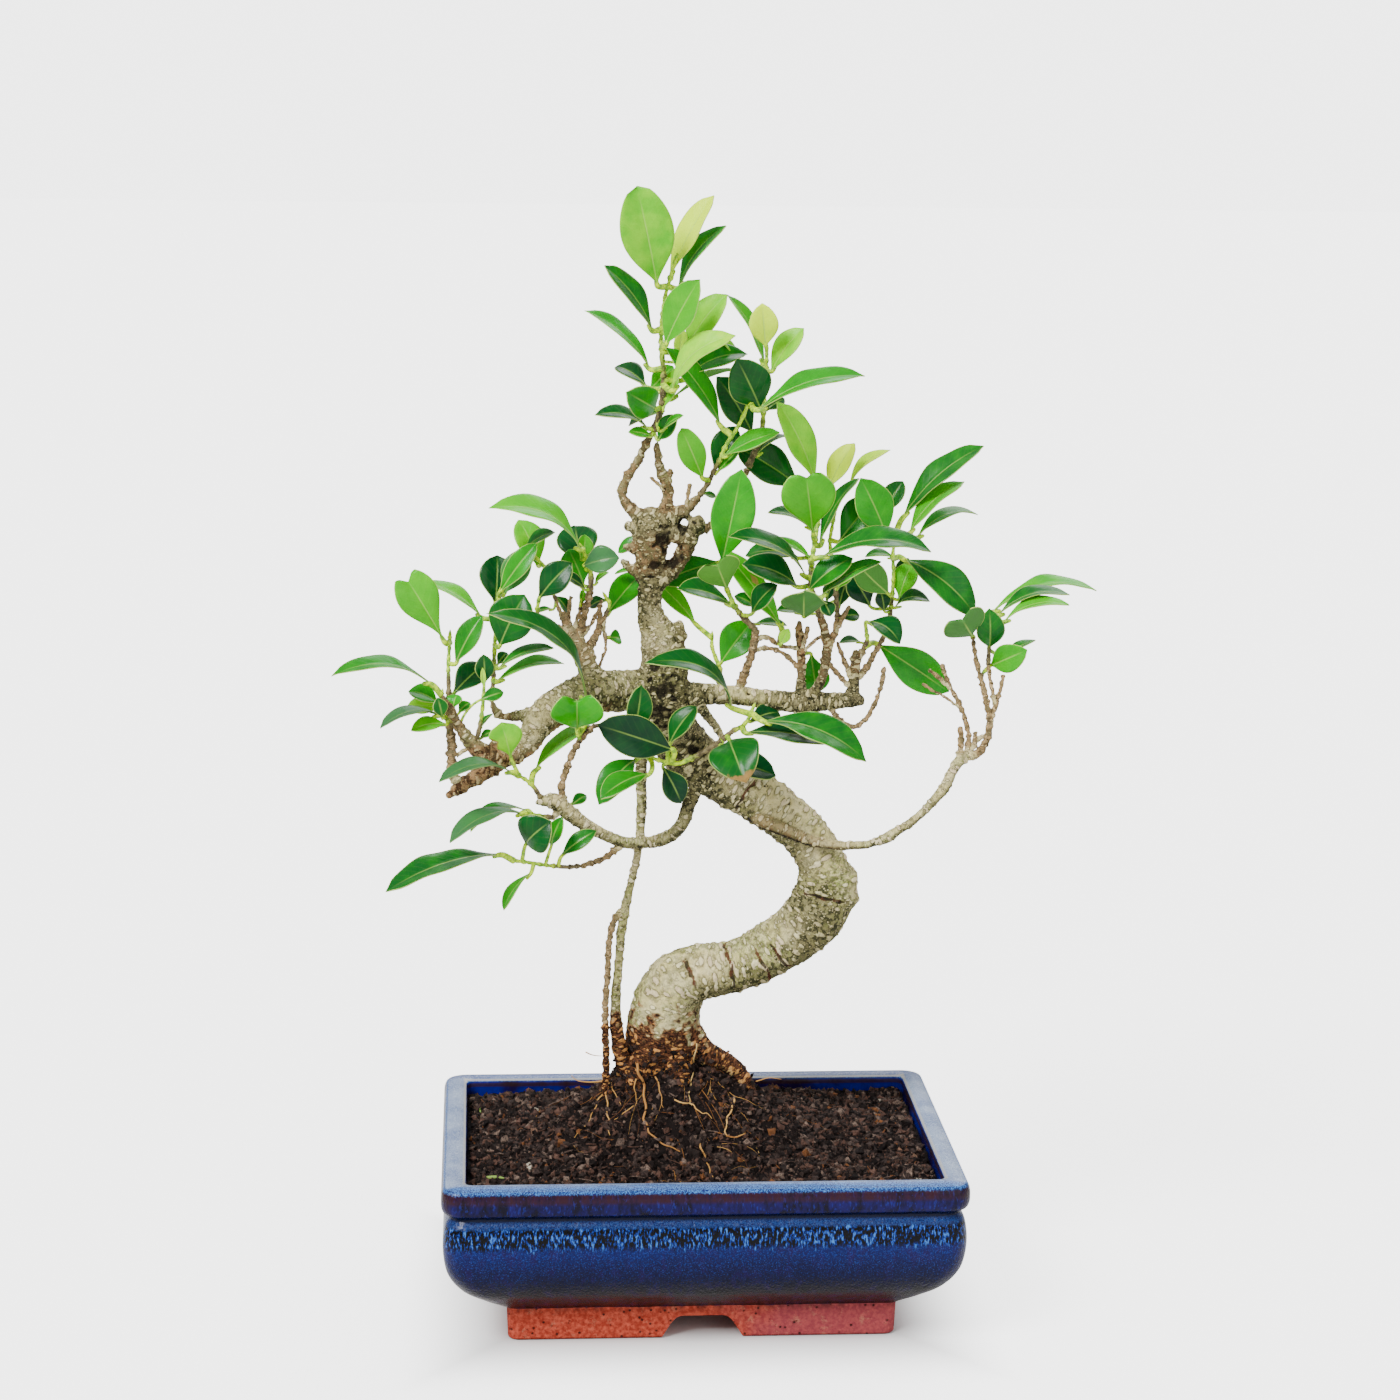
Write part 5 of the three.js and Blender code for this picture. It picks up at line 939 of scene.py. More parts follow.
def glaze_finish(look):
    """Streaked blue glaze over a bare clay foot."""
    glaze = Finish("streaked_glaze", coat_roughness=0.04, specular_ior_level=0.13)
    here = glaze.here()
    x, y, z = glaze.parts(here)
    fine = glaze.cloud(here, 1.9, 2, 0.6)
    grains = glaze.cells(here, 0.8)
    broad = glaze.cloud(here, 0.05, 3)
    streak = glaze.cloud(glaze.stretched(here, (1, 1, 0.28)), 0.95, 3, 0.6)
    drip = glaze.cloud(glaze.stretched(here, (1, 1, 0.3)), 1.05, 3, 0.62)
    blotch = glaze.cloud(glaze.stretched(here, (1, 1, 0.4)), 0.22, 4, 0.65)

    # Dark band with pale drips under the groove, then the lip and the speckled edge of the rim
    ragged = z + (streak - 0.5) * 9
    band = ragged.share(54, 57.5) * (1 - ragged.share(67, 69))
    drips = glaze.layers(
        "010103", (drip.share(0.51, 0.57), "123088"), (drip.share(0.57, 0.65) * 0.7, "4583c4"))
    level = z + (streak - 0.5) * 3
    groove = level.share(64.6, 66.0) * (1 - z.share(70.5, 72))
    lip = glaze.layers(
        "08041a", (blotch.share(0.35, 0.65), "130b4e"), (drip.share(0.56, 0.66) * 0.5, "1e2a86"))
    worn_lip = z.share(77.0, 79.5) * (1 - z.share(82.2, 83.4)) * blotch.share(0.35, 0.62, 0.3, 0.9)

    # Top of the rim, with a darker front and a pale line round its inner edge
    rim = glaze.layers(
        "6c7da0", (broad.share(0.35, 0.65), "8d9db8"), (y.share(74, 82) * 0.75, "3d4f86"),
        (fine.share(0.52, 0.68) * 0.6, "c2cddb"), (fine.share(0.3, 0.44, 1, 0) * 0.6, "2b3e74"))
    front = (0 - y).share(80.5, 84) * (fine * 0.5 + 0.65)
    inner_edge = (abs(x).share(112.6, 113.4, 1, 0) * abs(y).share(76.6, 77.4, 1, 0)).share(0, 1, 1, 0)
    inner_edge = inner_edge * (abs(x).share(114.2, 115.2, 1, 0) * abs(y).share(78.2, 79.2, 1, 0))

    # Inside of the wall, and the outside corners, browner from 18 mm up to 60 mm
    within = (113.4 - abs(x)).share(-1.4, 0.2) * (77.4 - abs(y)).share(-1.4, 0.2) * z.share(50, 52)
    line = z.share(80.5, 81.5) * (1 - z.share(82.6, 83.4))
    inside = glaze.layers("0e1374", (broad.share(0.4, 0.65), "160a30"), (line * 0.8, "2c1a18"))
    corner = z.share(18, 60) * (abs(x) - 118.5).share(0, 5) * (abs(y) - 82).share(0, 5)

    height = z + (streak - 0.5) * 7 + (broad - 0.5) * 9
    body = glaze.layers(
        "020103",
        (height.share(28, 44), (*look.deep_glaze, 1)),
        (height.share(42, 60), "0a1150"),
        (blotch.share(0.48, 0.68) * 0.6, "1a0a40"),
        (fine.share(0.52, 0.64) * height.share(28, 58) * 0.4, "2848a6"),
        (grains.share(0.14, 0.26, 1, 0) * height.share(26, 50) * 0.35, "3157b0"),
        (band, drips),
        (groove * 0.9, glaze.mix(fine.share(0.4, 0.6), "0a1040", "1f3c74")),
        # Painted shade: a near-black band just under the lip
        (z.share(67.6, 69.4) * 0.9, "04051a"),
        (z.share(71, 72.5), lip),
        (worn_lip, "2e1112"),
        (level.share(82.2, 83.6), glaze.mix(fine.share(0.42, 0.6), "0d1858", "457fc4")),
        (z.share(84.0, 84.7) * (1 - front), rim),
        (inner_edge * z.share(83.6, 84.4) * 0.7, "b0ab9c"),
        (within * (1 - z.share(83.4, 84.2)), inside),
        (corner * blotch.share(0.4, 0.6) * 0.9, "24100e"))

    # Bare clay up to the glaze's ragged lower edge
    clay = (16.7 + (broad - 0.5) * 1.5 - z).share(-0.3, 0.3)
    grit = glaze.cloud(here, 0.5, 4, 0.6)
    worn = glaze.cloud(here, 0.16, 4, 0.7)
    pits = glaze.cells(here, 0.24).share(0.08, 0.2, 1, 0)
    specks = glaze.cells(here, 0.7).share(0.1, 0.2, 1, 0) * worn.share(0.5, 0.62)
    warm = glaze.layers(
        "93301f",
        (grit.share(0.35, 0.7), "c65640"),
        ((x + (broad - 0.5) * 60).share(10, 40) * 0.55, "8a4152"),
        (worn.share(0.56, 0.7) * 0.45, "c98468"),
        ((pits + specks).least(1) * 0.85, "1c0d09"),
        (z.share(12.5, 17) * blotch.share(0.42, 0.62) * 0.65, "3c1f1a"),
        (z.share(0.2, 1.6, 1, 0) * 0.6, "3a160e"))

    shine = clay * 0.6 + z.share(84.0, 84.7) * 0.16 + 0.1 + (fine - 0.5) * 0.08
    relief = glaze.bump((streak + broad * 2) * z.share(84, 84.6, 1, 0.2) + grains * 0.3, 0.0004)
    relief = glaze.bump(clay * (grit - pits), 0.0007, relief)
    return glaze.set(
        base_color=glaze.mix(clay, body, warm), roughness=shine,
        coat_weight=(1 - clay) * z.share(26, 62, 0.02, 0.12), normal=relief)


# Earth


def earth_height(x, y):
    """Height of the earth: level by the wall, mounded and heaped up round the trunk, and lumpy."""
    distance = np.hypot((x - MOUND_CENTRE[0]) / MOUND_REACH[0], (y - MOUND_CENTRE[1]) / MOUND_REACH[1])
    mound = MOUND_HEIGHT * np.exp(-(distance ** MOUND_STEEPNESS))
    from_foot = np.hypot((x - HEAP_CENTRE[0]) / HEAP_REACH[0], (y - HEAP_CENTRE[1]) / HEAP_REACH[1])
    mound = mound + HEAP_HEIGHT * np.exp(-(from_foot ** 2))
    lumps = np.sin(x / 5.3) * np.cos(y / 4.1) + np.sin((x + 2 * y) / 9.7)
    return RIM_HEIGHT - EARTH_BELOW_RIM + mound + LUMP_HEIGHT * lumps


def crumbly(x, y):
    """Height of the earth with its crumbs."""
    fine = np.array([
        noise.noise(Vector((a / 2.6, b / 2.6, 4))) * 0.9 + noise.noise(Vector((a / 7, b / 7, 9))) * 1.2
        + abs(noise.noise(Vector((a / 1.3, b / 1.3, 2)))) * 0.7
        for a, b in zip(x.ravel(), y.ravel())])
    return earth_height(x, y) + fine.reshape(x.shape)


def earth_shape():
    """The earth: a crumbly top over a body that fills the pot."""
    shape = Shape()
    (half_x, half_y), radius, (columns, rows) = EARTH_HALF, EARTH_CORNER, EARTH_GRID
    x, y = np.meshgrid(np.linspace(-half_x, half_x, columns), np.linspace(-half_y, half_y, rows))
    past_x, past_y = np.abs(x) - (half_x - radius), np.abs(y) - (half_y - radius)
    reach = np.hypot(past_x, past_y)
    outside = (past_x > 0) & (past_y > 0) & (reach > radius)
    pull = np.where(outside, radius / np.maximum(reach, 1e-9), 1)
    x = np.where(outside, np.sign(x) * (half_x - radius + past_x * pull), x)
    y = np.where(outside, np.sign(y) * (half_y - radius + past_y * pull), y)
    top = np.stack([x, y, crumbly(x, y)], -1).reshape(-1, 3)
    number = np.arange(rows * columns).reshape(rows, columns)
    first = number[:-1, :-1].ravel()
    faces = np.stack([first, first + 1, first + 1 + columns, first + columns], -1).tolist()
    edge = np.concatenate([number[0], number[1:, -1], number[-1, -2::-1], number[-2:0:-1, 0]])
    skirt = [
        top[edge] * (1 - inset / half_x, 1 - inset / half_y, 0) + (0, 0, z) for inset, z in EARTH_SKIRT]
    corners = np.vstack([top, *skirt, (0, 0, EARTH_SKIRT[-1][1])])
    index = [edge] + [len(top) + len(edge) * count + np.arange(len(edge)) for count in range(len(skirt))]
    for upper, lower in zip(index, index[1:]):
        faces += np.stack([upper, lower, np.roll(lower, -1), np.roll(upper, -1)], -1).tolist()
    lowest = index[-1]
    faces += np.stack([lowest, np.full(len(edge), len(corners) - 1), np.roll(lowest, -1)], -1).tolist()
    # The body under the crumbs gets a dark tone: painted shade in the gaps between them
    shape.add(corners, faces, shade=0.12)
    return shape


def lump():
    """A small angular body, one millimetre in radius."""
    angle = (np.arange(4) + 0.5) * 2 * math.pi / 4
    ring = np.stack([np.cos(angle), np.sin(angle), 0 * angle], -1)
    return np.vstack([ring, (0, 0, -1), (0, 0, 1)]), ring_faces(1, 4)


def random_turns(draw, count):
    """Random rotations, as arrays of three by three."""
    turn = unit(draw.normal(size=(count, 4)))
    w, i, j, k = turn.T
    return np.stack([
        np.stack([1 - 2 * (j * j + k * k), 2 * (i * j - k * w), 2 * (i * k + j * w)], -1),
        np.stack([2 * (i * j + k * w), 1 - 2 * (i * i + k * k), 2 * (j * k - i * w)], -1),
        np.stack([2 * (i * k - j * w), 2 * (j * k + i * w), 1 - 2 * (i * i + j * j)], -1)], -2)


def scatter(places, sizes, shades, draw):
    """Angular crumbs of these sizes at these places, each turned and squashed at random."""
    shape = Shape()
    corners, faces = lump()
    for turn, place, size, shade in zip(random_turns(draw, len(places)), places, sizes, shades):
        ragged = corners * draw.uniform(0.7, 1.3, (len(corners), 1)) * draw.uniform(0.45, 1.5, 3) * size
        shape.add(ragged @ turn.T + place, faces, flat=True, shade=shade)
    return shape


def crumb_shape(count, smallest):
    """Loose crumbs, bark bits and a few pale specks on top of the earth."""
    draw = np.random.default_rng(CRUMB_SEED)
    x, y = (draw.uniform(-reach, reach, count) for reach in CRUMB_REACH)
    sizes = smallest + 1.7 * draw.random(count) ** 3
    z = crumbly(x, y) + 0.45 * sizes
    shades = draw.random(count)
    return scatter(np.stack([x, y, z], -1), sizes, shades, draw)


def heap_shape(mesh):
    """Crumbs that cling to the foot of the trunk."""
    draw = np.random.default_rng(HEAP_SEED)
    places = corner_places(mesh)
    x, y, z = places.T
    above = z - earth_height(x, y)
    chance = held(1.2 - above / 14) * (above > -2) * np.where(x > 5, 0.03, 0.15)
    chosen = np.flatnonzero(draw.random(len(places)) < chance)
    sizes = 0.5 + 1.3 * draw.random(len(chosen)) ** 2
    outward = corner_rows(mesh, "normal")[chosen]
    shades = draw.random(len(chosen)) * 0.62
    return scatter(places[chosen] + outward * (0.35 * sizes[:, None]), sizes, shades, draw)


def kept_within(edge, x, y):
    """The places, kept within a rectangle round the pot's middle."""
    return np.clip(x, -edge[0], edge[0]), np.clip(y, -edge[1], edge[1])


def sliver_shape():
    """Slivers of bark and thread-like roots lying on the earth."""
    draw = np.random.default_rng(SLIVER_SEED)
    shape = Shape()
    middles = [draw.uniform(-reach, reach, SLIVERS) for reach in SLIVER_REACH]
    turns, lengths = draw.uniform(0, math.pi, SLIVERS), draw.uniform(2.5, 9, SLIVERS)
    shades = 0.4 + 0.6 * draw.random(SLIVERS)
    share = np.linspace(-0.5, 0.5, 5)
    for x, y, turn, length, shade in zip(*middles, turns, lengths, shades):
        width = draw.uniform(0.12, 0.45)
        side = draw.uniform(-0.2, 0.2) * length * (1 - 4 * share ** 2)
        along = share * length
        path_x, path_y = kept_within(
            SLIVER_EDGE, x + along * math.cos(turn) - side * math.sin(turn),
            y + along * math.sin(turn) + side * math.cos(turn))
        lift = draw.uniform(0.8, 1.9) + draw.uniform(-1, 1) * share
        path = np.stack([path_x, path_y, crumbly(path_x, path_y).mean() + lift], -1)
        shape.add_tube(path, np.full(5, width), 4, length / 4, shade=shade)
    return shape


def earth_finish(look):
    """Damp crumbs of bark and earth, from near black to red brown, with pale specks."""
    earth = Finish("damp_earth", specular_ior_level=0.1)
    here = earth.here()
    shade = earth.stored("shade", "Fac")
    cloud = earth.cloud(here, 0.2, 4, 0.7)
    fine = earth.cloud(here, 1.1, 4, 0.75)
    crumbs = earth.ramp(shade * 0.6 + cloud * 0.22 + fine * 0.18, [
        (0.12, "060505"), (0.34, (*look.earth, 1)), (0.45, "4a3d38"), (0.53, "1c1817"), (0.62, "6d5044"),
        (0.7, "342b29"), (0.8, "8c7668")])
    colour = earth.layers(
        crumbs, (shade.share(0.975, 0.98), "7f5232"), (shade.share(0.9985, 0.999), "c4bba8"),
        (fine.share(0.4, 0.55, 0.45, 0), "050404"))
    return earth.set(base_color=colour, roughness=0.95 - cloud * 0.3, normal=earth.bump(fine + cloud, 0.0012))


# Bark

THICK_LIMB = 2.2
SKIN_VOXEL = 0.95
PLACES_AT_ONCE = 4000
# Places of the dark rings that cross the trunk, with how far round each one reaches
RING_CRACKS = [(17, 166, 5), (34, 167, 5), (43, 174, 4), (61, 203, 5), (22, 253, 4), (-3, 164, 3)]
# Recesses of the head and the collar, sunk and darkened with painted shade: x, z and reach
RECESSES = [
    (-19, 379, 4.5), (-14, 368, 5), (-23, 366, 3.5), (-9, 384, 3), (-18, 306, 6), (-22, 295, 5.5),
    (-14, 292, 4), (-4, 277, 4),
]
# The deepest recess, under the neck, sunk and darkened with painted shade: x and z
HOLLOW = (-23, 317)
# Where the trunk bulges, and how far
ELBOW_BUMPS = [
    (77, 212, 3.2), (76, 201, 2.6), (-16, 166, 1.6), (33, 184, 0.9), (20, 160, 0.9), (44, 170, 0.9)]


def is_thick(name):
    """Whether a limb is part of the blended skin, and not a twig."""
    return name == "trunk" or np.mean([row[3] for row in LIMBS[name]]) >= THICK_LIMB


def knuckles(seed):
    """How a twig thickens at its leaf scars."""
    spacing = 4.2 + seed % 3
    return lambda distance: (
        1 + (0.3 + 0.14 * np.sin(distance * 0.7 + seed))
        * bell((((distance + seed) % spacing) - spacing / 2) / 0.8)
        + 0.1 * np.sin(distance * 1.9 + seed) + 0.07 * np.sin(distance * 4.3 + 2 * seed) - 0.04)


def corky_spots(unrolled, seed):
    """Where each place lies in its corky spot: 0 in the middle and 1 at the edge, and the spot's chance."""
    stretched = unrolled * (0.155, 0.155, 0.38) + seed
    near, centre = np.empty(len(stretched)), np.empty((len(stretched), 3))
    for count, place in enumerate(stretched):
        gaps, middles = noise.voronoi(Vector(place))
        near[count], centre[count] = gaps[0], middles[0]
    chance = np.modf(np.abs(np.sin(centre @ (12.99, 78.23, 37.72)) * 4375.85))[0]
    return np.stack([near / (0.25 + 0.27 * chance), chance, near], -1)


def bark_tints(places, normals, thick):
    """Three masks for the bark at each place: dark, warm and green."""
    x, _, z = places.T
    drift = roughness_at(places, 9, 3)
    patch = roughness_at(places, 22, 7)
    neck = bell((z - 336) / 14)
    knob = np.exp(-(((x + 11) / 6) ** 2 + ((z - 331) / 9) ** 2))
    collar = bell((z - 290) / 19) * bell(((x + 12) / 17) ** 2)
    fork = bell((z - 262) / 18) * (np.abs(x + 2) < 26) * np.clip((14 - x) / 14, 0.2, 1)
    head = (0.9 * bell((z - 368) / 19) + 0.3 * (z > 312) * (1 - 0.8 * neck)) * (np.abs(x + 8) < 24)
    bend = np.exp(-(((x - 52) / 15) ** 2 + ((z - 200) / 16) ** 2)) * 0.6
    # Painted shade: bark that faces down is made darker and greener
    under = held(-normals[:, 2] + 0.15) * 0.8
    right = held((x - 24) / 30) * held((z - 285) / 8)
    left = held((-22 - x) / 16) * (z > 262)
    # Painted light: the right limb's upward faces are kept less dark
    upper = (normals[:, 2] > 0.2) * right
    dark = thick * (
        collar * 1.6 + fork + head + bend + under + 0.4 * held(drift)
        + 1.0 * right - 0.15 * upper + 0.32 * left + 0.5 * knob)
    base = held((144 - z) / 12 + drift + roughness_at(places, 3, 4) * 1.3 + 0.2)
    air_root = (x < -27) & (z < 285)
    base = base * np.maximum(thick, air_root)
    twiggy = np.maximum.reduce([
        held((z - 386) / 9), held((z - 306) / 6) * (x > 13), held((z - 313) / 9) * (x < -42),
        held((-84 - x) / 10), bell((z - 372) / 15) * (np.abs(x + 12) < 24), 0.9 * knob,
        1.5 * held(-normals[:, 2]) * held((-34 - x) / 12) * (z > 262)])
    warm = base + (1 - thick) * 0.6 + thick * twiggy * (0.5 + 0.3 * drift) + thick * air_root * 0.25
    green = thick * held(patch * 1.3 + 0.15 + (z < 215) * 0.35 + under * 1.2) * (1 - base)
    return held(np.stack([dark, warm, green], -1))


def nearest_on_limbs(places):
    """For each place: its limb's number, and where it lies on that limb's unrolled bark."""
    found = []
    for number, name in enumerate(LIMBS):
        if is_thick(name):
            centre, radius, distance = smooth_path(*seen_path(LIMBS[name]), 1.5)
            axes = np.stack(turning_axes(centre), 1)
            found.append((centre, radius, axes, distance, np.full(len(centre), number)))
    centres, radii, axes, distances, limbs = map(np.concatenate, zip(*found))
    nearest = np.empty(len(places), int)
    for start in range(0, len(places), PLACES_AT_ONCE):
        part = slice(start, start + PLACES_AT_ONCE)
        gap = np.linalg.norm(places[part, None] - centres[None], axis=2) - radii
        nearest[part] = gap.argmin(1)
    out = places - centres[nearest]
    along, across, upright = (np.einsum("ij,ij->i", out, axes[nearest][:, count]) for count in range(3))
    return limbs[nearest], np.stack([across, upright, distances[nearest] + along], -1)


def wood_skin(relief):
    """Trunk, thick limbs and air roots, blended into one skin of bark."""
    shape = Shape()
    for name, rows in LIMBS.items():
        if is_thick(name):
            sides = 30 if name == "trunk" else 16
            shape.add_tube(*seen_path(rows), sides, 1.5, rounded=True)
    made = shape.piece("trunk_and_limbs", [], "bark", ["trunk_limbs_and_roots"])
    modify(made, "REMESH", mode="VOXEL", voxel_size=SKIN_VOXEL * MM)
    modify(made, "SMOOTH", factor=0.5, iterations=3)
    fresh_mesh(made)
    roughen(made.data, relief)
    return made


def aside(places, x, z, depth):
    """How far each place is from one on the front view, seen from the front."""
    return np.linalg.norm((places - see(x, z, depth))[:, (0, 2)], axis=1)


def roughen(mesh, relief):
    """Raises the bark's lumps, wrinkles and ring cracks, and stores its masks."""
    places, normals = corner_places(mesh), corner_rows(mesh, "normal")
    limb, unrolled = nearest_on_limbs(places)
    trunk = limb == 0
    girth = np.where(trunk, 1.0, 0.6)
    lumps = roughness_at(places, 11, 1) * 0.7 + roughness_at(places, 4.2, 5) * 0.45
    wrinkles = roughness_at(unrolled * (0.16, 0.16, 0.75) + limb[:, None] * 7, 1, 2) * 0.35
    finer = np.where(trunk, np.where(places[:, 2] > 300, 1.7, np.where(places[:, 2] < 146, 1.25, 1)), 1.35)
    spots = corky_spots(unrolled * finer[:, None], limb[:, None] * 3.0)
    height = (lumps + wrinkles) * girth + relief / finer * np.clip(1.25 - spots[:, 0], 0, 0.9)
    for x, z, raised in ELBOW_BUMPS:
        height += trunk * raised * bell(aside(places, x, z, 0) / 4.6)
    height += 0.5 * trunk * (places[:, 2] > 300) * roughness_at(places, 1.9, 12)
    knobbly = ~trunk & ((places[:, 2] > 318) | (places[:, 0] < -84))
    height += knobbly * 0.5 * bell(((unrolled[:, 2] + limb * 3) % 8.5 - 4.2) / 1.2)
    height += knobbly * 0.7 * roughness_at(places, 3.2, 14)

    # Painted shadow on the trunk under the thin limb that lies along it
    arch, arch_radius, _ = smooth_path(*seen_path(LIMBS["arch_limb"][:8]), 1.0)
    beside = np.flatnonzero(trunk & (places[:, 0] > 15) & (places[:, 2] > 215) & (places[:, 2] < 262))
    gap = np.linalg.norm(places[beside, None] - arch[None], axis=2) - arch_radius
    below = places[beside, 2] < arch[gap.argmin(1), 2]
    shadow_under_arch = np.zeros(len(places))
    shadow_under_arch[beside] = held(1.2 - gap.min(1) / 3) * below

    # Ring cracks, which wander round the trunk, and recesses, sunk and darkened with painted shade
    crack = np.zeros(len(places))
    trunk_line, _, trunk_distance = smooth_path(*seen_path(LIMBS["trunk"]), 1.0)
    for x, z, reach in RING_CRACKS:
        ragged = roughness_at(places, 3.5, x)
        crossing = trunk_distance[aside(trunk_line, x, z, -8).argmin()]
        wander = unrolled[:, 2] - crossing + np.sin(unrolled[:, 0] / 3.1 + x) + ragged
        front = held(1.2 - aside(places, x, z, -8) / (2.4 * reach))
        crack = np.maximum(crack, trunk * bell(wander / (0.75 + 0.5 * ragged)) * np.minimum(front * 2, 1))
    height -= crack * 0.8
    recess = np.zeros(len(places))
    ragged = 1 + 1.3 * roughness_at(places, 3.0, 6)
    for x, z, reach in RECESSES:
        recess = np.maximum(recess, bell(aside(places, x, z, -10) / reach * ragged) * (normals[:, 1] < 0.2))
    height -= recess * 1.1
    hollow = bell(aside(places, *HOLLOW, -12) / 3.2) * ((normals[:, 1] < 0) & trunk)
    height -= hollow * 2.4
    foot = held((140 - places[:, 2]) / 20) * trunk
    height += foot * roughness_at(places * (1, 1, 0.35), 5, 8) * 1.6
    mesh.vertices.foreach_set("co", to_frame(places + normals * height[:, None]).ravel())
    mesh.update()

    look = bark_tints(places, normals, np.ones(len(places)))
    on_arch = held((110 - places[:, 0]) / 60) * (limb == list(LIMBS).index("arch_limb"))
    look[:, :2] = held(look[:, :2] + on_arch[:, None] * (0.2, 0.46))
    # Painted shade: the thin limb's underside, the hollow, the trunk under that limb and the recesses
    beneath = on_arch * held(-normals[:, 2]) * (places[:, 0] < 64)
    shadow = np.maximum(np.maximum.reduce([hollow * 1.6, shadow_under_arch, recess]) * (on_arch == 0), beneath)
    # The crack values hold the ring cracks, then the painted shade
    write_values(
        mesh, bark=unrolled + limb[:, None] * 31, look=look, spots=spots,
        crack=np.stack([crack, shadow, crack * 0], -1))


def twig_shape():
    """Thin twigs, with a knuckle at each leaf scar."""
    shape = Shape()
    for number, (name, rows) in enumerate(LIMBS.items()):
        if is_thick(name):
            continue
        corners, faces, unrolled = tube_rings(
            *seen_path(rows), 10, 0.8, lumps=knuckles(number), rounded=True)
        corners = jittered(corners, 2.0, 0.65)
        look = bark_tints(corners, unit(corners - corners.mean(0)), np.zeros(len(corners)))
        look[:, 1] *= np.clip(unrolled[:, 2] / 7, 0.3, 1)
        shape.add(
            corners, faces, bark=unrolled + number * 31, look=look,
            spots=corky_spots(unrolled * 2.3, number * 3.0), crack=(0, 0, 0))
    return shape


def bark_finish(look):
    """Grey-green bark with rows of pale corky spots, darker and browner in places."""
    bark = Finish("spotted_bark", specular_ior_level=0.14)
    unrolled = bark.stored("bark")
    dark, warm, green = bark.parts(bark.stored("look"))
    crack, shadow, _ = bark.parts(bark.stored("crack"))
    depth, chance, _ = bark.parts(bark.stored("spots"))
    here = bark.here()
    grain = bark.cloud(bark.stretched(unrolled, (0.5, 0.5, 1.5)), 0.9, 4, 0.65)
    fine = bark.cloud(here, 1.6, 3, 0.7)
    patch = bark.cloud(here, 0.12, 3, 0.55)
    mottle = bark.cloud(here, 0.38, 4, 0.65)
    spot = (depth + (fine - 0.5) * 0.3).share(0.8, 1.0, 1, 0)
    dots = bark.cells(here, 0.6).share(0.2, 0.34, 1, 0) * mottle.share(0.4, 0.55)
    dash = bark.cells(bark.stretched(unrolled, (0.3, 0.3, 0.75)), 1.0).share(0.12, 0.26, 1, 0)
    speck = dots * dark.share(0.1, 0.45, 0.2, 1.0) + dash * patch.share(0.36, 0.5)
    # Painted shade: a darker ring round each raised corky spot
    ring = depth.share(1.0, 1.6, 1, 0) * (fine.share(0.35, 0.6) * 0.5 + 0.36)
    shady = mottle.share(0.44, 0.58) * (dark * 0.9 + green * 0.6 + 0.08).least(0.95)
    brown = bark.mix(grain.share(0.45, 0.62), "28150d", "744a30")
    twig = bark.mix(mottle.share(0.4, 0.6), "3e2917", "a68258")
    pale = bark.layers(
        "fff3be", (warm.share(0.3, 0.7), "d4b27e"), (warm.share(0.8, 0.98), "dc9a55"),
        (chance.share(0.6, 0.8) * (1 - warm) * 0.4, "dcb79c"), (dark.share(0.2, 0.8) * 0.7, "cdc286"))
    colour = bark.layers(
        (*look.bark, 1),
        (patch.share(0.4, 0.62), "f2e4ac"),
        (ring, "625c38"),
        (green * grain.share(0.35, 0.62) * 0.8, "98a84c"),
        (dark.share(0.05, 0.6) * 0.5, "857b52"),
        (shady, "45472a"),
        (dark * grain.share(0.3, 0.6, 0.95, 0.45), "1c190e"),
        (warm.share(0.2, 0.75), bark.mix(warm.share(0.8, 0.98), twig, brown)),
        ((spot + speck * (1 - spot)).least(1) * 0.9, pale),
        (crack.share(0.25, 0.6) * 0.9, bark.mix(patch.share(0.45, 0.55), "1f110b", "5c2f20")),
        ((shadow + (mottle - 0.5) * 0.8).share(0.35, 0.8) * 0.9, "120d08"))
    relief = bark.bump(spot * 1.3 + speck * 1.3 + grain * 0.6 + mottle * 1.2, 0.0013)
    return bark.set(base_color=colour, roughness=0.85 - spot * 0.15, normal=bark.bump(fine, 0.0004, relief))


# Surface roots

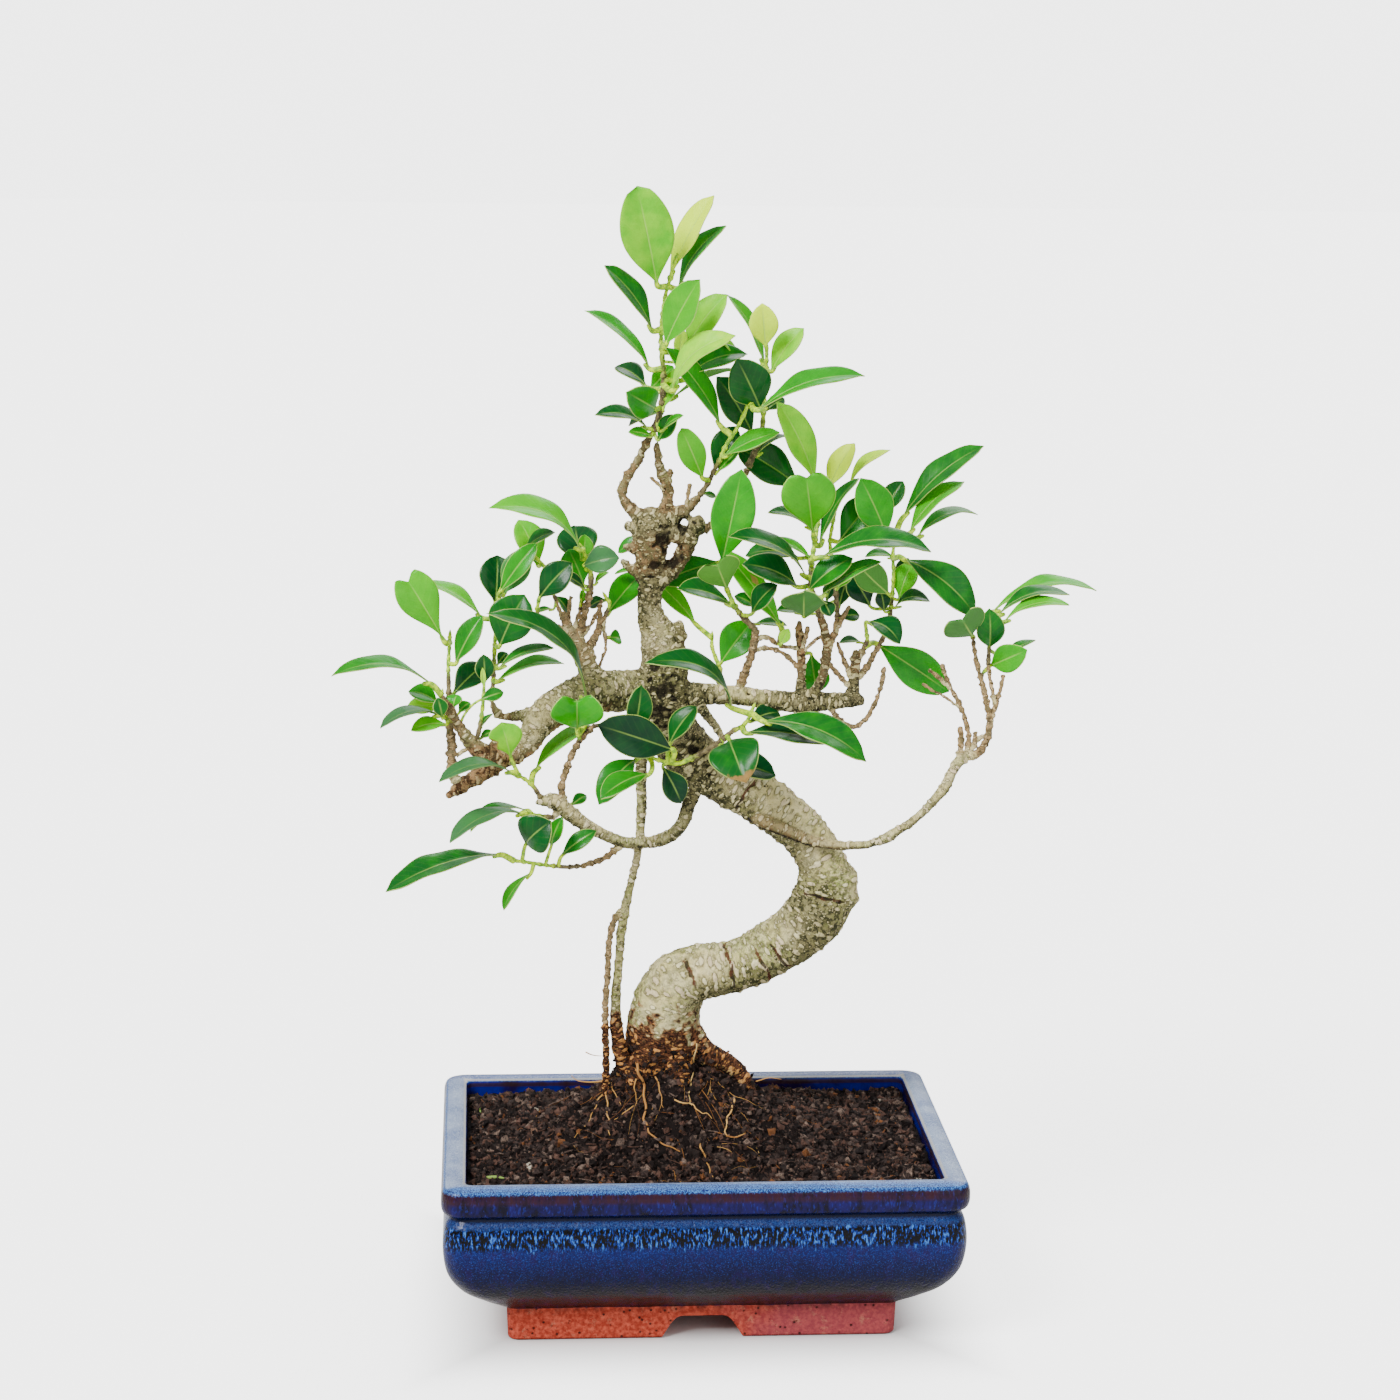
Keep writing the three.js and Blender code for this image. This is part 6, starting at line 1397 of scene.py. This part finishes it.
# Thin roots over the foot of the trunk and the earth, and bits of leaf, whose tone is 2: radius, tone,
# then x and z on the front view
SURFACE_ROOTS = [
    (0.75, 0.5, [(-30, 118), (-27, 110), (-25, 100), (-25.5, 90), (-24, 84), (-20, 79), (-14, 75), (-7, 72)]),
    (0.55, 0.72, [(-45, 112), (-44.5, 105), (-44, 95), (-43, 88), (-42.5, 81)]),
    (0.5, 0.7, [(-45, 109), (-52, 108.5), (-58, 109), (-62, 112)]),
    (0.4, 0.7, [(-45, 104), (-48, 100), (-50, 95), (-53, 88), (-60, 80)]),
    (0.4, 0.8, [(-44, 109), (-42, 107.5), (-40, 110), (-39, 113)]),
    (0.4, 0.7, [(-42, 107), (-40.5, 103), (-37, 97)]),
    (0.38, 0.9, [(0, 128), (-1, 120), (-2, 110), (-3, 104), (-3.5, 100), (-2, 96)]),
    (0.4, 0.8, [(-11, 99), (-6, 97), (-2, 97), (0, 94.5), (3, 91.5), (6, 92), (8, 89)]),
    (0.5, 0.8, [(19, 99), (18.5, 95), (16, 90), (15, 84), (15, 80), (19, 79), (25, 81)]),
    (0.45, 0.4, [(10, 82), (13, 81)]),
    (0.45, 0.4, [(15, 80), (20, 79), (26, 81)]),
    (0.5, 0.6, [(2, 77), (4, 71), (6, 66), (8, 60), (9, 58)]),
    (0.35, 0.7, [(-31, 96), (-36, 92), (-40, 89)]),
    (0.4, 0.6, [(-20, 111), (-18, 105), (-17, 99), (-16.5, 95)]),
    (0.4, 0.6, [(-30, 110), (-30.5, 104), (-29, 97)]),
    (0.35, 0.6, [(30, 108), (36, 110), (42, 109)]),
    (0.35, 0.7, [(-55, 124), (-50, 122), (-46, 122)]),
    (1.3, 2, [(-102, 59), (-99, 59.8), (-96, 59.3)]),
    (0.5, 2, [(-106.5, 96), (-106, 91), (-104.5, 88)]),
]


# How far the thin roots lie above the earth, so that its crumbs don't bury them
ROOT_LIFT = 0.9
LOOSE_ROOTS = 96


def ground_under(trees):
    """A function that finds where a line of sight meets the earth or the wood."""
    def touch(x, z, last):
        start = Vector(EYE)
        heading = Vector((x, 0, z)) - start
        reach = heading.length
        heading.normalize()
        hits = [tree.ray_cast(start, heading) for tree in trees]
        hits = [(place, normal, distance) for place, normal, _, distance in hits if place is not None]
        if not hits:
            return np.array(start + heading * (last or reach)), last
        place, normal, distance = min(hits, key=lambda hit: hit[2])
        if last and abs(distance - last) > 14:
            return np.array(start + heading * last), last
        return np.array(place), distance
    return touch


def root_shape(touch):
    """Fine pale roots that run down the foot of the trunk and over the earth."""
    draw = np.random.default_rng(ROOT_SEED)
    shape = Shape()
    share = np.linspace(0, 1, 7)
    for number in range(LOOSE_ROOTS):
        heading, turn = draw.uniform(0, 2 * math.pi), draw.uniform(-0.6, 0.6)
        length = draw.uniform(5, 24)
        if number % 2:
            x, y = draw.normal(-12, 34), draw.uniform(-66, 40)
        else:
            start = draw.uniform(13, 30)
            x, y = start * 1.1 * np.cos(heading) - 12, start * np.sin(heading) - 2
            turn = turn * 0.6
        way = heading + turn * share
        x, y = kept_within(ROOT_EDGE, x + share * length * np.cos(way), y + share * length * np.sin(way))
        lift = 0.8 + 1.6 * draw.random() * np.sin(math.pi * share)
        radius = draw.uniform(0.07, 0.17) * np.linspace(1, 0.5, 7)
        path = np.stack([x, y, crumbly(x, y) + lift], -1)
        shape.add_tube(path, radius, 5, 1.0, shade=draw.uniform(0.05, 0.85))
    for radius, tone, drawn in SURFACE_ROOTS:
        drawn = np.array(drawn, float)
        steps = max(int(np.linalg.norm(np.diff(drawn, axis=0), axis=1).sum() / 2), 3)
        even = np.linspace(0, len(drawn) - 1, steps)
        x, z = (np.interp(even, np.arange(len(drawn)), drawn[:, axis]) for axis in (0, 1))
        wander = radius * 0.9 * np.sin(even * 5 + x[0])
        last, places = None, []
        for column, row in zip(x + wander, z):
            place, last = touch(column, row, last)
            places.append(place + unit(EYE - place) * (radius * 0.7 + ROOT_LIFT))
        taper = np.linspace(1, 0.35, len(places)) * radius
        shape.add_tube(np.array(places), taper, 7, 1.0, rounded=True, shade=tone)
    return shape


def root_finish(look):
    """Young roots, from orange brown to pale straw."""
    root = Finish("young_root", specular_ior_level=0.3)
    shade = root.stored("shade", "Fac")
    cloud = root.cloud(root.here(), 0.5, 3, 0.6)
    colour = root.ramp(shade * 0.8 + cloud * 0.25, [
        (0.15, "4e2c17"), (0.45, "94602f"), (0.75, (*look.root, 1)), (1.0, "dccb90")])
    colour = root.mix(shade.share(1.4, 1.6), colour, "7d9a45")
    return root.set(base_color=colour, roughness=0.65 + cloud * 0.2, normal=root.bump(cloud, 0.0003))


# Leaves


def blade_width(share, trait):
    """Half of the blade's width, as a share, along the blade: a tapered foot and a short blunt point."""
    share = held(share)
    if trait in ("notched", "deep_notch", "bitten"):
        return np.sin(math.pi * share ** 2.0) ** np.interp(share, (0, 1), (1.05, 0.42))
    if trait == "round":
        return np.sin(math.pi * share ** 1.28) ** np.interp(share, (0, 1), (1, 0.44))
    body = np.sin(math.pi * share ** 1.2) ** np.interp(share, (0, 1), (0.98, 0.6))
    return body * (1 - 0.3 * bell((share - 0.965) / 0.03))


def nearest_place(points, target):
    """The place on a path that is nearest to the target."""
    lines = np.diff(points, axis=0)
    share = held(((target - points[:-1]) * lines).sum(1) / (lines ** 2).sum(1))
    places = points[:-1] + share[:, None] * lines
    return places[np.linalg.norm(target - places, axis=1).argmin()]


class Leaf:
    """Where one leaf lies: its base and tip, and its three directions."""

    def __init__(self, row):
        base_x, base_z, tip_x, tip_z, base_depth, tip_depth, self.width, roll, self.arch, self.tone = row
        roll = min(roll, STEEPEST_ROLL) if roll < 90 else roll
        self.base = see(base_x, base_z, base_depth)
        self.tip = see(tip_x, tip_z, tip_depth)
        self.length = np.linalg.norm(self.tip - self.base)
        self.along = (self.tip - self.base) / self.length
        normal = EYE - self.base
        normal = unit(normal - self.along * (normal @ self.along))
        turned = np.cross(self.along, normal)
        if turned @ UPWARD < 0:
            turned = -turned
        self.normal = normal * math.cos(math.radians(roll)) + turned * math.sin(math.radians(roll))
        self.across = np.cross(self.along, self.normal)


def blade(leaf, draw, trait):
    """Corners, faces and values of one blade, with its midrib raised underneath."""
    deep = trait == "deep_notch"
    notched = deep or trait == "notched"
    stations, halves = (22, 8) if notched else (22, 6) if leaf.length > 24 else (12, 4)
    share = np.linspace(0, 1, stations + 1) ** 0.95
    side = np.linspace(-1, 1, 2 * halves + 1)
    side = np.sign(side) * np.abs(side) ** (1.3 if notched else 0.85)
    half_width = leaf.width / 2 * blade_width(share, trait)
    half_width = np.maximum(half_width, np.where(share < 0.5, 0.5, 0.14))
    sideways = half_width[:, None] * side
    if trait == "bitten":
        bite = bell((share[:, None] - 0.6) / 0.1)
        sideways = np.where(side < 0, sideways * (1 - 0.45 * bite), sideways)
    phase = draw.uniform(0, 2 * math.pi, 2)
    waviness = 2.4 if trait == "wavy" else 1
    wave = waviness * leaf.width * (
        0.022 * np.sin(share * leaf.length / 4.2 + phase[0])[:, None] * side ** 2
        + 0.016 * np.sin(share * leaf.length / 3.1 + phase[1])[:, None] * side ** 3)
    bow = leaf.arch * 4 * share * (1 - share)
    fold = BLADE_FOLD * (2.2 if deep else 1)
    lift = bow[:, None] + np.abs(sideways) * fold * (1.15 - 0.3 * side ** 2) + wave
    rib = bell(sideways / 0.6) * (1 - share[:, None]) ** 0.6
    reach = np.repeat(share[:, None] * leaf.length, len(side), 1)
    if notched:
        notch = held((share[:, None] - 0.6) / 0.4) ** 2
        depth, spread = (9, 3.4) if deep else (min(5.5, 0.2 * leaf.length), 2.2)
        reach = reach - notch * depth * bell(sideways / spread)
    middle = (
        leaf.base + reach[..., None] * leaf.along + sideways[..., None] * leaf.across
        + lift[..., None] * leaf.normal)
    upper = middle + leaf.normal * (0.2 - 0.14 * rib)[..., None]
    lower = middle - leaf.normal * (0.2 + 0.4 * rib)[..., None]
    rings = np.concatenate([upper, lower[:, ::-1]], 1)
    sides = rings.shape[1]
    corners = np.vstack([rings.reshape(-1, 3), rings[0].mean(0), rings[-1].mean(0)])
    faces = ring_faces(len(rings), sides)
    column = np.tile(np.arange(sides), len(rings) - 1)
    flat = np.concatenate([(column == len(side) - 1) | (column == sides - 1), np.ones(2 * sides, bool)])
    ends = np.zeros(2)
    across = np.append(np.tile(np.append(side, side[::-1]), len(rings)), ends)
    along = np.append(np.repeat(share, sides), (0, 1))
    under = np.append(np.tile(np.repeat((0.0, 1.0), len(side)), len(rings)), ends)
    half = np.append(np.repeat(half_width, sides), ends)
    even = np.ones(len(along))
    values = {
        "blade": np.stack([across, along, even * leaf.length], -1),
        "leaf_look": np.stack([even * leaf.tone, under, even * draw.random()], -1),
        "leaf_mark": np.stack([half, even * LEAF_TRAITS.get(trait, 0), 0 * even], -1),
    }
    return corners, faces, flat, values


def stem_values(lime):
    """The values of a stem's corners: only how far it has turned from bark to lime green counts."""
    mark = np.stack([0 * lime, 0 * lime, lime], -1) if np.ndim(lime) else (0, 0, lime)
    return {"slot": 1, "blade": (0, 0, 0), "leaf_look": (0, 0, 0), "leaf_mark": mark}


def add_petiole(shape, leaf, stem_points, thick):
    """Adds the stalk that holds a leaf."""
    start = nearest_place(stem_points, leaf.base)
    gap = np.linalg.norm(leaf.base - start)
    under = leaf.base - leaf.normal * 0.3
    way = [start, under, under + leaf.along * min(3, leaf.length * 0.2)]
    thick = thick * np.interp(leaf.length, (12, 36), (0.75, 1.65))
    end = thick * 0.6
    radii = [thick, thick * 0.85, end]
    if gap > LONG_PETIOLE:
        way.insert(1, (leaf.base + start) / 2 - leaf.along * PETIOLE_BEND * gap)
        radii.insert(1, thick * 0.9)
    elif gap < 1.5:
        way, radii = [under - leaf.along * 1.5] + way[2:], [thick, end]
    lime = 0.55 + 0.45 * min(leaf.tone * 2, 1)
    shape.add_tube(np.array(way), radii, 8, 0.9, rounded=True, **stem_values(lime))


def leafy_shape(name, seed, petiole_radius):
    """One shoot: its stem with knuckles and an end bud, its petioles and its leaves."""
    path, depths, radii, leaves = SHOOTS[name]
    draw = np.random.default_rng(seed)
    share = np.linspace(0, 1, len(path))
    x, z = np.array(path, float).T
    depths, radii = (np.interp(share, np.linspace(0, 1, len(row)), row) for row in (depths, radii))
    points, radii = see(x, z, depths), np.maximum(radii, petiole_radius * 0.9)
    shape = Shape()
    corners, faces, unrolled = tube_rings(points, radii, 9, 0.8, lumps=knuckles(seed), rounded=True)
    total = max(unrolled[:, 2].max(), 1e-6)
    green = held((unrolled[:, 2] / total - 0.12) * 1.6)
    shape.add(jittered(corners, 2.2, 0.12), faces, **stem_values(green))
    bud = points[-1] + unit(points[-1] - points[-2]) * np.array([(-0.4,), (1.2,), (2.6,), (3.6,)])
    shape.add_tube(bud, np.array((0.9, 1.0, 0.62, 0.12)) * radii[-1], 8, 0.6, **stem_values(1))
    for number, row in enumerate(leaves):
        leaf = Leaf(row)
        add_petiole(shape, leaf, points, petiole_radius)
        corners, faces, flat, values = blade(leaf, draw, ODD_LEAVES.get((name, number)))
        shape.add(corners, faces, flat=flat, **values)
    return shape


def leaf_finish(look):
    """Glossy blade with a pale midrib, faint veins, a thin pale rim and a greyer underside."""
    leaf = Finish("glossy_leaf", specular_ior_level=0.13, coat_roughness=0.15)
    here = leaf.here()
    across, along, length = leaf.parts(leaf.stored("blade"))
    tone, under, chance = leaf.parts(leaf.stored("leaf_look"))
    half, mark, _ = leaf.parts(leaf.stored("leaf_mark"))
    reach = abs(across)
    offset = reach * half
    cloud = leaf.cloud(here, 0.13, 2, 0.5)
    fine = leaf.cloud(here, 1.2, 3, 0.6)
    green = leaf.ramp(tone + (cloud - 0.5) * 0.25 + (chance - 0.5) * 0.12, [
        (0.0, "033319"), (0.25, (*look.dark_leaf, 1)), (0.48, "219a06"), (0.7, "55bc00"), (0.86, "9ae600"),
        (1.0, (*look.young_leaf, 1))])
    veins = ((along * length * 0.55 - offset * 0.62) * 2.6).wave().share(0.6, 1.0) * reach.share(0.06, 0.2)
    grey = leaf.mix(tone.share(0.15, 0.8), "4c7a46", "8cc43c")
    rib = offset.share(0.12, 0.62, 1, 0) * along.share(0.6, 1.0, 1, 0)
    rim = (half * (1 - reach)).share(0.15, 0.5, 1, 0) * reach.share(0.7, 0.9)

    # Dry tips, spots and bitten edges on the leaves marked for them, and a painted grey sheen on grey ones
    dry = leaf.cloud(here, 0.4, 3, 0.6)
    tip = mark.share(0.4, 0.45) * mark.share(0.55, 0.6, 1, 0) * (along + (dry - 0.5) * 0.2).share(0.87, 0.91)
    spot = (abs(along - 0.55) * 6 + abs(across - 0.35) * 2).share(0.35, 0.6, 1, 0)
    spot = spot * mark.share(0.15, 0.2) * mark.share(0.3, 0.35, 1, 0)
    bite = (abs(along - 0.6) * 5).share(0.5, 0.9, 1, 0) * across.share(-0.95, -0.75, 1, 0)
    bite = bite * mark.share(0.65, 0.7) * mark.share(0.8, 0.85, 1, 0)
    brown = tip.most(spot).most(bite)
    # Painted reflection: a grey sheen, which is also made a little rougher
    grey_sheen = mark.share(0.9, 0.95)

    colour = leaf.layers(
        green,
        (veins * (0.008 + tone * 0.03), "a7cf5c"),
        (fine.share(0.5, 0.75) * 0.12, "0c3a12"),
        (under * tone.share(0.55, 0.9, 0.62, 0.12), grey),
        (rib * (0.3 + under * 0.25 + tone * 0.25), "b4de62"),
        (rim * 0.6, "c8dc70"),
        (brown * 0.85, leaf.mix(dry, "6e4a22", "b98f4f")),
        (grey_sheen * 0.55, "47704c"))
    relief = leaf.bump(veins * 0.12 - rib * 0.8 + cloud * 1.5, 0.00025)
    return leaf.set(
        base_color=colour, roughness=0.3 + under * 0.25 + fine * 0.08 + brown * 0.3 + grey_sheen * 0.12,
        coat_weight=(1 - under) * tone.share(0.4, 0.9, 0.16, 0.0), normal=leaf.bump(fine, 0.00007, relief))


def stem_finish(look):
    """Young stems: brown and spotted at the foot, lime green at the end."""
    stem = Finish("young_stem", specular_ior_level=0.35)
    here = stem.here()
    _, _, lime = stem.parts(stem.stored("leaf_mark"))
    cloud = stem.cloud(here, 0.4, 3, 0.6)
    spots = 1 - stem.cells(here, 0.9).share(0.15, 0.32)
    brown = stem.layers("4a3f25", (cloud.share(0.35, 0.65), "85774e"), (spots * 0.6, "bfae80"))
    green = stem.mix(cloud.share(0.35, 0.65), "78ac2c", (*look.young_leaf, 1))
    colour = stem.mix((lime + (cloud - 0.5) * 0.3).share(0.25, 0.65), brown, green)
    return stem.set(base_color=colour, roughness=0.6 - lime * 0.15, normal=stem.bump(spots + cloud, 0.0003))


# Stage

FLOOR_LIFT = 0.1
FLOOR_REACH = 14
GAP_UNDER_POT = 0.0002
# How far from the pot's middle the floor's glow starts and is whole, along and across: nearer, the floor is a
# painted shadow
GLOW_ALONG = (88, 150)
GLOW_ACROSS = (52, 125)


def light(name, heading, strength, softness):
    """A soft lamp that shines along a heading, spread over this many degrees."""
    lamp = bpy.data.lights.new(name, "SUN")
    lamp.energy = strength
    lamp.angle = math.radians(softness)
    add_object(name, lamp).rotation_euler = Vector(heading).to_track_quat("-Z", "Y").to_euler()


def place_camera():
    """The camera at the photo's angle."""
    lens = bpy.data.cameras.new("camera")
    lens.sensor_width = SENSOR_MM
    lens.lens = SENSOR_MM * FOCAL_PIXELS / PHOTO_PIXELS
    lens.clip_start, lens.clip_end = 0.05, 50
    camera = add_object("camera", lens)
    turns = ((-CAMERA_YAW, "Z"), (math.pi / 2 - CAMERA_PITCH, "X"), (CAMERA_ROLL, "Z"))
    camera.matrix_world = Matrix.Translation(to_frame(EYE))
    for angle, axis in turns:
        camera.matrix_world = camera.matrix_world @ Matrix.Rotation(angle, 4, axis)
    bpy.context.scene.camera = camera


def sky_finish(look):
    """Even pale light from all sides, in front of a paler backdrop."""
    world = bpy.context.scene.world or bpy.data.worlds.new("sky")
    bpy.context.scene.world = world
    world.use_nodes = True
    sky = Nodes(world.node_tree)
    even, backdrop = (
        sky.node("ShaderNodeBackground", None, {"Color": (1, 1, 1, 1), "Strength": strength})["Background"]
        for strength in (look.sky_brightness, look.backdrop_brightness))
    seen = sky.node("ShaderNodeLightPath")["Is Camera Ray"]
    both = sky.node("ShaderNodeMixShader", None, {0: seen, 1: even, 2: backdrop})["Shader"]
    sky.tree.links.new(both.output, sky.tree.nodes["World Output"].inputs["Surface"])


def floor_piece(look):
    """A plain pale floor, lifted towards the backdrop where the camera sees it, except round the pot, where
    it stays darker as a painted shadow.
    """
    pale = look.floor_brightness
    finish = Finish("pale_floor", roughness=0.8, specular_ior_level=0.2)
    here = finish.here()
    cloud = finish.cloud(here, 0.004, 2)
    finish.set(base_color=finish.mix(cloud, (pale, pale, pale * 0.985, 1), (pale * 0.98,) * 3 + (1,)))
    glow = finish.node("ShaderNodeEmission", None, {"Strength": look.floor_glow})["Emission"]
    seen = finish.node("ShaderNodeLightPath")["Is Camera Ray"]
    x, y, _ = finish.parts(here)
    # Painted shadow: there is no glow near the pot, so the floor there stays darker
    away = abs(x).share(*GLOW_ALONG).most(abs(y).share(*GLOW_ACROSS))
    lit = Value(finish, finish.surface.outputs[0])
    both = finish.node("ShaderNodeMixShader", None, {0: seen * away * FLOOR_LIFT, 1: lit, 2: glow})["Shader"]
    finish.tree.links.new(both.output, finish.tree.nodes["Material Output"].inputs["Surface"])
    mesh = bpy.data.meshes.new("floor")
    form = bmesh.new()
    bmesh.ops.create_grid(form, x_segments=1, y_segments=1, size=FLOOR_REACH)
    form.to_mesh(mesh)
    form.free()
    mesh.materials.append(finish.material)
    made = add_object("floor", mesh)
    made.location = (0, 0, CAD_BOX[0][2] - GAP_UNDER_POT)


# Settings


class BonsaiSizes(bpy.types.PropertyGroup):
    """The sizes of the bonsai's finer parts."""

    bark_relief: FloatProperty(
        name="Bark relief", description="How far the corky spots of the bark stand out", unit="LENGTH",
        default=0.0009, min=0, max=0.003, precision=5)
    petiole_radius: FloatProperty(
        name="Petiole radius", description="Radius of the stalks that hold the leaves", unit="LENGTH",
        default=0.001, min=0.0004, max=0.002, precision=5)
    crumb_radius: FloatProperty(
        name="Crumb radius", description="Radius of the smallest loose crumbs of earth", unit="LENGTH",
        default=0.0005, min=0.0002, max=0.002, precision=5)
    crumb_count: IntProperty(
        name="Crumb count", description="Number of loose crumbs on the earth",
        default=18000, min=0, max=24000)


class BonsaiLooks(bpy.types.PropertyGroup):
    """The settings of the bonsai's looks."""

    deep_glaze: FloatVectorProperty(
        name="Deep glaze", description="Colour of the middle of the wall's glaze", subtype="COLOR",
        default=tint("0c0b30")[:3], min=0, max=1)
    earth: FloatVectorProperty(
        name="Earth", description="Main colour of the damp earth", subtype="COLOR",
        default=tint("241c1a")[:3], min=0, max=1)
    root: FloatVectorProperty(
        name="Young roots", description="Colour of the fine surface roots", subtype="COLOR",
        default=tint("cb9c58")[:3], min=0, max=1)
    bark: FloatVectorProperty(
        name="Bark", description="Colour of the smooth bark", subtype="COLOR",
        default=tint("e8d898")[:3], min=0, max=1)
    dark_leaf: FloatVectorProperty(
        name="Old leaves", description="Colour of the oldest leaves", subtype="COLOR",
        default=tint("085a16")[:3], min=0, max=1)
    young_leaf: FloatVectorProperty(
        name="Young leaves", description="Colour of the youngest leaves", subtype="COLOR",
        default=tint("dcff04")[:3], min=0, max=1)
    floor_brightness: FloatProperty(
        name="Floor brightness", description="How pale the floor is", subtype="FACTOR",
        default=0.7, min=0, max=1)
    floor_glow: FloatProperty(
        name="Floor glow", description="How far the floor is lifted towards the backdrop", subtype="FACTOR",
        default=30, min=0, max=60)
    light_strength: FloatProperty(
        name="Light strength", description="Strength of the main lamp", subtype="FACTOR",
        default=4.7, min=0, max=20)
    sky_brightness: FloatProperty(
        name="Sky brightness", description="Brightness of the light from all sides", subtype="FACTOR",
        default=0.58, min=0, max=8)
    backdrop_brightness: FloatProperty(
        name="Backdrop brightness", description="Brightness of the backdrop", subtype="FACTOR",
        default=4.1, min=0, max=8)


# Operators


class OBJECT_OT_bonsai_pot(Operator):
    """Build the glazed pot with its rim, feet, gaps and drain holes"""

    bl_idname = "object.bonsai_pot"
    bl_label = "Pot"

    def execute(self, context):
        look = context.scene.bonsai_looks
        shape = Shape()
        shape.add(*closed_rings(pot_rings()))
        pot = shape.piece("glazed_pot", [], "glaze", ["pot"])
        half_length, half_depth = FOOT_LENGTH / 2 - FOOT_WIDTH, FOOT_DEPTH / 2 - FOOT_WIDTH
        inner = [
            rounded_ring(half_length - inset, half_depth - inset, 4, z)
            for inset, z in ((0, -2), (0, 14), (1, 15.5))]
        tools = [cutter(*closed_rings(inner))]
        tools += [cutter(*closed_rings(notch_rings(RIM_LENGTH, along_x))) for along_x in (False, True)]
        angle = np.arange(32) * math.pi / 16
        for side in (-1, 1):
            rings = [
                np.stack([
                    side * DRAIN_SPACING / 2 + DRAIN_RADIUS * np.cos(angle), DRAIN_RADIUS * np.sin(angle),
                    np.full(32, z)], -1)
                for z in (5.0, FLOOR_TOP + 5)]
            tools.append(cutter(*closed_rings(rings)))
        cut(pot, tools)
        pot.data.materials.append(glaze_finish(look))
        bevel_shading(pot.data)
        return {"FINISHED"}


class OBJECT_OT_bonsai_earth(Operator):
    """Build the earth, its loose crumbs and the slivers of bark on it"""

    bl_idname = "object.bonsai_earth"
    bl_label = "Earth"

    def execute(self, context):
        look = context.scene.bonsai_looks
        sizes = context.scene.bonsai_sizes
        finish = [earth_finish(look)]
        crumbs = crumb_shape(sizes.crumb_count, sizes.crumb_radius / MM)
        for name, shape in (
                ("earth", earth_shape()), ("loose_crumbs", crumbs), ("bark_slivers", sliver_shape())):
            shape.piece(name, finish, "earth", ["soil"])
        return {"FINISHED"}


class OBJECT_OT_bonsai_trunk(Operator):
    """Build the trunk, thick limbs and air roots as one skin of bark, and the twigs"""

    bl_idname = "object.bonsai_trunk"
    bl_label = "Trunk and twigs"

    def execute(self, context):
        look = context.scene.bonsai_looks
        sizes = context.scene.bonsai_sizes
        finish = bark_finish(look)
        skin = wood_skin(sizes.bark_relief / MM)
        heap_shape(skin.data).piece("clinging_crumbs", [earth_finish(look)], "earth", ["soil"])
        skin.data.materials.append(finish)
        skin.data.shade_smooth()
        twig_shape().piece("twigs", [finish], "bark", ["trunk_limbs_and_roots"])
        return {"FINISHED"}


class OBJECT_OT_bonsai_surface_roots(Operator):
    """Lay fine pale roots over the foot of the trunk and the earth"""

    bl_idname = "object.bonsai_surface_roots"
    bl_label = "Surface roots"

    def execute(self, context):
        look = context.scene.bonsai_looks
        trees = []
        for name in ("earth", "trunk_and_limbs"):
            mesh = bpy.data.objects[name].data
            faces = [tuple(face.vertices) for face in mesh.polygons]
            trees.append(BVHTree.FromPolygons(corner_places(mesh).tolist(), faces))
        root_shape(ground_under(trees)).piece(
            "fine_roots", [root_finish(look)], "bark", ["trunk_limbs_and_roots"])
        return {"FINISHED"}


class OBJECT_OT_bonsai_leaves(Operator):
    """Build every leafy shoot: its stem, buds, petioles and leaves"""

    bl_idname = "object.bonsai_leaves"
    bl_label = "Leafy shoots"

    def execute(self, context):
        look = context.scene.bonsai_looks
        sizes = context.scene.bonsai_sizes
        finishes = [leaf_finish(look), stem_finish(look)]
        for seed, name in enumerate(SHOOTS):
            shape = leafy_shape(name, seed, sizes.petiole_radius / MM)
            shape.piece("leafy_" + name, finishes, "leaf", [name])
        return {"FINISHED"}


class OBJECT_OT_bonsai_stage(Operator):
    """Set up the camera, the pale floor and the soft light"""

    bl_idname = "object.bonsai_stage"
    bl_label = "Stage"

    def execute(self, context):
        look = context.scene.bonsai_looks
        place_camera()
        floor_piece(look)
        light("main_light", (0.62, 0.62, -0.85), look.light_strength, 24)
        light("front_light", (-0.5, 0.8, -0.35), look.light_strength * 0.16, 50)
        light("back_light", (-0.35, -0.8, -0.75), look.light_strength * 0.35, 40)
        sky_finish(look)
        return {"FINISHED"}


STEPS = (
    OBJECT_OT_bonsai_pot, OBJECT_OT_bonsai_earth, OBJECT_OT_bonsai_trunk, OBJECT_OT_bonsai_surface_roots,
    OBJECT_OT_bonsai_leaves, OBJECT_OT_bonsai_stage)


class VIEW3D_PT_bonsai(Panel):
    """The bonsai's settings and steps"""

    bl_label = "Chinese banyan bonsai"
    bl_space_type = "VIEW_3D"
    bl_region_type = "UI"
    bl_category = "Bonsai"

    def draw(self, context):
        for group in (context.scene.bonsai_sizes, context.scene.bonsai_looks):
            for name in type(group).__annotations__:
                self.layout.prop(group, name)
        for step in STEPS:
            self.layout.operator(step.bl_idname)


CLASSES = (BonsaiSizes, BonsaiLooks, *STEPS, VIEW3D_PT_bonsai)


def register():
    for kind in CLASSES:
        bpy.utils.register_class(kind)
    bpy.types.Scene.bonsai_sizes = PointerProperty(type=BonsaiSizes)
    bpy.types.Scene.bonsai_looks = PointerProperty(type=BonsaiLooks)


def unregister():
    del bpy.types.Scene.bonsai_looks
    del bpy.types.Scene.bonsai_sizes
    for kind in reversed(CLASSES):
        bpy.utils.unregister_class(kind)


def main():
    """Registers the add-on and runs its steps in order."""
    register()
    for step in STEPS:
        group, name = step.bl_idname.split(".")
        getattr(getattr(bpy.ops, group), name)()


if __name__ == "__main__":
    main()
